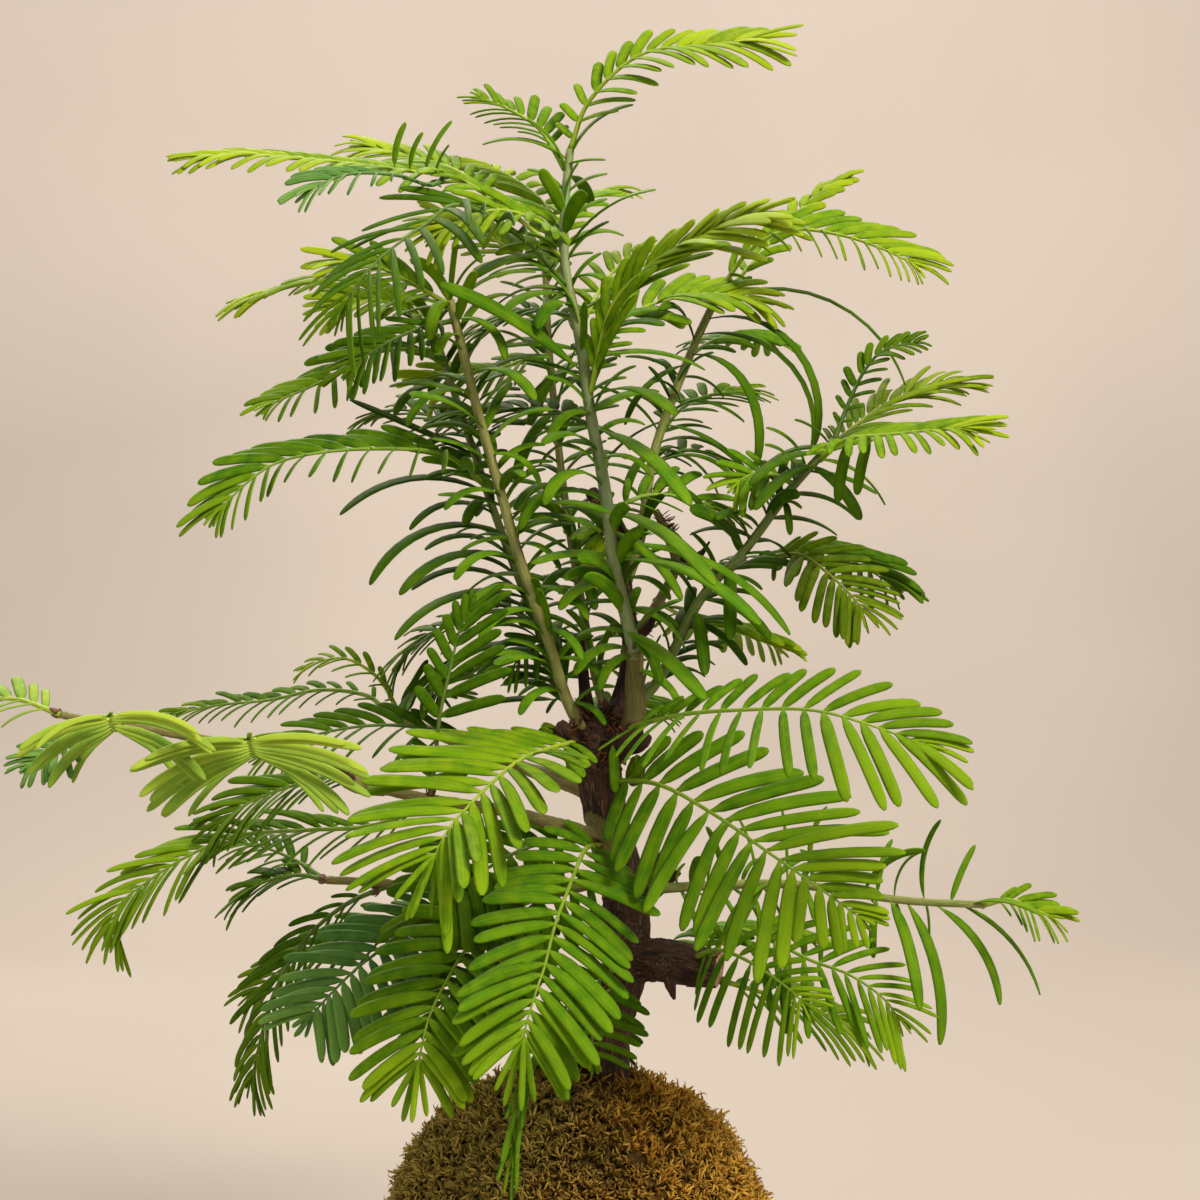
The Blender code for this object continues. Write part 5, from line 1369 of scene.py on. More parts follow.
class ScatterTree:
    """The geometry tree that strews copies of one small shape over a surface."""

    def __init__(self) -> None:
        """Builds the tree."""
        graph = new_tree("Strew over a surface", "GeometryNodeTree",
                         {"Ground": "Geometry", "Copy": "Object", "Density": "Float", "Lean": "Float",
                          "Smallest": "Float", "Largest": "Float", "Seed": "Int", "Finish": "Material"},
                         {"Cover": "Geometry"})
        given = graph.given
        self.tree = graph.tree
        spread = graph.add("GeometryNodeDistributePointsOnFaces",
                           {"Mesh": given["Ground"], "Density": given["Density"],
                            "Seed": given["Seed"]})
        lean = graph.quantity(given["Lean"])
        turn = graph.add("FunctionNodeRandomValue", {0: graph.vector(lean * -1.0, lean * -1.0, 0.0),
                                                     1: graph.vector(lean, lean, math.tau),
                                                     "Seed": given["Seed"]}, data_type="FLOAT_VECTOR")
        euler = graph.add("FunctionNodeEulerToRotation", {0: turn.outputs[0]})
        rotation = graph.add("FunctionNodeRotateRotation",
                             {0: spread.outputs["Rotation"], 1: euler.outputs[0]},
                             rotation_space="LOCAL")
        size = graph.add("FunctionNodeRandomValue", {2: given["Smallest"], 3: given["Largest"],
                                                     "Seed": given["Seed"]}, data_type="FLOAT")
        draw = graph.add("FunctionNodeRandomValue", {"Seed": given["Seed"], 2: 0.0, 3: 1.0},
                         data_type="FLOAT")
        tinted = graph.store(spread.outputs["Points"], "tint", "FLOAT", draw.outputs[1])
        source = graph.add("GeometryNodeObjectInfo", {"Object": given["Copy"]})
        copies = graph.add("GeometryNodeInstanceOnPoints",
                           {"Points": tinted, "Instance": source.outputs["Geometry"],
                            "Rotation": rotation.outputs[0], "Scale": size.outputs[1]})
        whole = graph.add("GeometryNodeRealizeInstances", {"Geometry": copies.outputs[0]})
        dressed = graph.add("GeometryNodeSetMaterial",
                            {"Geometry": whole.outputs[0], "Material": given["Finish"]})
        graph.feed(graph.result["Cover"], dressed.outputs[0])


# Start and margin of the probe round a leaflet: against other pieces, and against its own frond
LEAFLET_PROBE = (0.1, 0.1 * MM)
LEAFLET_SOLID = (0.1, 0.0)
LEAFLET_OWN_PROBE = (0.35, -0.04 * MM)
# The same for a long leaf
STRAP_PROBE = (0.16, 0.12 * MM)
STRAP_SOLID = (0.16, 0.0)
STRAP_OWN_PROBE = (0.2, 0.05 * MM)
STRAP_OWN_SOLID = (0.2, 0.0)
# Leaflets that close the tip of a frond: angle, share of their length, and rise
TUFT = ((-20, 0.86, 4), (-7, 1.0, 16), (8, 0.93, -6), (21, 0.8, 9))


@dataclass
class FrondShape:
    """A frond: a slim rib that leaves its carrier, and two rows of leaflets along it."""

    name: str
    frond: Frond
    carrier: BVHTree
    rib_radius: float = 0.48 * MM
    widest: float = 3.1 * MM
    narrowness: float = 0.212
    long_leaf: float = 15.0
    # Pairs for each pair of the solid: the frond's own, or the usual for long and short leaflets
    pair_share: float | None = None
    usual_shares: tuple = (1.15, 1.18)
    bare_rib: float = 1.6 * MM
    crowding: float = 1.40
    rise: float = 10.0
    droop: tuple = (36.0, 26.0)
    splay: tuple = (63.0, 38.0)
    lean: float = 15.0
    sag: float = 0.15
    hanging_growth: float = 0.15
    facing: tuple = (0.12, -0.88, 0.45)
    turning: tuple = (0.15, 0.75)
    # Lengths along the rib, as pairs of where and how long
    profile: tuple = ((0.0, 0.5), (0.25, 1.0), (0.45, 1.0), (0.75, 0.88), (0.9, 0.72), (1.0, 0.58))
    sides: tuple = (1.0, 1.0)
    youth: float = 0.0
    # In a level frond: less splay and a fuller turn in the upper row; less splay, a turn edge-on
    # and more droop in the lower row
    level_above: float = -0.62
    upper_row: tuple = (8.0, 0.90)
    lower_row: tuple = (10.0, 0.62, 12.0)
    swept: tuple = (0.0, 0.0)
    reach: float = 1.0
    stoop: float = 0.0
    pale: bool = False
    tuft_size: float = 0.70
    most_roll: float = 84.0
    tip_roll: float = 12.0
    tip_slimness: float = 0.14
    row_height: float = 0.25
    hang_gain: float = 1.2
    least_droop: float = 4.0
    hook: float = 0.03

    def __post_init__(self) -> None:
        """Lays the rib's line and finds where it leaves its carrier."""
        self.route = shoot_route(self.frond.readings, self.carrier)
        self.start = 0.0
        while self.start < 0.8 * self.route.length and not self.outside(self.route.at(self.start)):
            self.start += 0.1 * MM
        self.end = self.route.length * self.reach - 0.45 * self.leaf_length(1.0)
        self.face = Vector(self.frond.face).normalized()
        share = self.pair_share or self.usual_shares[self.frond.leaf_length < self.long_leaf]
        self.pairs = max(6, round(self.frond.pairs * share))
        self.bend = self.droop[0] + self.droop[1] * min(self.face.y, 0.0)
        self.level = self.face.y > self.level_above
        self.noise = random.Random(self.name)
        self.skeleton = Skeleton()

    def outside(self, point: Vector) -> bool:
        """Tells whether the rib's whole width is outside its carrier at a point."""
        nearest, normal, _, away = self.carrier.find_nearest(point)
        return away >= self.rib_radius and (point - nearest).dot(normal) > 0

    def radius(self, distance: float) -> float:
        """Gives the rib's radius, which tapers to the tip and swells a little at the root."""
        share = min(distance / self.end, 1.0)
        swell = 0.25 * math.exp(-distance / (2.5 * MM))
        return self.rib_radius * (1.1 - 0.70 * share + swell)

    def frame(self, distance: float) -> tuple[Vector, Vector, Vector, Vector]:
        """Gives the rib's centre, direction, right side and upper side there."""
        ahead = self.route.along(distance)
        upper = (self.face - ahead * self.face.dot(ahead)).normalized()
        return self.route.at(distance), ahead, ahead.cross(upper), upper

    def leaf_length(self, share: float) -> float:
        """Gives the leaflets' length there, read off the profile."""
        for (low, short), (high, long) in zip(self.profile, self.profile[1:]):
            if share <= high:
                break
        part = min((share - low) / (high - low), 1.0)
        return self.frond.leaf_length * MM * (short + (long - short) * part)

    def leaflet(self, share: float, sign: int, chance: dict[str, float], change: tuple) -> Leaf:
        """Gives one leaflet on one side of the rib.

        Args:
            share: Where it stands, from the first pair to the tip.
            sign: 1 on the right side and -1 on the left.
            chance: What varies by leaflet: length and width as shares, the rest in degrees.
            change: Share of its length, then more rise, droop, splay and roll in degrees.

        Returns:
            The leaflet, which gravity bends down, and which grows longer where it hangs.
        """
        first = self.start + self.bare_rib
        distance = first + (self.end - first) * (1 - (1 - share) ** self.crowding)
        centre, ahead, right, upper = self.frame(distance + chance["place"])
        spread = self.splay[0] - self.splay[1] * share ** 1.5 + chance["splay"] + change[3]
        row = max(-1.0, min(right.z * sign / self.row_height, 1.0)) if self.level else 0.0
        spread -= self.lean * self.fan(ahead, right, sign, spread).z + self.swept[sign > 0]
        spread -= self.upper_row[0] * max(row, 0.0) + self.lower_row[0] * max(-row, 0.0)
        out = self.fan(ahead, right, sign, spread)
        across = out.cross(upper)
        hang = max(-1.0, min(-out.z * self.hang_gain, 1.0))
        length = self.leaf_length(share) * (1 + self.hanging_growth * hang) * chance["length"]
        length *= change[0]
        length *= self.sides[sign > 0]
        width = min(self.widest, self.narrowness * self.leaf_length(share)) * chance["width"]
        forward = 1 if across.dot(ahead) > 0 else -1
        roll = forward * self.tip_roll * share + chance["roll"] + change[4]
        roll += self.turn(across, upper, hang, row, forward)
        droop = self.bend + chance["droop"] + change[2] + self.lower_row[2] * max(-row, 0.0)
        rise = self.rise - self.stoop * (1 - share)
        return Leaf(centre, out, upper, length, width * (1 - self.tip_slimness * share),
                    math.radians(rise + change[1]), math.radians(max(droop, self.least_droop)),
                    forward * self.hook - self.sag * across.z, math.radians(roll), share + self.youth)

    @staticmethod
    def fan(ahead: Vector, right: Vector, sign: int, spread: float) -> Vector:
        """Gives the way out from the rib at an angle of that many degrees."""
        return ahead * math.cos(math.radians(spread)) + right * sign * math.sin(math.radians(spread))

    def turn(self, across: Vector, upper: Vector, hang: float, row: float, forward: int) -> float:
        """Gives the roll in degrees that turns a leaflet's flat side to the light.

        Args:
            across: The leaflet's way across.
            upper: The frond's upper side.
            hang: How far the leaflet hangs, from -1 to 1.
            row: 1 in the upper row of a level frond, -1 in its lower row, 0 in other fronds.
            forward: 1 or -1, whichever way across points to the tip.

        Returns:
            The roll: least where it hangs, and edge-on to the light in a lower row.
        """
        light = Vector(self.facing).normalized()
        side = 1 if upper.dot(light) >= 0 else -1
        roll = math.degrees(math.atan2(-side * across.dot(light), side * upper.dot(light)))
        roll = max(-self.most_roll, min(roll, self.most_roll))
        low, high = self.turning
        share = low + (high - low) * min(max(0.6 - 0.9 * hang, 0.0), 1.0)
        share += (self.upper_row[1] - share) * max(row, 0.0)
        edge = self.lower_row[1] * max(-row, 0.0)
        return roll * share * (1 - edge) + (roll - forward * 90) * edge

    def grow(self, surfaces: Surfaces) -> None:
        """Chooses every leaflet, each bent clear of what it would cross.

        Args:
            surfaces: What the leaflets stay clear of.
        """
        self.skeleton.add_stalk(self.route, 0.0, self.end, self.radius)
        own = Surfaces()
        for number in range(self.pairs):
            for sign in (-1, 1):
                chance = {"length": self.noise.uniform(0.92, 1.06),
                          "width": self.noise.uniform(0.90, 1.08), "droop": self.noise.uniform(-9, 12),
                          "splay": self.noise.uniform(-4, 4), "roll": self.noise.uniform(-7, 7),
                          "place": self.noise.uniform(-0.2, 0.2) * MM}
                for change in LEAFLET_CHANGES:
                    leaf = self.leaflet((number + 0.4) / self.pairs, sign, chance, change)
                    if (surfaces.clear(*leaf.probe(*LEAFLET_PROBE), leave_out=(self.name,))
                            and own.clear(*leaf.probe(*LEAFLET_OWN_PROBE))):
                        self.skeleton.leaves.append(leaf)
                        own.add("leaves", *leaf.probe(*LEAFLET_OWN_PROBE))
                        break
        self.skeleton.leaves += self.tuft()
        for leaf in self.skeleton.leaves:
            surfaces.add(self.name, *leaf.probe(*LEAFLET_SOLID))

    def tuft(self) -> list[Leaf]:
        """Gives the narrow leaflets that close the frond's tip."""
        leaves = []
        length = self.leaf_length(1.0) * self.tuft_size
        for angle, shorter, rise in TUFT:
            centre, ahead, right, upper = self.frame(self.end - 0.3 * MM)
            out = self.fan(ahead, right, 1, angle)
            leaves.append(Leaf(centre, out, upper, length * shorter,
                               0.62 * self.narrowness * self.leaf_length(1.0), math.radians(rise),
                               math.radians(self.bend * 0.7), -self.sag * out.cross(upper).z * 0.6,
                               math.radians(angle), 1.0 + self.youth))
        return leaves


# Ways to clear a leaflet: share of its length, then more rise, droop, splay and roll in degrees
LEAFLET_CHANGES = [
    (length, *angles)
    for length in (1.0, 0.86, 0.70)
    for angles in (
        (0, 0, 0, 0), (7, 0, 0, 0), (-7, 0, 0, 0), (0, 0, 0, 14), (0, 14, 0, 0), (14, 10, 0, 0),
        (-14, -10, 0, 0), (0, 0, -8, 0), (0, 0, 8, 0), (22, 16, 0, 10), (-20, 0, 0, -12), (10, 30, -6, 0),
    )
]


@dataclass
class StemShape:
    """A green stem with long leaves: those that are named, and pairs that stand between them."""

    name: str
    stem: Stem
    carrier: BVHTree
    named_width: float = 4.0 * MM
    filling_width: float = 3.2 * MM
    pair_width: tuple = (2.7, 3.7)
    narrowness: float = 0.205
    pair_pitch: float = 3.1 * MM
    pair_turn: float = 81.0
    pair_length: tuple = (8.0, 18.0)
    pair_arch: tuple = (0.07, 0.22)
    frontal: float = 0.4
    slimness: float = 0.87
    thickness: float = 0.5 * MM
    root_spacing: float = 0.9 * MM
    # The way that upper sides face, on most leaves and on those that rise towards the eye
    facing: tuple = (0.1, -0.5, 0.86)
    near_facing: tuple = (0.0, -1.0, 0.2)
    sleeve_share: float = 0.8

    def __post_init__(self) -> None:
        """Lays the stem's line, its foot a little inside the wood."""
        self.route = shoot_route(self.stem.readings, self.carrier)
        self.noise = random.Random(self.name)
        self.skeleton = Skeleton()
        self.filling = FILLING_STRAPS.get(self.name, ())
        self.broad = STEM_LOOKS[self.name][2]
        self.straps = self.stem.straps + self.filling

    def radius(self, distance: float) -> float:
        """Gives the stem's radius, which tapers and swells a little at the root."""
        share = distance / self.route.length
        swell = 0.06 * math.exp(-distance / (4 * MM))
        radius = self.stem.root_radius + (self.stem.tip_radius - self.stem.root_radius) * share
        return radius * self.slimness * MM * (1 + swell)

    def sleeve(self) -> tuple[list[Vector], list[tuple]]:
        """Gives a four-sided tube round the stem, for leaves to stay clear of."""
        points, count = [], 24
        for i in range(count + 1):
            distance = self.route.length * i / count
            ahead = self.route.along(distance)
            side = ahead.orthogonal().normalized()
            other = ahead.cross(side)
            for x, y in ((-1, -1), (1, -1), (1, 1), (-1, 1)):
                corner = (side * x + other * y) * self.radius(distance) * self.sleeve_share
                points.append(self.route.at(distance) + corner)
        return points, strip_faces(count + 1)

    def strap(self, root: Vector, tip: Vector, arch: float, width: float) -> Leaf:
        """Gives a long leaf from its ends.

        Args:
            root: Where it starts, inside the stem.
            tip: Where it ends.
            arch: How high it rises over the line between them, as a share of its length.
            width: Its width.

        Returns:
            The leaf, its upper face towards the front and the sky.
        """
        ahead = (tip - root).normalized()
        lift = (Vector((0, 0, 1)) - ahead * ahead.z).normalized()
        droop = max(2 * math.atan(4 * arch), 0.06)
        length = (tip - root).length * (droop / 2) / math.sin(droop / 2)
        across = ahead.cross(lift)
        nearing = smoothstep(0.15, 0.45, ahead.z) * smoothstep(0.5, 0.62, -ahead.y)
        facing = Vector(self.facing).lerp(Vector(self.near_facing), nearing)
        roll = math.atan2(-facing.dot(across), facing.dot(lift)) * (0.8 + 0.2 * nearing)
        width *= 1 - 0.45 * smoothstep(0.4, 0.8, ahead.z)
        height = min(range(len(self.route.points)), key=lambda i: (self.route.points[i] - root).length)
        share = 0.6 * height / len(self.route.points)
        return Leaf(root, ahead, lift, length, min(width, self.narrowness * length) * self.broad,
                    droop / 2, droop, 0.0, roll, share, self.thickness)

    def pairs(self) -> list[tuple[Vector, Vector, float, float]]:
        """Gives root, tip, arch and width of the paired leaves between the named ones."""
        taken = [place(root) for root, _, _ in self.straps]
        found = []
        distance, turn = 5 * MM, self.noise.uniform(0, 180)
        while distance < self.route.length - 1.0 * MM:
            ahead = self.route.along(distance)
            side = ahead.orthogonal().normalized()
            root = self.route.at(distance)
            for half in (0, 180):
                angle = math.radians(turn + half + self.noise.uniform(-20, 20))
                out = Matrix.Rotation(angle, 3, ahead) @ side + ahead * self.noise.uniform(0.0, 0.7)
                out.y *= self.frontal if out.y < 0 else 1.0
                out = out.normalized() * self.noise.uniform(*self.pair_length) * MM
                if min((root - other).length for other in taken) > self.root_spacing:
                    found.append((root, root + out, self.noise.uniform(*self.pair_arch),
                                  self.noise.uniform(*self.pair_width) * MM))
            distance += self.pair_pitch * self.noise.uniform(0.8, 1.2)
            turn += self.pair_turn
        return found

    def grow(self, surfaces: Surfaces) -> None:
        """Chooses every leaf, each turned clear of what it would cross.

        Args:
            surfaces: What the leaves stay clear of.
        """
        self.skeleton.add_stalk(self.route, 0.0, self.route.length, self.radius)
        own = Surfaces()
        named = [(place(root), place(tip), arch, self.named_width) for root, tip,
                 arch in self.stem.straps]
        named += [(place(root), place(tip), arch, self.filling_width) for root, tip,
                  arch in self.filling]
        for root, tip, arch, width in named + self.pairs():
            for length, turn, pitch in STRAP_CHANGES:
                reach = Matrix.Rotation(math.radians(turn), 3, "Z") @ (tip - root) * length
                reach.z += math.sin(math.radians(pitch)) * reach.length
                leaf = self.strap(root, root + reach, arch, width)
                if (surfaces.clear(*leaf.probe(*STRAP_PROBE), leave_out=(self.name,))
                        and own.clear(*leaf.probe(*STRAP_OWN_PROBE))):
                    self.skeleton.leaves.append(leaf)
                    own.add("leaves", *leaf.probe(*STRAP_OWN_SOLID))
                    surfaces.add(self.name, *leaf.probe(*STRAP_SOLID))
                    break


# Ways to clear a long leaf: share of its length, then turn and pitch in degrees
STRAP_CHANGES = [
    (length, turn, pitch)
    for length in (1.0, 0.82, 0.64)
    for pitch in (0, 12, -12, 24)
    for turn in (0, 12, -12, 25, -25)
]


# Skin of each stem, with the tone and the share of width of its long leaves
STEM_LOOKS = {
    "stem_leader": (StemColour.BLUISH, Tone.MID, 1.0),
    "stem_left_front": (StemColour.TAN, Tone.MID, 0.85),
    "stem_left_back": (StemColour.OLIVE, Tone.DARK, 0.85),
    "stem_right": (StemColour.OLIVE, Tone.DARK, 0.85),
    "stem_upper_right": (StemColour.TAN, Tone.DARK, 0.62),
    "stem_back": (StemColour.TAN, Tone.MID, 0.85),
    "stem_right_twig": (StemColour.TAN, Tone.MID, 0.62),
}


# Long leaves that fill the crown between the named ones: root, tip and arch
FILLING_STRAPS = {
    "stem_leader": (((8, -9, 179), (43, -18, 161), 0.15), ((3, -6, 216), (26, 0, 214), 0.12),
        ((3, -7, 219), (18, -2, 226), 0.15), ((4, -8, 211), (11, -10, 228), 0.05),
        ((3, -8, 217), (21, -12, 222), 0.2), ((6, -10, 190), (-6, -22, 187), 0.45),
        ((6, -10, 187), (-11, -18, 182), 0.4), ((9, -9, 170), (-3, -16, 166), 0.25),
        ((11, -8, 158), (0, -14, 153), 0.25), ((10, -8, 166), (22, -4, 158), 0.2),
        ((2, -7, 213), (-9, 2, 208), 0.2), ((5, -9, 198), (-7, 0, 195), 0.25),
        ((-1, -4, 232), (10, -12, 226), 0.3), ((0, -5, 226), (-10, -16, 222), 0.25),
        ((7.5, -6, 139), (8, -10, 129.5), 0.1), ((-2, -6, 140), (-1, -9, 133), 0.1),
        ((11, -8, 160), (17, -14, 151), 0.2), ((12, -8, 157), (5, -13, 150), 0.25),
        ((10, -9, 172), (19, -13, 168), 0.25), ((6.4, -10, 181), (-12, -16, 184), 0.12),
        ((7, -10, 184), (17, -10, 181), 0.25), ((5, -9, 196), (15, -12, 193), 0.25),
        ((12, -8, 154), (21, -10, 146), 0.2), ((9, -9, 174), (0, -6, 169), 0.25),
        ((4, -8, 205), (-5, -14, 200), 0.3), ((4, -9, 200), (14, -6, 203), 0.25),
        ((-36, -8, 254.5), (-33.8, -9, 263.5), 0.1), ((-33, -7, 254), (-30.4, -8, 261.5), 0.1),
        ((-30, -6.5, 253.5), (-24.6, -7, 263.8), 0.08), ((-28, -6, 253), (-25.2, -9, 259), 0.1),
        ((0, -5, 228), (-14, -16, 226), 0.15), ((7, -10, 182), (20, -18, 168), 0.1),
        ((10, -8, 168), (-2, -18, 172), 0.3), ((5, -9, 197), (-9, -20, 199), 0.2)),
    "stem_left_front": (((-9, -8, 170), (1, -16, 164), 0.25), ((-6, -8, 162), (3, -14, 156), 0.2),
        ((-13, -8, 183), (-2, -14, 190), 0.2), ((-16, -8, 193), (-6, -4, 199), 0.2),
        ((-7, -8, 165), (-19, -18, 160), 0.25), ((-3, -6, 151), (-15, -14, 157), 0.2),
        ((-11, -8, 175), (-24, -18, 172), 0.3), ((-20, -11, 209), (-32, -20, 203), 0.3),
        ((-22, -12, 217), (-33, -22, 219), 0.25), ((-23, -13, 221), (-13, -6, 229), 0.2),
        ((-1, -5, 147), (6, -12, 143), 0.2), ((-2, -6, 149), (-11, -14, 145), 0.3),
        ((-4, -7, 156), (5, -12, 151), 0.25), ((-5, -7, 159), (-16, -14, 163), 0.25),
        ((-8, -8, 168), (-21, -14, 167), 0.3), ((-8, -8, 167), (0, -10, 170), 0.25),
        ((-12, -8, 179), (-3, -12, 174), 0.25), ((-14, -8, 188), (-26, -14, 186), 0.3),
        ((-17, -9, 197), (-7, -12, 191), 0.25), ((-25, -14, 227), (-33, -22, 236), 0.2),
        ((-25, -14, 227), (-18, -20, 237), 0.15), ((-24, -13, 224), (-14, -18, 216), 0.3),
        ((-25, -14, 227), (-29, -24, 220), 0.3), ((-25, -14, 227), (-23, -18, 241), 0.05),
        ((-23, -13, 220), (-31, -20, 214), 0.3), ((-24, -14, 225), (-37, -20, 227), 0.2)),
    "stem_left_back": (((-7, 6, 158), (-29, -6, 150), 0.2), ((-7, 6, 160), (-24, -8, 159), 0.2),
        ((-4, 4, 148), (-19, 4, 147), 0.05), ((-9, 6, 164), (-27, -4, 162), 0.25),
        ((-10, 6, 169), (-20, -10, 164), 0.3), ((-17, 8, 188), (-22, -4, 183), 0.15),
        ((-10, 7, 173), (2, 0, 176), 0.2), ((-20, 10, 198), (-10, 4, 203), 0.2),
        ((-24, 12, 209), (-36, 2, 205), 0.3), ((-26, 13, 216), (-16, 8, 222), 0.2),
        ((-5, 5, 154), (-17, 14, 156), 0.25), ((-13, 7, 178), (-25, 16, 180), 0.3),
        ((-3, 4, 149), (-16, -4, 151), 0.25), ((-6, 6, 157), (-22, 0, 155), 0.3),
        ((-8, 6, 163), (-26, 2, 166), 0.3), ((-9, 6, 167), (-31, -6, 170), 0.3),
        ((-12, 7, 175), (-30, 2, 178), 0.3), ((-15, 8, 184), (-33, 0, 182), 0.3),
        ((-16, 8, 187), (-31, 4, 192), 0.3), ((-12, 7, 176), (0, 2, 183), 0.2),
        ((-6, 6, 158), (4, 2, 160), 0.2), ((-8, 6, 165), (3, 4, 166), 0.2),
        ((-19, 9, 195), (-34, -2, 197), 0.3), ((-22, 11, 204), (-11, 4, 210), 0.2)),
    "stem_right": (((50, -9, 197), (35, -22, 191), 0.12), ((51, -9, 198), (36, -4, 192), 0.2),
        ((38, -5, 183), (45, -16, 189), 0.2), ((37, -5, 182), (26, -14, 184), 0.2),
        ((36, -5, 180), (23, 0, 181), 0.15), ((42, -7, 188), (43, -12, 181), 0.1),
        ((31, -3, 175), (33, -12, 160), 0.1), ((24, -1, 166), (26, -10, 153), 0.1),
        ((21, 1, 160), (32, -8, 163), 0.25), ((28, -3, 171), (17, -10, 174), 0.2),
        ((45, -8, 192), (38, -12, 199), 0.2), ((18, 2, 154), (28, 8, 155), 0.2),
        ((55, -21.5, 200.3), (52.6, -24, 187.5), 0.05), ((59, -25, 200.8), (56.4, -28, 189), 0.05),
        ((48, -9, 195), (36, -20, 186), 0.1), ((51, -9, 199), (44, -14, 204), 0.1)),
    "stem_upper_right": (((18, 7, 203), (34, -6, 191), 0.12), ((16, 7, 199), (31, 0, 196), 0.2),
        ((16, 6, 195), (32, -2, 192), 0.22), ((22, 8, 215), (10, 4, 203), 0.15),
        ((24, 8, 219), (17, -6, 226), 0.3), ((21, 7, 208), (12, 0, 210), 0.3),
        ((16, 6, 197), (10, -4, 188), 0.2), ((15, 6, 190), (26, -2, 185), 0.25),
        ((13, 6, 181), (22, -4, 178), 0.25), ((14, 6, 185), (4, 12, 182), 0.25)),
    "stem_back": (((-4, 22, 206), (-12, 10, 192), 0.1), ((-4, 22, 214), (-9, 14, 203), 0.05),
        ((-2, 20, 190), (-12, 8, 186), 0.2), ((-1, 18, 184), (9, 10, 178), 0.2),
        ((1, 15, 174), (-7, 6, 168), 0.2), ((2, 13, 165), (10, 6, 160), 0.2),
        ((2, 12, 160), (-7, 4, 156), 0.2), ((0, 16, 178), (2, 6, 166), 0.05),
        ((-5, 24, 220), (-14, 12, 224), 0.25), ((-5, 25, 228), (4, 14, 226), 0.25)),
}

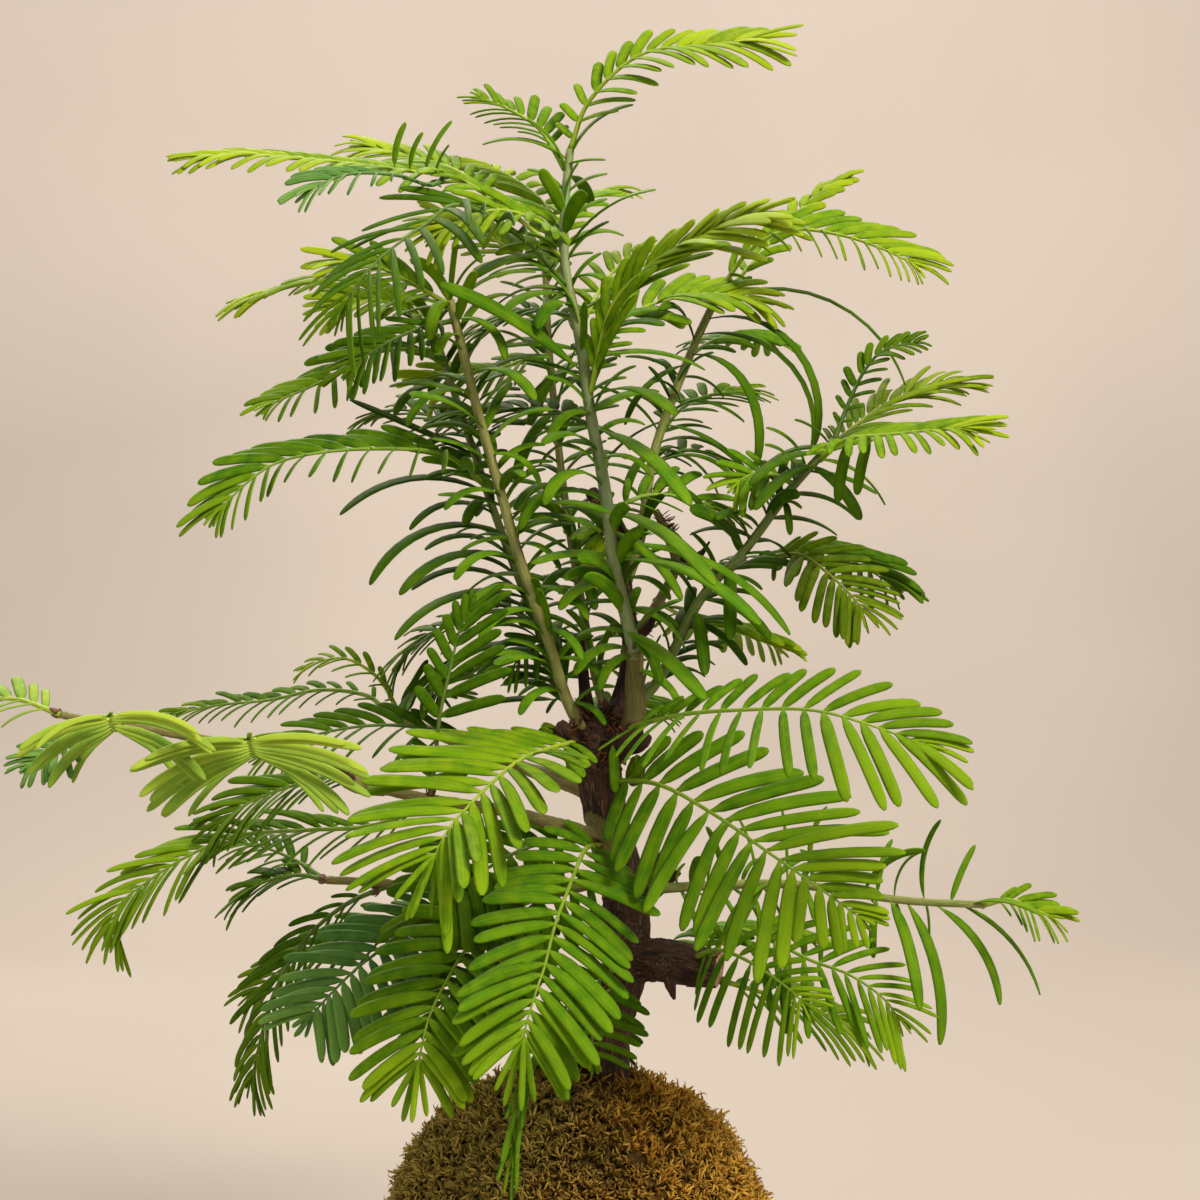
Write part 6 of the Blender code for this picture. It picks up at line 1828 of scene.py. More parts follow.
# Small fronds that fill the crown from within, in the silhouette of the large ones
INNER_SPRAYS = {
    "spray_crown_second": Frond("frond_upper_left_long", ((-16, -3, 248), (-24, 6, 254), (-34, 12, 257),
        (-43, 16, 259)), (0.2, -0.5, 0.85), 12, 9, Tone.FRESH, dict(DENSE_INNER, youth=0.1)),
    "spray_crown_back": Frond("stem_leader", ((-2, -3, 231), (-9, 6, 236), (-20, 12, 242),
        (-28, 16, 245)), (0, -0.5, 0.85), 13, 9, Tone.FRESH, DENSE_INNER),
    "spray_crown_front": Frond("stem_leader", ((-1, -4, 240), (-8, -12, 244), (-15, -16, 246),
        (-23, -18, 244), (-29, -20, 240)), (0, -0.6, 0.8), 11, 10, Tone.FRESH,
        dict(DENSE_INNER, youth=0.1)),
    "spray_left_inner": Frond("stem_left_back", ((-28, 13, 221), (-34, 8, 226), (-41, 4, 228),
        (-49, 2, 226)), (0, -0.6, 0.8), 12, 8, Tone.FRESH, DENSE_INNER),
    "spray_centre_right": Frond("stem_leader", ((7, -9, 186), (15, -4, 189), (24, 0, 188),
        (32, 2, 184)), (0, -0.6, 0.8), 12, 8, Tone.MID),
    "spray_left_front_top": Frond("stem_left_front", ((-25, -14, 227), (-34, -16, 232), (-41, -18, 235),
        (-49, -20, 235)), (0, -0.5, 0.85), 12, 9, Tone.FRESH, dict(DENSE_INNER, youth=0.0)),
    "spray_left_front_low": Frond("stem_left_front", ((-24, -13, 224), (-32, -20, 222), (-40, -24, 218),
        (-46, -26, 213)), (0, -0.6, 0.8), 11, 9, Tone.DARK),
    "spray_behind_stems": Frond("stem_back", ((-5, 24, 217), (-10, 24, 216), (-16, 24, 214),
        (-24, 22, 213), (-31, 20, 211)), (0, -0.5, 0.85), 11, 10, Tone.FRESH, DENSE_INNER),
    "spray_leader_left": Frond("stem_leader", ((0, -6, 224), (-6, 2, 226), (-13, 8, 225),
        (-20, 12, 220)), (0, -0.5, 0.85), 11, 8, Tone.MID, DENSE_INNER),
    "spray_centre_left": Frond("stem_leader", ((3, -8, 203), (-5, 0, 206), (-15, 4, 206),
        (-26, 6, 204)), (0, -0.4, 0.9), 14, 9, Tone.DARK),
    "spray_right_under": Frond("stem_leader", ((2, -7, 214), (7, -2, 222), (15, 2, 227), (24, 3, 229),
        (32, 3, 229), (39, 2, 227)), (-0.1, -0.5, 0.85), 13, 12, Tone.FRESH,
        dict(lower_row=(6.0, 0.15, 8.0))),
    "spray_right_thin": Frond("stem_upper_right", ((17, 7, 201), (21, 16, 206), (27, 26, 209),
        (36, 34, 210)), (0, -0.4, 0.9), 12, 8, Tone.MID),
    "spray_right_low": Frond("stem_upper_right", ((15, 6, 195), (23, 14, 198), (31, 20, 195),
        (38, 24, 190)), (0, -0.4, 0.9), 12, 8, Tone.DARK),
    "spray_right_comb": Frond("frond_right_dark", ((38, 12, 176), (45, 6, 177), (51, 2, 173),
        (56, 0, 168), (59, -2, 163)), (0.2, -0.8, 0.6), 15, 9, Tone.OLIVE, dict(narrowness=0.125,
        pair_share=1.5, youth=-0.25, sides=(0.85, 0.85))),
    "spray_right_hanging": Frond("stem_right", ((44, -8, 191), (40, -9, 193), (35, -10, 193),
        (31, -11, 190)), (0, -0.7, 0.7), 9, 6, Tone.MID),
    "spray_left_thin": Frond("trunk", ((-36, -24, 130), (-46, -22, 133), (-56, -22, 131),
        (-66, -22, 127), (-72, -22, 122)), (0, -0.4, 0.9), 14, 14, Tone.DARK, dict(narrowness=0.14,
        splay=(50.0, 22.0), lower_row=(4.0, 0.6, 6.0), youth=0.3)),
    "spray_left_shade": Frond("trunk", ((-50, 4, 112), (-56, 10, 116), (-64, 14, 119), (-71, 16, 119)),
        (0, -0.5, 0.85), 9, 8, Tone.DARK),
    "spray_left_back": Frond("trunk", ((-36, 34, 145), (-33, 28, 149), (-29, 22, 150), (-25, 16, 148)),
        (0, -0.7, 0.7), 14, 8, Tone.DARK, dict(narrowness=0.15, splay=(50.0, 22.0))),
    "spray_centre_low": Frond("stem_back", ((3, 12, 157), (-3, 4, 160), (-9, -2, 158), (-14, -6, 153)),
        (0, -0.6, 0.8), 9, 7, Tone.DARK),
    "spray_front_left_shade": Frond("trunk", ((2, -3, 120), (-8, -9, 119), (-18, -14, 114),
        (-26, -18, 107), (-31, -20, 100)), (-0.1, -0.8, 0.6), 16, 10, Tone.DARK),
    "spray_front_low_shade": Frond("trunk", ((-4, -2, 109.5), (-12, -8, 104), (-20, -13, 96),
        (-26, -17, 88), (-29, -18, 80)), (-0.1, -0.85, 0.5), 15, 10, Tone.DARK),
    "spray_stub_front": Frond("trunk", ((24, -9, 97), (29, -14, 98), (36, -18, 95), (43, -21, 90),
        (48, -23, 85)), (0, -0.85, 0.5), 14, 9, Tone.MID, dict(narrowness=0.11, splay=(76.0, 40.0),
        sides=(0.7, 1.1))),
    "spray_low_front": Frond("trunk", ((7, -4, 94), (5, -10, 92), (3.5, -16, 86), (3.5, -20, 79),
        (4, -22, 74)), (0.1, -0.9, 0.4), 11, 8, Tone.DARK, dict(splay=(88.0, 14.0), narrowness=0.19,
        pair_share=1.0, lean=0.0)),
    "spray_centre_light": Frond("stem_back", ((0, 17, 180), (4, 12, 184), (6, 8, 182), (7, 4, 176)),
        (0.2, -0.8, 0.5), 10, 7, Tone.FRESH),
}

# Wood with dry scales on it: middle, reach, how many, and the longest in millimetres
SCALY_WOOD = (((4, -2, 142), 7.5, 70, 3.2), ((7, -2, 136), 6.0, 16, 2.4), ((17, 14, 184), 4.5, 20, 3.4),
              ((14, 8, 164), 4.0, 8, 2.6), ((6, 7, 184), 5.0, 10, 2.6), ((10, 0, 97), 6.0, 10, 2.2))
# Closed buds: root, way and length in millimetres
FAT_BUDS = (((11.5, -5, 131), (0.2, -0.4, 1.0), 7.0), ((-4, -4, 141), (-0.9, -0.5, 0.5), 4.0))


class Foliage:
    """All stems and fronds, grown together so that their leaves stay clear of each other."""

    BUD_SCALES = 6
    FAT_BUD_SCALES = 8

    def __init__(self) -> None:
        """Builds the trees, the blade and the materials that the plant parts share."""
        self.growth = GrowthTree().tree
        self.leaflet = LEAFLET.build()
        self.long_leaf = LONG_LEAF.build()
        self.scale = SCALE.build()
        self.leaf_materials = {tone: finish.material() for tone, finish in LEAF_FINISHES.items()}
        self.pale_leaf = PALE_LEAF.material()
        self.rib_materials = {tone: finish.material() for tone, finish in RIB_FINISHES.items()}
        self.stem_materials = {colour: finish.material() for colour, finish in STEM_FINISHES.items()}
        self.carriers = {name: search_tree(node) for name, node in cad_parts.items()}

    def grown(self, name: str, skeleton: Skeleton, blade: bpy.types.Object, sides: int,
              leaf: bpy.types.Material, stalk: bpy.types.Material) -> bpy.types.Object:
        """Grows a skeleton into a plain object."""
        inputs = {"Blade": blade, "Stalk sides": sides, "Seed": len(name) + 7, "Leaf finish": leaf,
                  "Stalk finish": stalk}
        return run_tree(name, skeleton.mesh(name + "_skeleton"), self.growth, inputs)

    def build(self) -> None:
        """Grows every stem and frond, with bud scales where they leave the wood."""
        surfaces = Surfaces()
        for name in ("moss", "stone", "bowl", "trunk"):
            surfaces.trees[name] = [self.carriers[name]]
        stems = [StemShape(name, stem, self.carriers["trunk"]) for name, stem in STEMS.items()]
        fronds, sprays = ([FrondShape(name, frond, self.carriers[frond.carrier], **frond.looks)
                           for name, frond in table.items()] for table in (FRONDS, INNER_SPRAYS))
        for stem in stems:
            surfaces.add(stem.name, *stem.sleeve())
        for stem in stems:
            stem.grow(surfaces)
        for frond in fronds + sprays:
            frond.grow(surfaces)
        for stem in stems:
            colour, tone, _ = STEM_LOOKS[stem.name]
            piece = self.grown(stem.name + "_grown", stem.skeleton, self.long_leaf, 14,
                               self.leaf_materials[tone], self.stem_materials[colour])
            hand_over(piece, "green_stem", stem.name)
        for frond in fronds:
            tone = frond.frond.tone
            leaf = self.pale_leaf if frond.pale else self.leaf_materials[tone]
            piece = self.grown(frond.name + "_grown", frond.skeleton, self.leaflet, 8, leaf,
                               self.rib_materials[tone])
            hand_over(piece, f"leaf_{tone.value}", frond.name)
        for tone in Tone:
            skeleton = Skeleton()
            for spray in (spray for spray in sprays if spray.frond.tone is tone):
                skeleton.stalks += spray.skeleton.stalks
                skeleton.leaves += spray.skeleton.leaves
            if skeleton.leaves:
                hand_over(self.grown(f"inner_sprays_{tone.value}", skeleton, self.leaflet, 8,
                                     self.leaf_materials[tone], self.rib_materials[tone]),
                          f"leaf_{tone.value}")
        self.build_bud_scales(stems, [frond for frond in fronds if frond.frond.carrier == "trunk"])
        self.build_dead_leaf()

    def build_bud_scales(self, stems: list[StemShape], fronds: list[FrondShape]) -> None:
        """Sets a ring of small brown scales round the root of each shoot on the wood."""
        skeleton = Skeleton()
        for shoot in stems + fronds:
            start = getattr(shoot, "start", 2.5 * MM)
            ahead = shoot.route.along(start)
            side = ahead.orthogonal().normalized()
            radius = shoot.radius(start)
            for i in range(self.BUD_SCALES):
                way = Matrix.Rotation(math.tau * i / self.BUD_SCALES + shoot.noise.uniform(-0.4, 0.4),
                                      3, ahead) @ side
                root = shoot.route.at(start - 0.8 * MM) + way * radius * 0.75
                out = (ahead + way * shoot.noise.uniform(0.15, 0.6)).normalized()
                upper = (way - out * way.dot(out)).normalized()
                skeleton.leaves.append(Leaf(root, out, upper, shoot.noise.uniform(1.3, 2.2) * MM,
                                            1.0 * MM, 0.3, 0.7, thickness=0.3 * MM))
        self.add_loose_scales(skeleton)
        bud = BUD.material()
        hand_over(self.grown("bud_scales", skeleton, self.scale, 3, bud, bud), "bark")
        self.build_fat_buds()

    @staticmethod
    def add_loose_scales(skeleton: Skeleton) -> None:
        """Adds dry scales that stand off the wood round the knob and at the tip of the dead fork."""
        draw = random.Random(31)
        vertices = bpy.data.objects["wood"].data.vertices
        for reading, reach, count, longest in SCALY_WOOD:
            middle = place(reading)
            near = [vertex for vertex in vertices if (vertex.co - middle).length < reach * MM]
            for vertex in draw.sample(near, min(count, len(near))):
                normal = vertex.normal
                out = (normal * draw.uniform(0.3, 1.0) + Vector((0, 0,
                        draw.uniform(0.2, 1.0)))).normalized()
                upper = (normal - out * normal.dot(out)).normalized()
                skeleton.leaves.append(Leaf(vertex.co - normal * 0.2 * MM, out, upper,
                                            draw.uniform(0.5, 1.0) * longest * MM, 1.3 * MM, 0.2, -0.5,
                                            roll=draw.uniform(-0.5, 0.5), thickness=0.25 * MM))

    def build_fat_buds(self) -> None:
        """Grows closed green buds beside the trunk, each of long scales round one axis."""
        skeleton = Skeleton()
        for reading, way, length in FAT_BUDS:
            axis = Vector(way).normalized()
            side = axis.orthogonal().normalized()
            root = place(reading)
            for i in range(self.FAT_BUD_SCALES):
                around = Matrix.Rotation(math.tau * i / self.FAT_BUD_SCALES, 3, axis) @ side
                skeleton.leaves.append(Leaf(root + around * 0.5 * MM, axis, around,
                                            length * (1 - 0.03 * i) * MM, 2.8 * MM, 0.55, 1.25,
                                            share=0.1))
        leaf = self.leaf_materials[Tone.OLIVE]
        hand_over(self.grown("fat_buds", skeleton, self.leaflet, 3, leaf, leaf), "leaf_olive")

    def build_dead_leaf(self) -> None:
        """Hangs a few shrivelled orange leaflets on the long left branch."""
        skeleton = Skeleton()
        root = place((-97, -48, 143))
        for across, up, droop in ((-0.6, -0.55, 1.9), (-0.85, -0.2, 1.4), (-0.3, -0.8, 1.1)):
            out = Vector((across, -0.5, up)).normalized()
            upper = (Vector((0, -0.4, 1)) - out * out.dot(Vector((0, -0.4, 1)))).normalized()
            skeleton.leaves.append(Leaf(root, out, upper, 6.5 * MM, 1.3 * MM, 0.3, droop, roll=0.5))
        dead = DEAD.material()
        hand_over(self.grown("dead_leaflets", skeleton, self.leaflet, 3, dead, dead), "leaf_olive")


@dataclass
class Wood:
    """The trunk and its branches in one skin of fibrous bark, with sawn ends."""

    voxel: float = 0.45 * MM
    sides: int = 20
    step: float = 1.6 * MM
    relief: float = 0.42 * MM
    samples: int = 160
    cut_margin: float = 0.25 * MM
    cut_reach: float = 4.6 * MM
    spurs: tuple = (
        ((18, -2, 96, 1.6), (19, -6, 91, 1.1), (20, -8, 88, 0.4)),
        ((10, 0, 100, 1.8), (6, -6, 102, 1.0), (5, -8, 105, 0.5)),
        ((4, -1, 139, 2.2), (-1, -5, 141, 1.8), (-3, -7, 143, 1.5)),
        ((9, -1, 139, 2.0), (13, -5, 139, 1.5), (15, -6, 141, 0.7)),
        ((12, 3, 160, 1.2), (15, 1, 163, 0.9), (17, 0, 167, 0.4)),
        ((21, 13, 175, 1.2), (25, 11, 177, 0.8), (27, 10, 180, 0.3)),
        ((-45, -28, 132, 1.2), (-47, -31, 134, 0.9), (-48, -33, 136, 0.5)),
        ((-38, -24, 130, 1.2), (-43, -27, 131, 1.75), (-48, -29, 133, 1.1)),
    )
    slimness: dict = field(default_factory=lambda: {"long_left_branch": 0.72, "low_left_twig": 0.82,
                                                    "back_left_branch": 0.85})
    green_limbs: tuple = ("leader_foot", "wood_fork", "long_left_branch", "low_left_twig",
                          "back_left_branch")

    def limbs(self) -> list[tuple[Route, list[float]]]:
        """Gives the line and the radii of the trunk, of each branch and of each spur."""
        rows = {"trunk": TRUNK, **BRANCHES, **dict(enumerate(self.spurs))}
        return [(Route([place(reading) for reading in row]),
                 [reading[3] * self.slimness.get(name, 1.0) for reading in row]) for name,
                row in rows.items()]

    def tube(self, number: int, route: Route, radii: list[float]) -> bpy.types.Object:
        """Builds one limb as a closed tube with a domed end."""
        count = max(4, round(route.length / self.step))
        points = []
        side = route.along(0).orthogonal().normalized()
        for i in range(count + 1):
            distance = route.length * i / count
            ahead = route.along(distance)
            side = (side - ahead * side.dot(ahead)).normalized()
            radius = route.value(radii, distance) * MM
            for j in range(self.sides):
                way = Matrix.Rotation(math.tau * j / self.sides, 3, ahead) @ side
                points.append(route.at(distance) + way * radius)
        faces = bridge(count + 1, self.sides) + ends_of(len(points), self.sides)
        return object_of(f"limb_{number}", plain_mesh(f"limb_{number}", points, faces))

    def build(self) -> None:
        """Joins the limbs into one skin and raises the bark."""
        limbs = self.limbs()
        tubes = [self.tube(number, *limb) for number, limb in enumerate(limbs)]
        trunk = tubes[0]
        group = bpy.data.collections.new("limbs")
        for limb in tubes[1:]:
            group.objects.link(limb)
        union = trunk.modifiers.new("Union", "BOOLEAN")
        union.operation = "UNION"
        union.operand_type = "COLLECTION"
        union.collection = group
        union.solver = "MANIFOLD"
        skin = trunk.modifiers.new("Skin", "REMESH")
        skin.mode = "VOXEL"
        skin.voxel_size = self.voxel * 1.0
        soft = trunk.modifiers.new("Soft", "SMOOTH")
        soft.factor = 0.5
        soft.iterations = 3
        mesh = applied(trunk)
        for limb in tubes:
            bpy.data.objects.remove(limb)
        bpy.data.collections.remove(group)
        self.raise_bark(mesh, limbs)
        mesh.shade_smooth()
        hand_over(object_of("wood", dress(mesh, BARK.material())), "bark", "trunk")

    def raise_bark(self, mesh: bpy.types.Mesh, limbs: list[tuple[Route, list[float]]]) -> None:
        """Moves the skin out and in along the fibres, and marks the sawn faces.

        Args:
            mesh: The skin.
            limbs: The lines and radii of the limbs.
        """
        places = [(limb, distance) for limb, (route, _) in enumerate(limbs)
                  for distance in (route.length * i / self.samples for i in range(self.samples + 1))]
        near = KDTree(len(places))
        for index, (limb, distance) in enumerate(places):
            near.insert(limbs[limb][0].at(distance), index)
        near.balance()
        ends = [limbs[1 + list(BRANCHES).index(name)][0] for name in ("thick_branch", "sawn_stub")]
        faces = [(route.at(route.length), route.along(route.length)) for route in ends]
        green = {1 + list(BRANCHES).index(name) for name in self.green_limbs} | {len(limbs) - 1}
        sides = {}
        grain, cut, young = [], [], []
        for vertex in mesh.vertices:
            point = vertex.co
            limb, distance = places[near.find(point)[1]]
            route, radii = limbs[limb]
            if limb not in sides:
                sides[limb] = route.along(route.length / 2).orthogonal().normalized()
            ahead = route.along(distance)
            away = point - route.at(distance)
            side = (sides[limb] - ahead * sides[limb].dot(ahead)).normalized()
            spot = Vector((away.dot(side), away.dot(ahead.cross(side)), distance + limb * 20 * MM))
            grain.append(spot)
            sawn = float(any(abs((point - end).dot(way)) < self.cut_margin
                             and (point - end).length < self.cut_reach for end, way in faces))
            cut.append(sawn)
            radius = route.value(radii, distance)
            size = min(1.0, radius / 4.0)
            young.append(1.0 - smoothstep(1.8, 2.8, radius) if limb in green else 0.0)
            ridge = 1 - abs(noise.noise(Vector((spot.x * 900, spot.y * 900, spot.z * 110)))) * 2.4
            flake = noise.noise(Vector((spot.x * 1900, spot.y * 1900, spot.z * 420)) + Vector((5, 0,
                    0)))
            knot = noise.noise(spot * 260)
            rise = (ridge * 0.6 + flake * 0.45 + knot * 0.8) * self.relief * (0.25 + 0.75 * size)
            if away.length > 1e-6 and not sawn:
                vertex.co += away.normalized() * rise
        set_attribute(mesh, "grain", "FLOAT_VECTOR", grain)
        set_attribute(mesh, "cut", "FLOAT", cut)
        set_attribute(mesh, "young", "FLOAT", young)


@dataclass
class Moss:
    """The coat of moss: a lumpy bed and thousands of curled sprigs that stand on it."""

    rings: int = 54
    segments: int = 150
    sunk: float = 1.5 * MM
    lumps: float = 1.5 * MM
    sprigs: int = 2650
    filaments: int = 4
    sprig_height: float = 3.0 * MM
    lean: float = 0.95

    def lump(self, point: Vector) -> float:
        """Gives how far the bed is raised at a point."""
        broad = noise.noise(point * 95)
        small = noise.noise(point * 260 + Vector((3, 1, 0)))
        rough = noise.noise(point * 640 + Vector((0, 7, 2)))
        return (broad + 0.5 * small + 0.35 * rough) * self.lumps

    def bed(self) -> bpy.types.Mesh:
        """Builds the bed as a closed dome over the soil."""
        lowest = math.acos((SOIL_LEVEL - MOUND_CENTRE.z) / MOUND_RADIUS)
        points, faces = [Vector((0, 0, 1))], []
        for ring in range(1, self.rings + 1):
            fall = lowest * ring / self.rings
            points += circle(math.sin(fall), math.cos(fall), self.segments)
        skin = []
        for way in points:
            spot = MOUND_CENTRE + way * MOUND_RADIUS
            skin.append(spot + way * (self.lump(spot) - self.sunk))
        for i in range(self.segments):
            j = (i + 1) % self.segments
            faces.append((0, 1 + i, 1 + j))
            for ring in range(self.rings - 1):
                base = 1 + ring * self.segments
                faces.append((base + i, base + self.segments + i, base + self.segments + j, base + j))
        last = 1 + (self.rings - 1) * self.segments
        faces.append(tuple(last + i for i in range(self.segments)))
        return plain_mesh("moss_bed", skin, faces)

    def sprig(self, seed: int) -> bpy.types.Object:
        """Builds one sprig of curled filaments from one root, their form as an attribute.

        Args:
            seed: What its filaments are drawn from.

        Returns:
            The hidden object that the scatter tree copies.
        """
        draw = random.Random(seed)
        points, faces = [], []
        for filament in range(self.filaments):
            turn = math.tau * filament / self.filaments + draw.uniform(-0.6, 0.6)
            reach, height = draw.uniform(0.45, 1.0), draw.uniform(0.55, 1.0)
            way, side = Vector((math.cos(turn), math.sin(turn), 0)), Vector((-math.sin(turn),
                    math.cos(turn), 0))
            first = len(points)
            for share, breadth in ((0.0, 1.0), (0.45, 1.15), (0.82, 0.75)):
                curl = share * 1.8
                middle = way * reach * (1 - math.cos(curl)) * 0.62 + way * 0.06
                middle.z = height * math.sin(curl)
                for i in range(3):
                    corner = math.tau * i / 3
                    edge = side * math.cos(corner) + way * math.sin(corner)
                    points.append(middle + edge * breadth * 0.085)
            points.append(middle + way * 0.26 - Vector((0, 0, 0.10)))
            faces += bridge(3, 3, first)
            faces += [(first + 6 + i, first + 6 + (i + 1) % 3, first + 9) for i in range(3)]
            faces.append((first + 2, first + 1, first))
        return template("sprig", formed(plain_mesh("sprig", points, faces)))

    def build(self, scatter: bpy.types.NodeTree) -> None:
        """Builds the bed and grows two layers of sprigs on it.

        Args:
            scatter: The tree that strews copies.
        """
        finish = MOSS.material()
        mesh = dress(self.bed(), finish)
        mesh.shade_smooth()
        heights = [(0.0, 0.0, 0.34 + 200 * self.lump(vertex.co)) for vertex in mesh.vertices]
        set_attribute(mesh, "form", "FLOAT_VECTOR", heights)
        ground = self.ground(mesh)
        area = sum(polygon.area for polygon in ground.polygons)
        count = self.sprigs // 1
        hand_over(object_of("moss_bed", mesh), "moss", "moss")
        for layer, (seed, tallest) in enumerate(((11, 1.0), (23, 1.25))):
            inputs = {"Copy": self.sprig(seed), "Density": count / area, "Lean": self.lean,
                      "Smallest": self.sprig_height * 0.6, "Largest": self.sprig_height * tallest,
                      "Seed": seed, "Finish": finish}
            hand_over(run_tree(f"moss_sprigs_{layer + 1}", ground.copy(), scatter, inputs), "moss")

    def ground(self, mesh: bpy.types.Mesh) -> bpy.types.Mesh:
        """Gives the part of the bed that sprigs stand on: not its base, nor under trunk and stone."""
        ground = mesh.copy()
        shape = bmesh.new()
        shape.from_mesh(ground)
        foot = Vector((FOOT_X, 0))
        bare = []
        for face in shape.faces:
            middle = face.calc_center_median()
            at_foot = (middle.xy - foot).length < FOOT_RADIUS + 0.6 * MM
            at_stone = (middle.xy - STONE_PLACE.xy).length < STONE_SIZE.x + 0.4 * MM
            if len(face.verts) > 4 or (middle.z > MOUND_CENTRE.z + 30 * MM and (at_foot or at_stone)):
                bare.append(face)
        bmesh.ops.delete(shape, geom=bare, context="FACES")
        shape.to_mesh(ground)
        shape.free()
        return ground


def turned(name: str, profile: list[tuple[float, float]], segments: int,
           relief: Callable) -> bpy.types.Mesh:
    """Turns a profile about the Z axis into a closed mesh.

    Args:
        name: The mesh's name.
        profile: Radius and height of each point. The first and the last lie on the axis.
        segments: How many segments the turn has.
        relief: A function that moves a point.

    Returns:
        The mesh.
    """
    points = [Vector((0, 0, profile[0][1]))]
    for radius, height in profile[1:-1]:
        points += [relief(point) for point in circle(radius, height, segments)]
    points.append(Vector((0, 0, profile[-1][1])))
    faces, last = [], 1 + (len(profile) - 3) * segments
    for i in range(segments):
        j = (i + 1) % segments
        faces.append((0, 1 + i, 1 + j))
        faces.append((last + j, last + i, len(points) - 1))
        for ring in range(len(profile) - 3):
            base = 1 + ring * segments
            faces.append((base + i, base + segments + i, base + segments + j, base + j))
    return plain_mesh(name, points, faces)


@dataclass
class Bowl:
    """The unglazed bowl: a thrown wall with a band at its lip, a flat foot and three drain holes."""

    radius: float = 46.5 * MM
    height: float = 40.0 * MM
    wall: float = 4.5 * MM
    floor: float = 5.0 * MM
    foot: float = 31.0 * MM
    drain: float = 3.0 * MM
    drain_circle: float = 16.0 * MM
    drains: int = 3
    segments: int = 144
    throwing: float = 0.10 * MM

    def profile(self) -> list[tuple[float, float]]:
        """Gives the wall's outline from the middle of the foot round the lip to the middle inside."""
        outer, wall, height = self.radius, self.wall, self.height
        outside = self.curve([(self.foot, 1.2 * MM), (outer * 0.87, height * 0.27),
                              (outer * 0.96, height * 0.60), (outer - 1.8 * MM, height - 6 * MM)], 9)
        inside = self.curve([(outer - wall, height - 1.4 * MM), (outer * 0.96 - wall, height * 0.60),
                             (outer * 0.87 - wall, height * 0.30), (self.foot - 3 * MM, self.floor)], 9)
        band = [(outer - 0.5 * MM, height - 5.4 * MM), (outer, height - 4.8 * MM),
                (outer, height - 1.6 * MM), (outer - 0.35 * MM, height - 0.6 * MM),
                (outer - 1.0 * MM, height - 0.12 * MM), (outer - 1.6 * MM, height),
                (outer - wall + 1.6 * MM, height), (outer - wall + 0.8 * MM, height - 0.2 * MM),
                (outer - wall + 0.2 * MM, height - 0.7 * MM)]
        foot = [(0, 0), (self.foot - 6 * MM, 0), (self.foot - 1.0 * MM, 0),
                (self.foot - 0.25 * MM, 0.35 * MM)]
        return foot + outside + band + inside + [(self.foot - 12 * MM, self.floor), (0, self.floor)]

    @staticmethod
    def curve(places: list[tuple[float, float]], steps: int) -> list[tuple[float, float]]:
        """Gives points of a smooth curve through places of the outline."""
        line = Route([Vector((radius, 0, height)) for radius, height in places])
        count = steps * (len(places) - 1)
        points = [line.at(line.length * i / count) for i in range(count + 1)]
        return [(point.x, point.z) for point in points]

    def throw(self, point: Vector) -> Vector:
        """Moves a point of the wall by the rings that the thrower's fingers left."""
        away = Vector((point.x, point.y, 0))
        if away.length < self.foot or point.z < 1.5 * MM or point.z > self.height - 5 * MM:
            return point
        turn = math.atan2(point.y, point.x)
        ring = math.sin(point.z * 2300 + turn) + 0.5 * math.sin(point.z * 5200 - turn * 2)
        ring += 0.8 * noise.noise(point * 90)
        return point + away.normalized() * ring * self.throwing

    def build(self) -> None:
        """Turns the bowl, bores its drain holes and hands it over."""
        bowl = object_of("bowl_thrown", turned("bowl_thrown", self.profile(), self.segments,
                                               self.throw))
        bits = []
        for i in range(self.drains):
            angle = math.tau * (i + 0.25) / self.drains
            bpy.ops.mesh.primitive_cylinder_add(vertices=40, radius=self.drain, depth=4 * self.floor,
                                                location=(math.cos(angle) * self.drain_circle,
                                                          math.sin(angle) * self.drain_circle, 0))
            bits.append(bpy.context.object)
            bore = bowl.modifiers.new("Drain", "BOOLEAN")
            bore.object = bits[-1]
            bore.solver = "EXACT"
        bevel = bowl.modifiers.new("Softened", "BEVEL")
        bevel.width = 0.3 * MM
        bevel.segments = 2
        bevel.limit_method = "ANGLE"
        bevel.angle_limit = math.radians(60)
        bowl.data = applied(bowl)
        for bit in bits:
            bpy.data.objects.remove(bit)
        bowl.data.shade_smooth()
        bowl.data.set_sharp_from_angle(angle=math.radians(50))
        dress(bowl.data, STONEWARE.material())
        hand_over(bowl, "stoneware", "bowl")


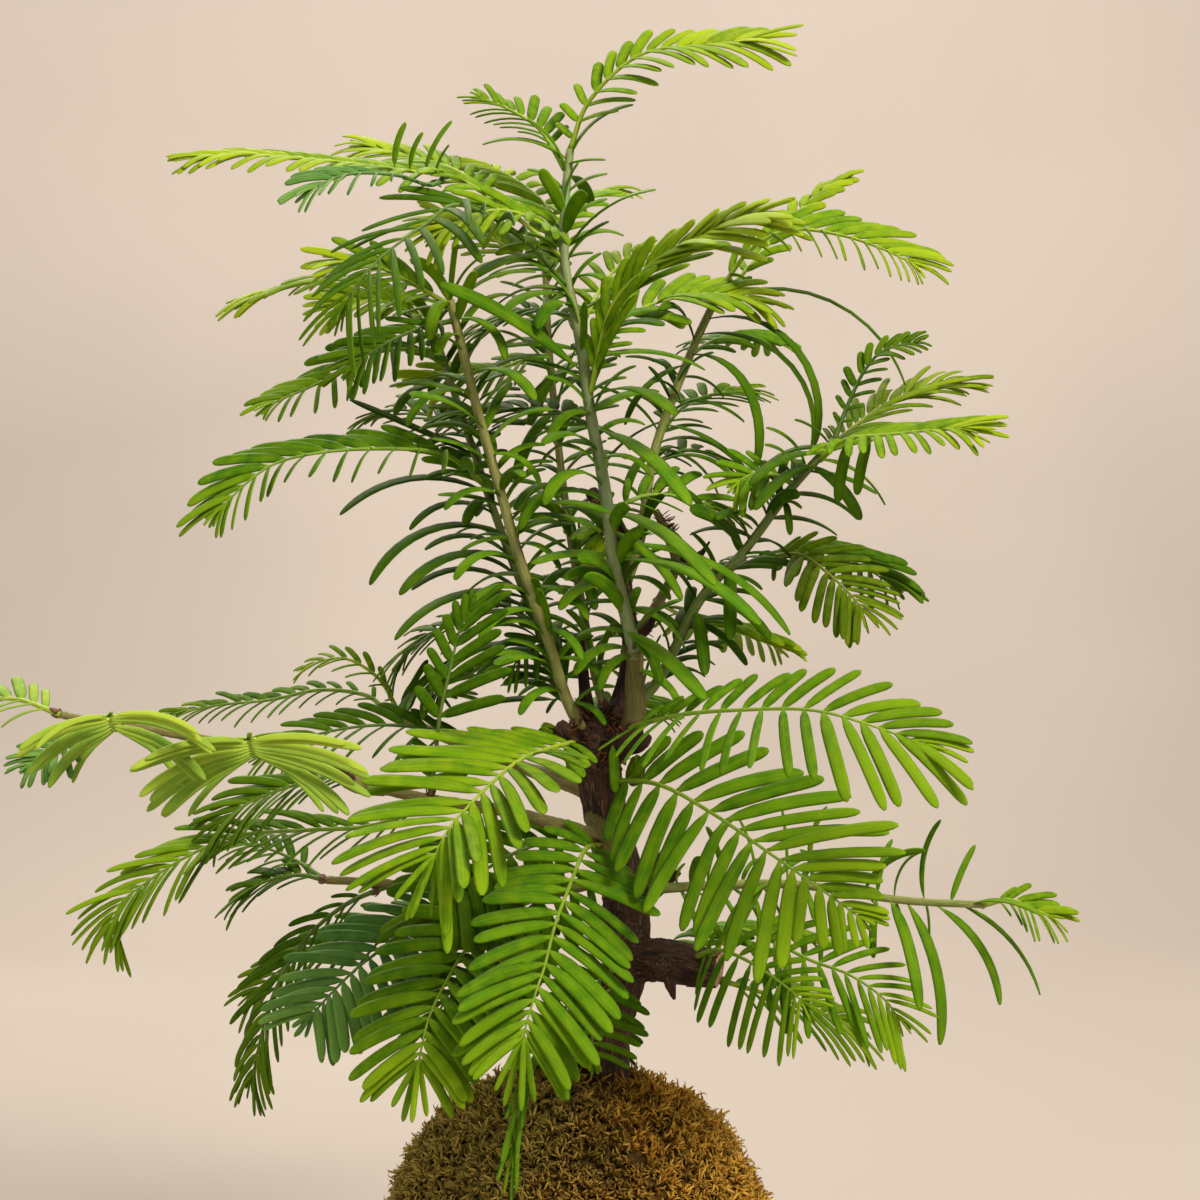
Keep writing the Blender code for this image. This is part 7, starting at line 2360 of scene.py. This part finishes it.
@dataclass
class Soil:
    """The soil: its solid stays, with grains strewn where it shows between moss and bowl."""

    inner: float = 38.8 * MM
    outer: float = 41.4 * MM
    grain_size: tuple = (0.45 * MM, 1.15 * MM)
    grains: int = 330
    segments: int = 120

    def build(self, scatter: bpy.types.NodeTree) -> None:
        """Dresses the soil and strews its grains.

        Args:
            scatter: The tree that strews copies.
        """
        finish = SOIL.material()
        dress(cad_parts["soil"].data, finish)
        points, faces = [], []
        for radius in (self.inner, self.outer):
            points += circle(radius, SOIL_LEVEL, self.segments)
        for i in range(self.segments):
            j = (i + 1) % self.segments
            faces.append((i, i + self.segments, j + self.segments, j))
        ring = bpy.data.meshes.new("soil_ring")
        ring.from_pydata(points, [], faces)
        area = sum(polygon.area for polygon in ring.polygons)
        inputs = {"Copy": self.grain(), "Density": self.grains / area, "Lean": math.pi,
                  "Smallest": self.grain_size[0], "Largest": self.grain_size[1], "Seed": 5,
                  "Finish": finish}
        hand_over(run_tree("soil_grains", ring, scatter, inputs), "soil")

    @staticmethod
    def grain() -> bpy.types.Object:
        """Builds one angular grain of unit radius."""
        def angular(point: Vector) -> Vector:
            """Moves a point of the ball."""
            point = point * (1.0 + 0.35 * noise.noise(point * 1.4 + Vector((4, 0, 0))))
            return Vector((point.x, point.y, point.z * 0.75))

        return template("grain", ball("grain", 2, angular))


@dataclass
class Pebble:
    """The small stone beside the trunk, worn smooth, with shallow pits."""

    relief: float = 0.07

    def worn(self, point: Vector) -> Vector:
        """Moves a point of the unit ball to its place on the stone."""
        x, y, z = point
        lump = 1.0 + self.relief * math.sin(2.3 * x + 1.1) * math.cos(1.9 * y - 0.4)
        lump += 0.035 * noise.noise(point * 3.1) + 0.012 * noise.noise(point * 11)
        return STONE_PLACE + Vector((x * STONE_SIZE.x, y * STONE_SIZE.y, z * STONE_SIZE.z)) * lump

    def build(self) -> None:
        """Builds the stone in the form of its solid."""
        mesh = ball("pebble", 5, self.worn)
        mesh.shade_smooth()
        hand_over(object_of("pebble", dress(mesh, STONE.material())), "stone", "stone")


@dataclass
class Studio:
    """A pale floor that sweeps up into a wall, soft light and the camera."""

    width: float = 4.0
    front: float = -2.2
    back: float = 1.1
    sweep: float = 0.5
    top: float = 2.4
    steps: int = 24
    lens: float = 67.5
    colour: Colour = (0.70, 0.615, 0.545)
    sky: Colour = (1.0, 0.96, 0.91)
    sky_strength: float = 0.42
    # Name, place, aim, size, power and colour of each light
    lights: tuple = (("key", (0.45, -0.55, 0.85), (0, 0, 0.15), 0.34, 11.0, (1.0, 0.93, 0.80)),
                     ("fill", (-0.75, -0.55, 0.35), (0, 0, 0.15), 0.70, 2.0, (1.0, 0.95, 0.90)),
                     ("back", (-0.25, 0.60, 0.75), (0, 0, 0.15), 0.50, 4.5, (1.0, 0.95, 0.84)),
                     ("wall", (0.0, 0.35, 1.15), (0, 1.1, 0.45), 0.60, 5.5, (1.0, 0.96, 0.92)))

    def build(self) -> None:
        """Builds the floor, the lights and the camera."""
        self.build_floor()
        for light in self.lights:
            self.light(*light)
        world = bpy.data.worlds.new("soft_room")
        world.use_nodes = True
        sky = world.node_tree.nodes["Background"]
        sky.inputs[0].default_value = (*self.sky, 1.0)
        sky.inputs[1].default_value = self.sky_strength
        bpy.context.scene.world = world
        bpy.context.scene.view_settings.view_transform = "Standard"
        camera = bpy.data.objects.new("camera", bpy.data.cameras.new("camera"))
        camera.data.lens = self.lens
        camera.data.sensor_width = 36.0
        camera.location = Vector((EYE_X, -EYE_DISTANCE, EYE_Z)) * MM
        camera.rotation_euler = (math.radians(90), 0, 0)
        camera.data.clip_start = 0.01
        bpy.context.scene.collection.objects.link(camera)
        bpy.context.scene.camera = camera

    def build_floor(self) -> None:
        """Builds the floor and the wall behind it as one curved sheet, with painted shade that darkens it
        low down.
        """
        outline = [(self.front, 0.0)]
        for i in range(self.steps + 1):
            turn = math.radians(90) * i / self.steps
            outline.append((self.back - self.sweep + self.sweep * math.sin(turn),
                            self.sweep - self.sweep * math.cos(turn)))
        outline.append((self.back, self.top))
        points = [Vector((side * self.width / 2, y, z)) for y, z in outline for side in (-1, 1)]
        faces = [(2 * i, 2 * i + 1, 2 * i + 3, 2 * i + 2) for i in range(len(outline) - 1)]
        mesh = bpy.data.meshes.new("floor")
        mesh.from_pydata(points, [], faces)
        mesh.shade_smooth()
        paint = Paint("floor", 0.9, 0.1)
        where = paint.place()
        haze = paint.mottle(where, 3.0, 2.0) * 0.2
        # Painted shade: the sheet darkens towards the floor, fading out half a metre up; the haze adds
        # random patches
        level = paint.graph.ramp(where.parts()[2], 0.0, 0.50, (0.9, 0.0))
        painted_shade_colour = tuple(channel * 0.66 for channel in self.colour)
        mesh.materials.append(paint.finish(paint.graph.mix(level + haze, self.colour, painted_shade_colour)))
        object_of("floor", mesh)

    @staticmethod
    def light(name: str, location: tuple, aim: tuple, size: float, power: float,
              colour: Colour) -> None:
        """Adds a soft square light that points at its aim."""
        lamp = bpy.data.lights.new(name, "AREA")
        lamp.size, lamp.energy, lamp.color = size, power, colour
        made = bpy.data.objects.new(name, lamp)
        made.location = location
        made.rotation_euler = (Vector(aim) - made.location).to_track_quat("-Z", "Y").to_euler()
        bpy.context.scene.collection.objects.link(made)


def main() -> None:
    """Builds the studio and every piece."""
    Studio().build()
    scatter = ScatterTree().tree
    Bowl().build()
    Soil().build(scatter)
    Moss().build(scatter)
    Pebble().build()
    Wood().build()
    Foliage().build()


if __name__ == "__main__":
    main()
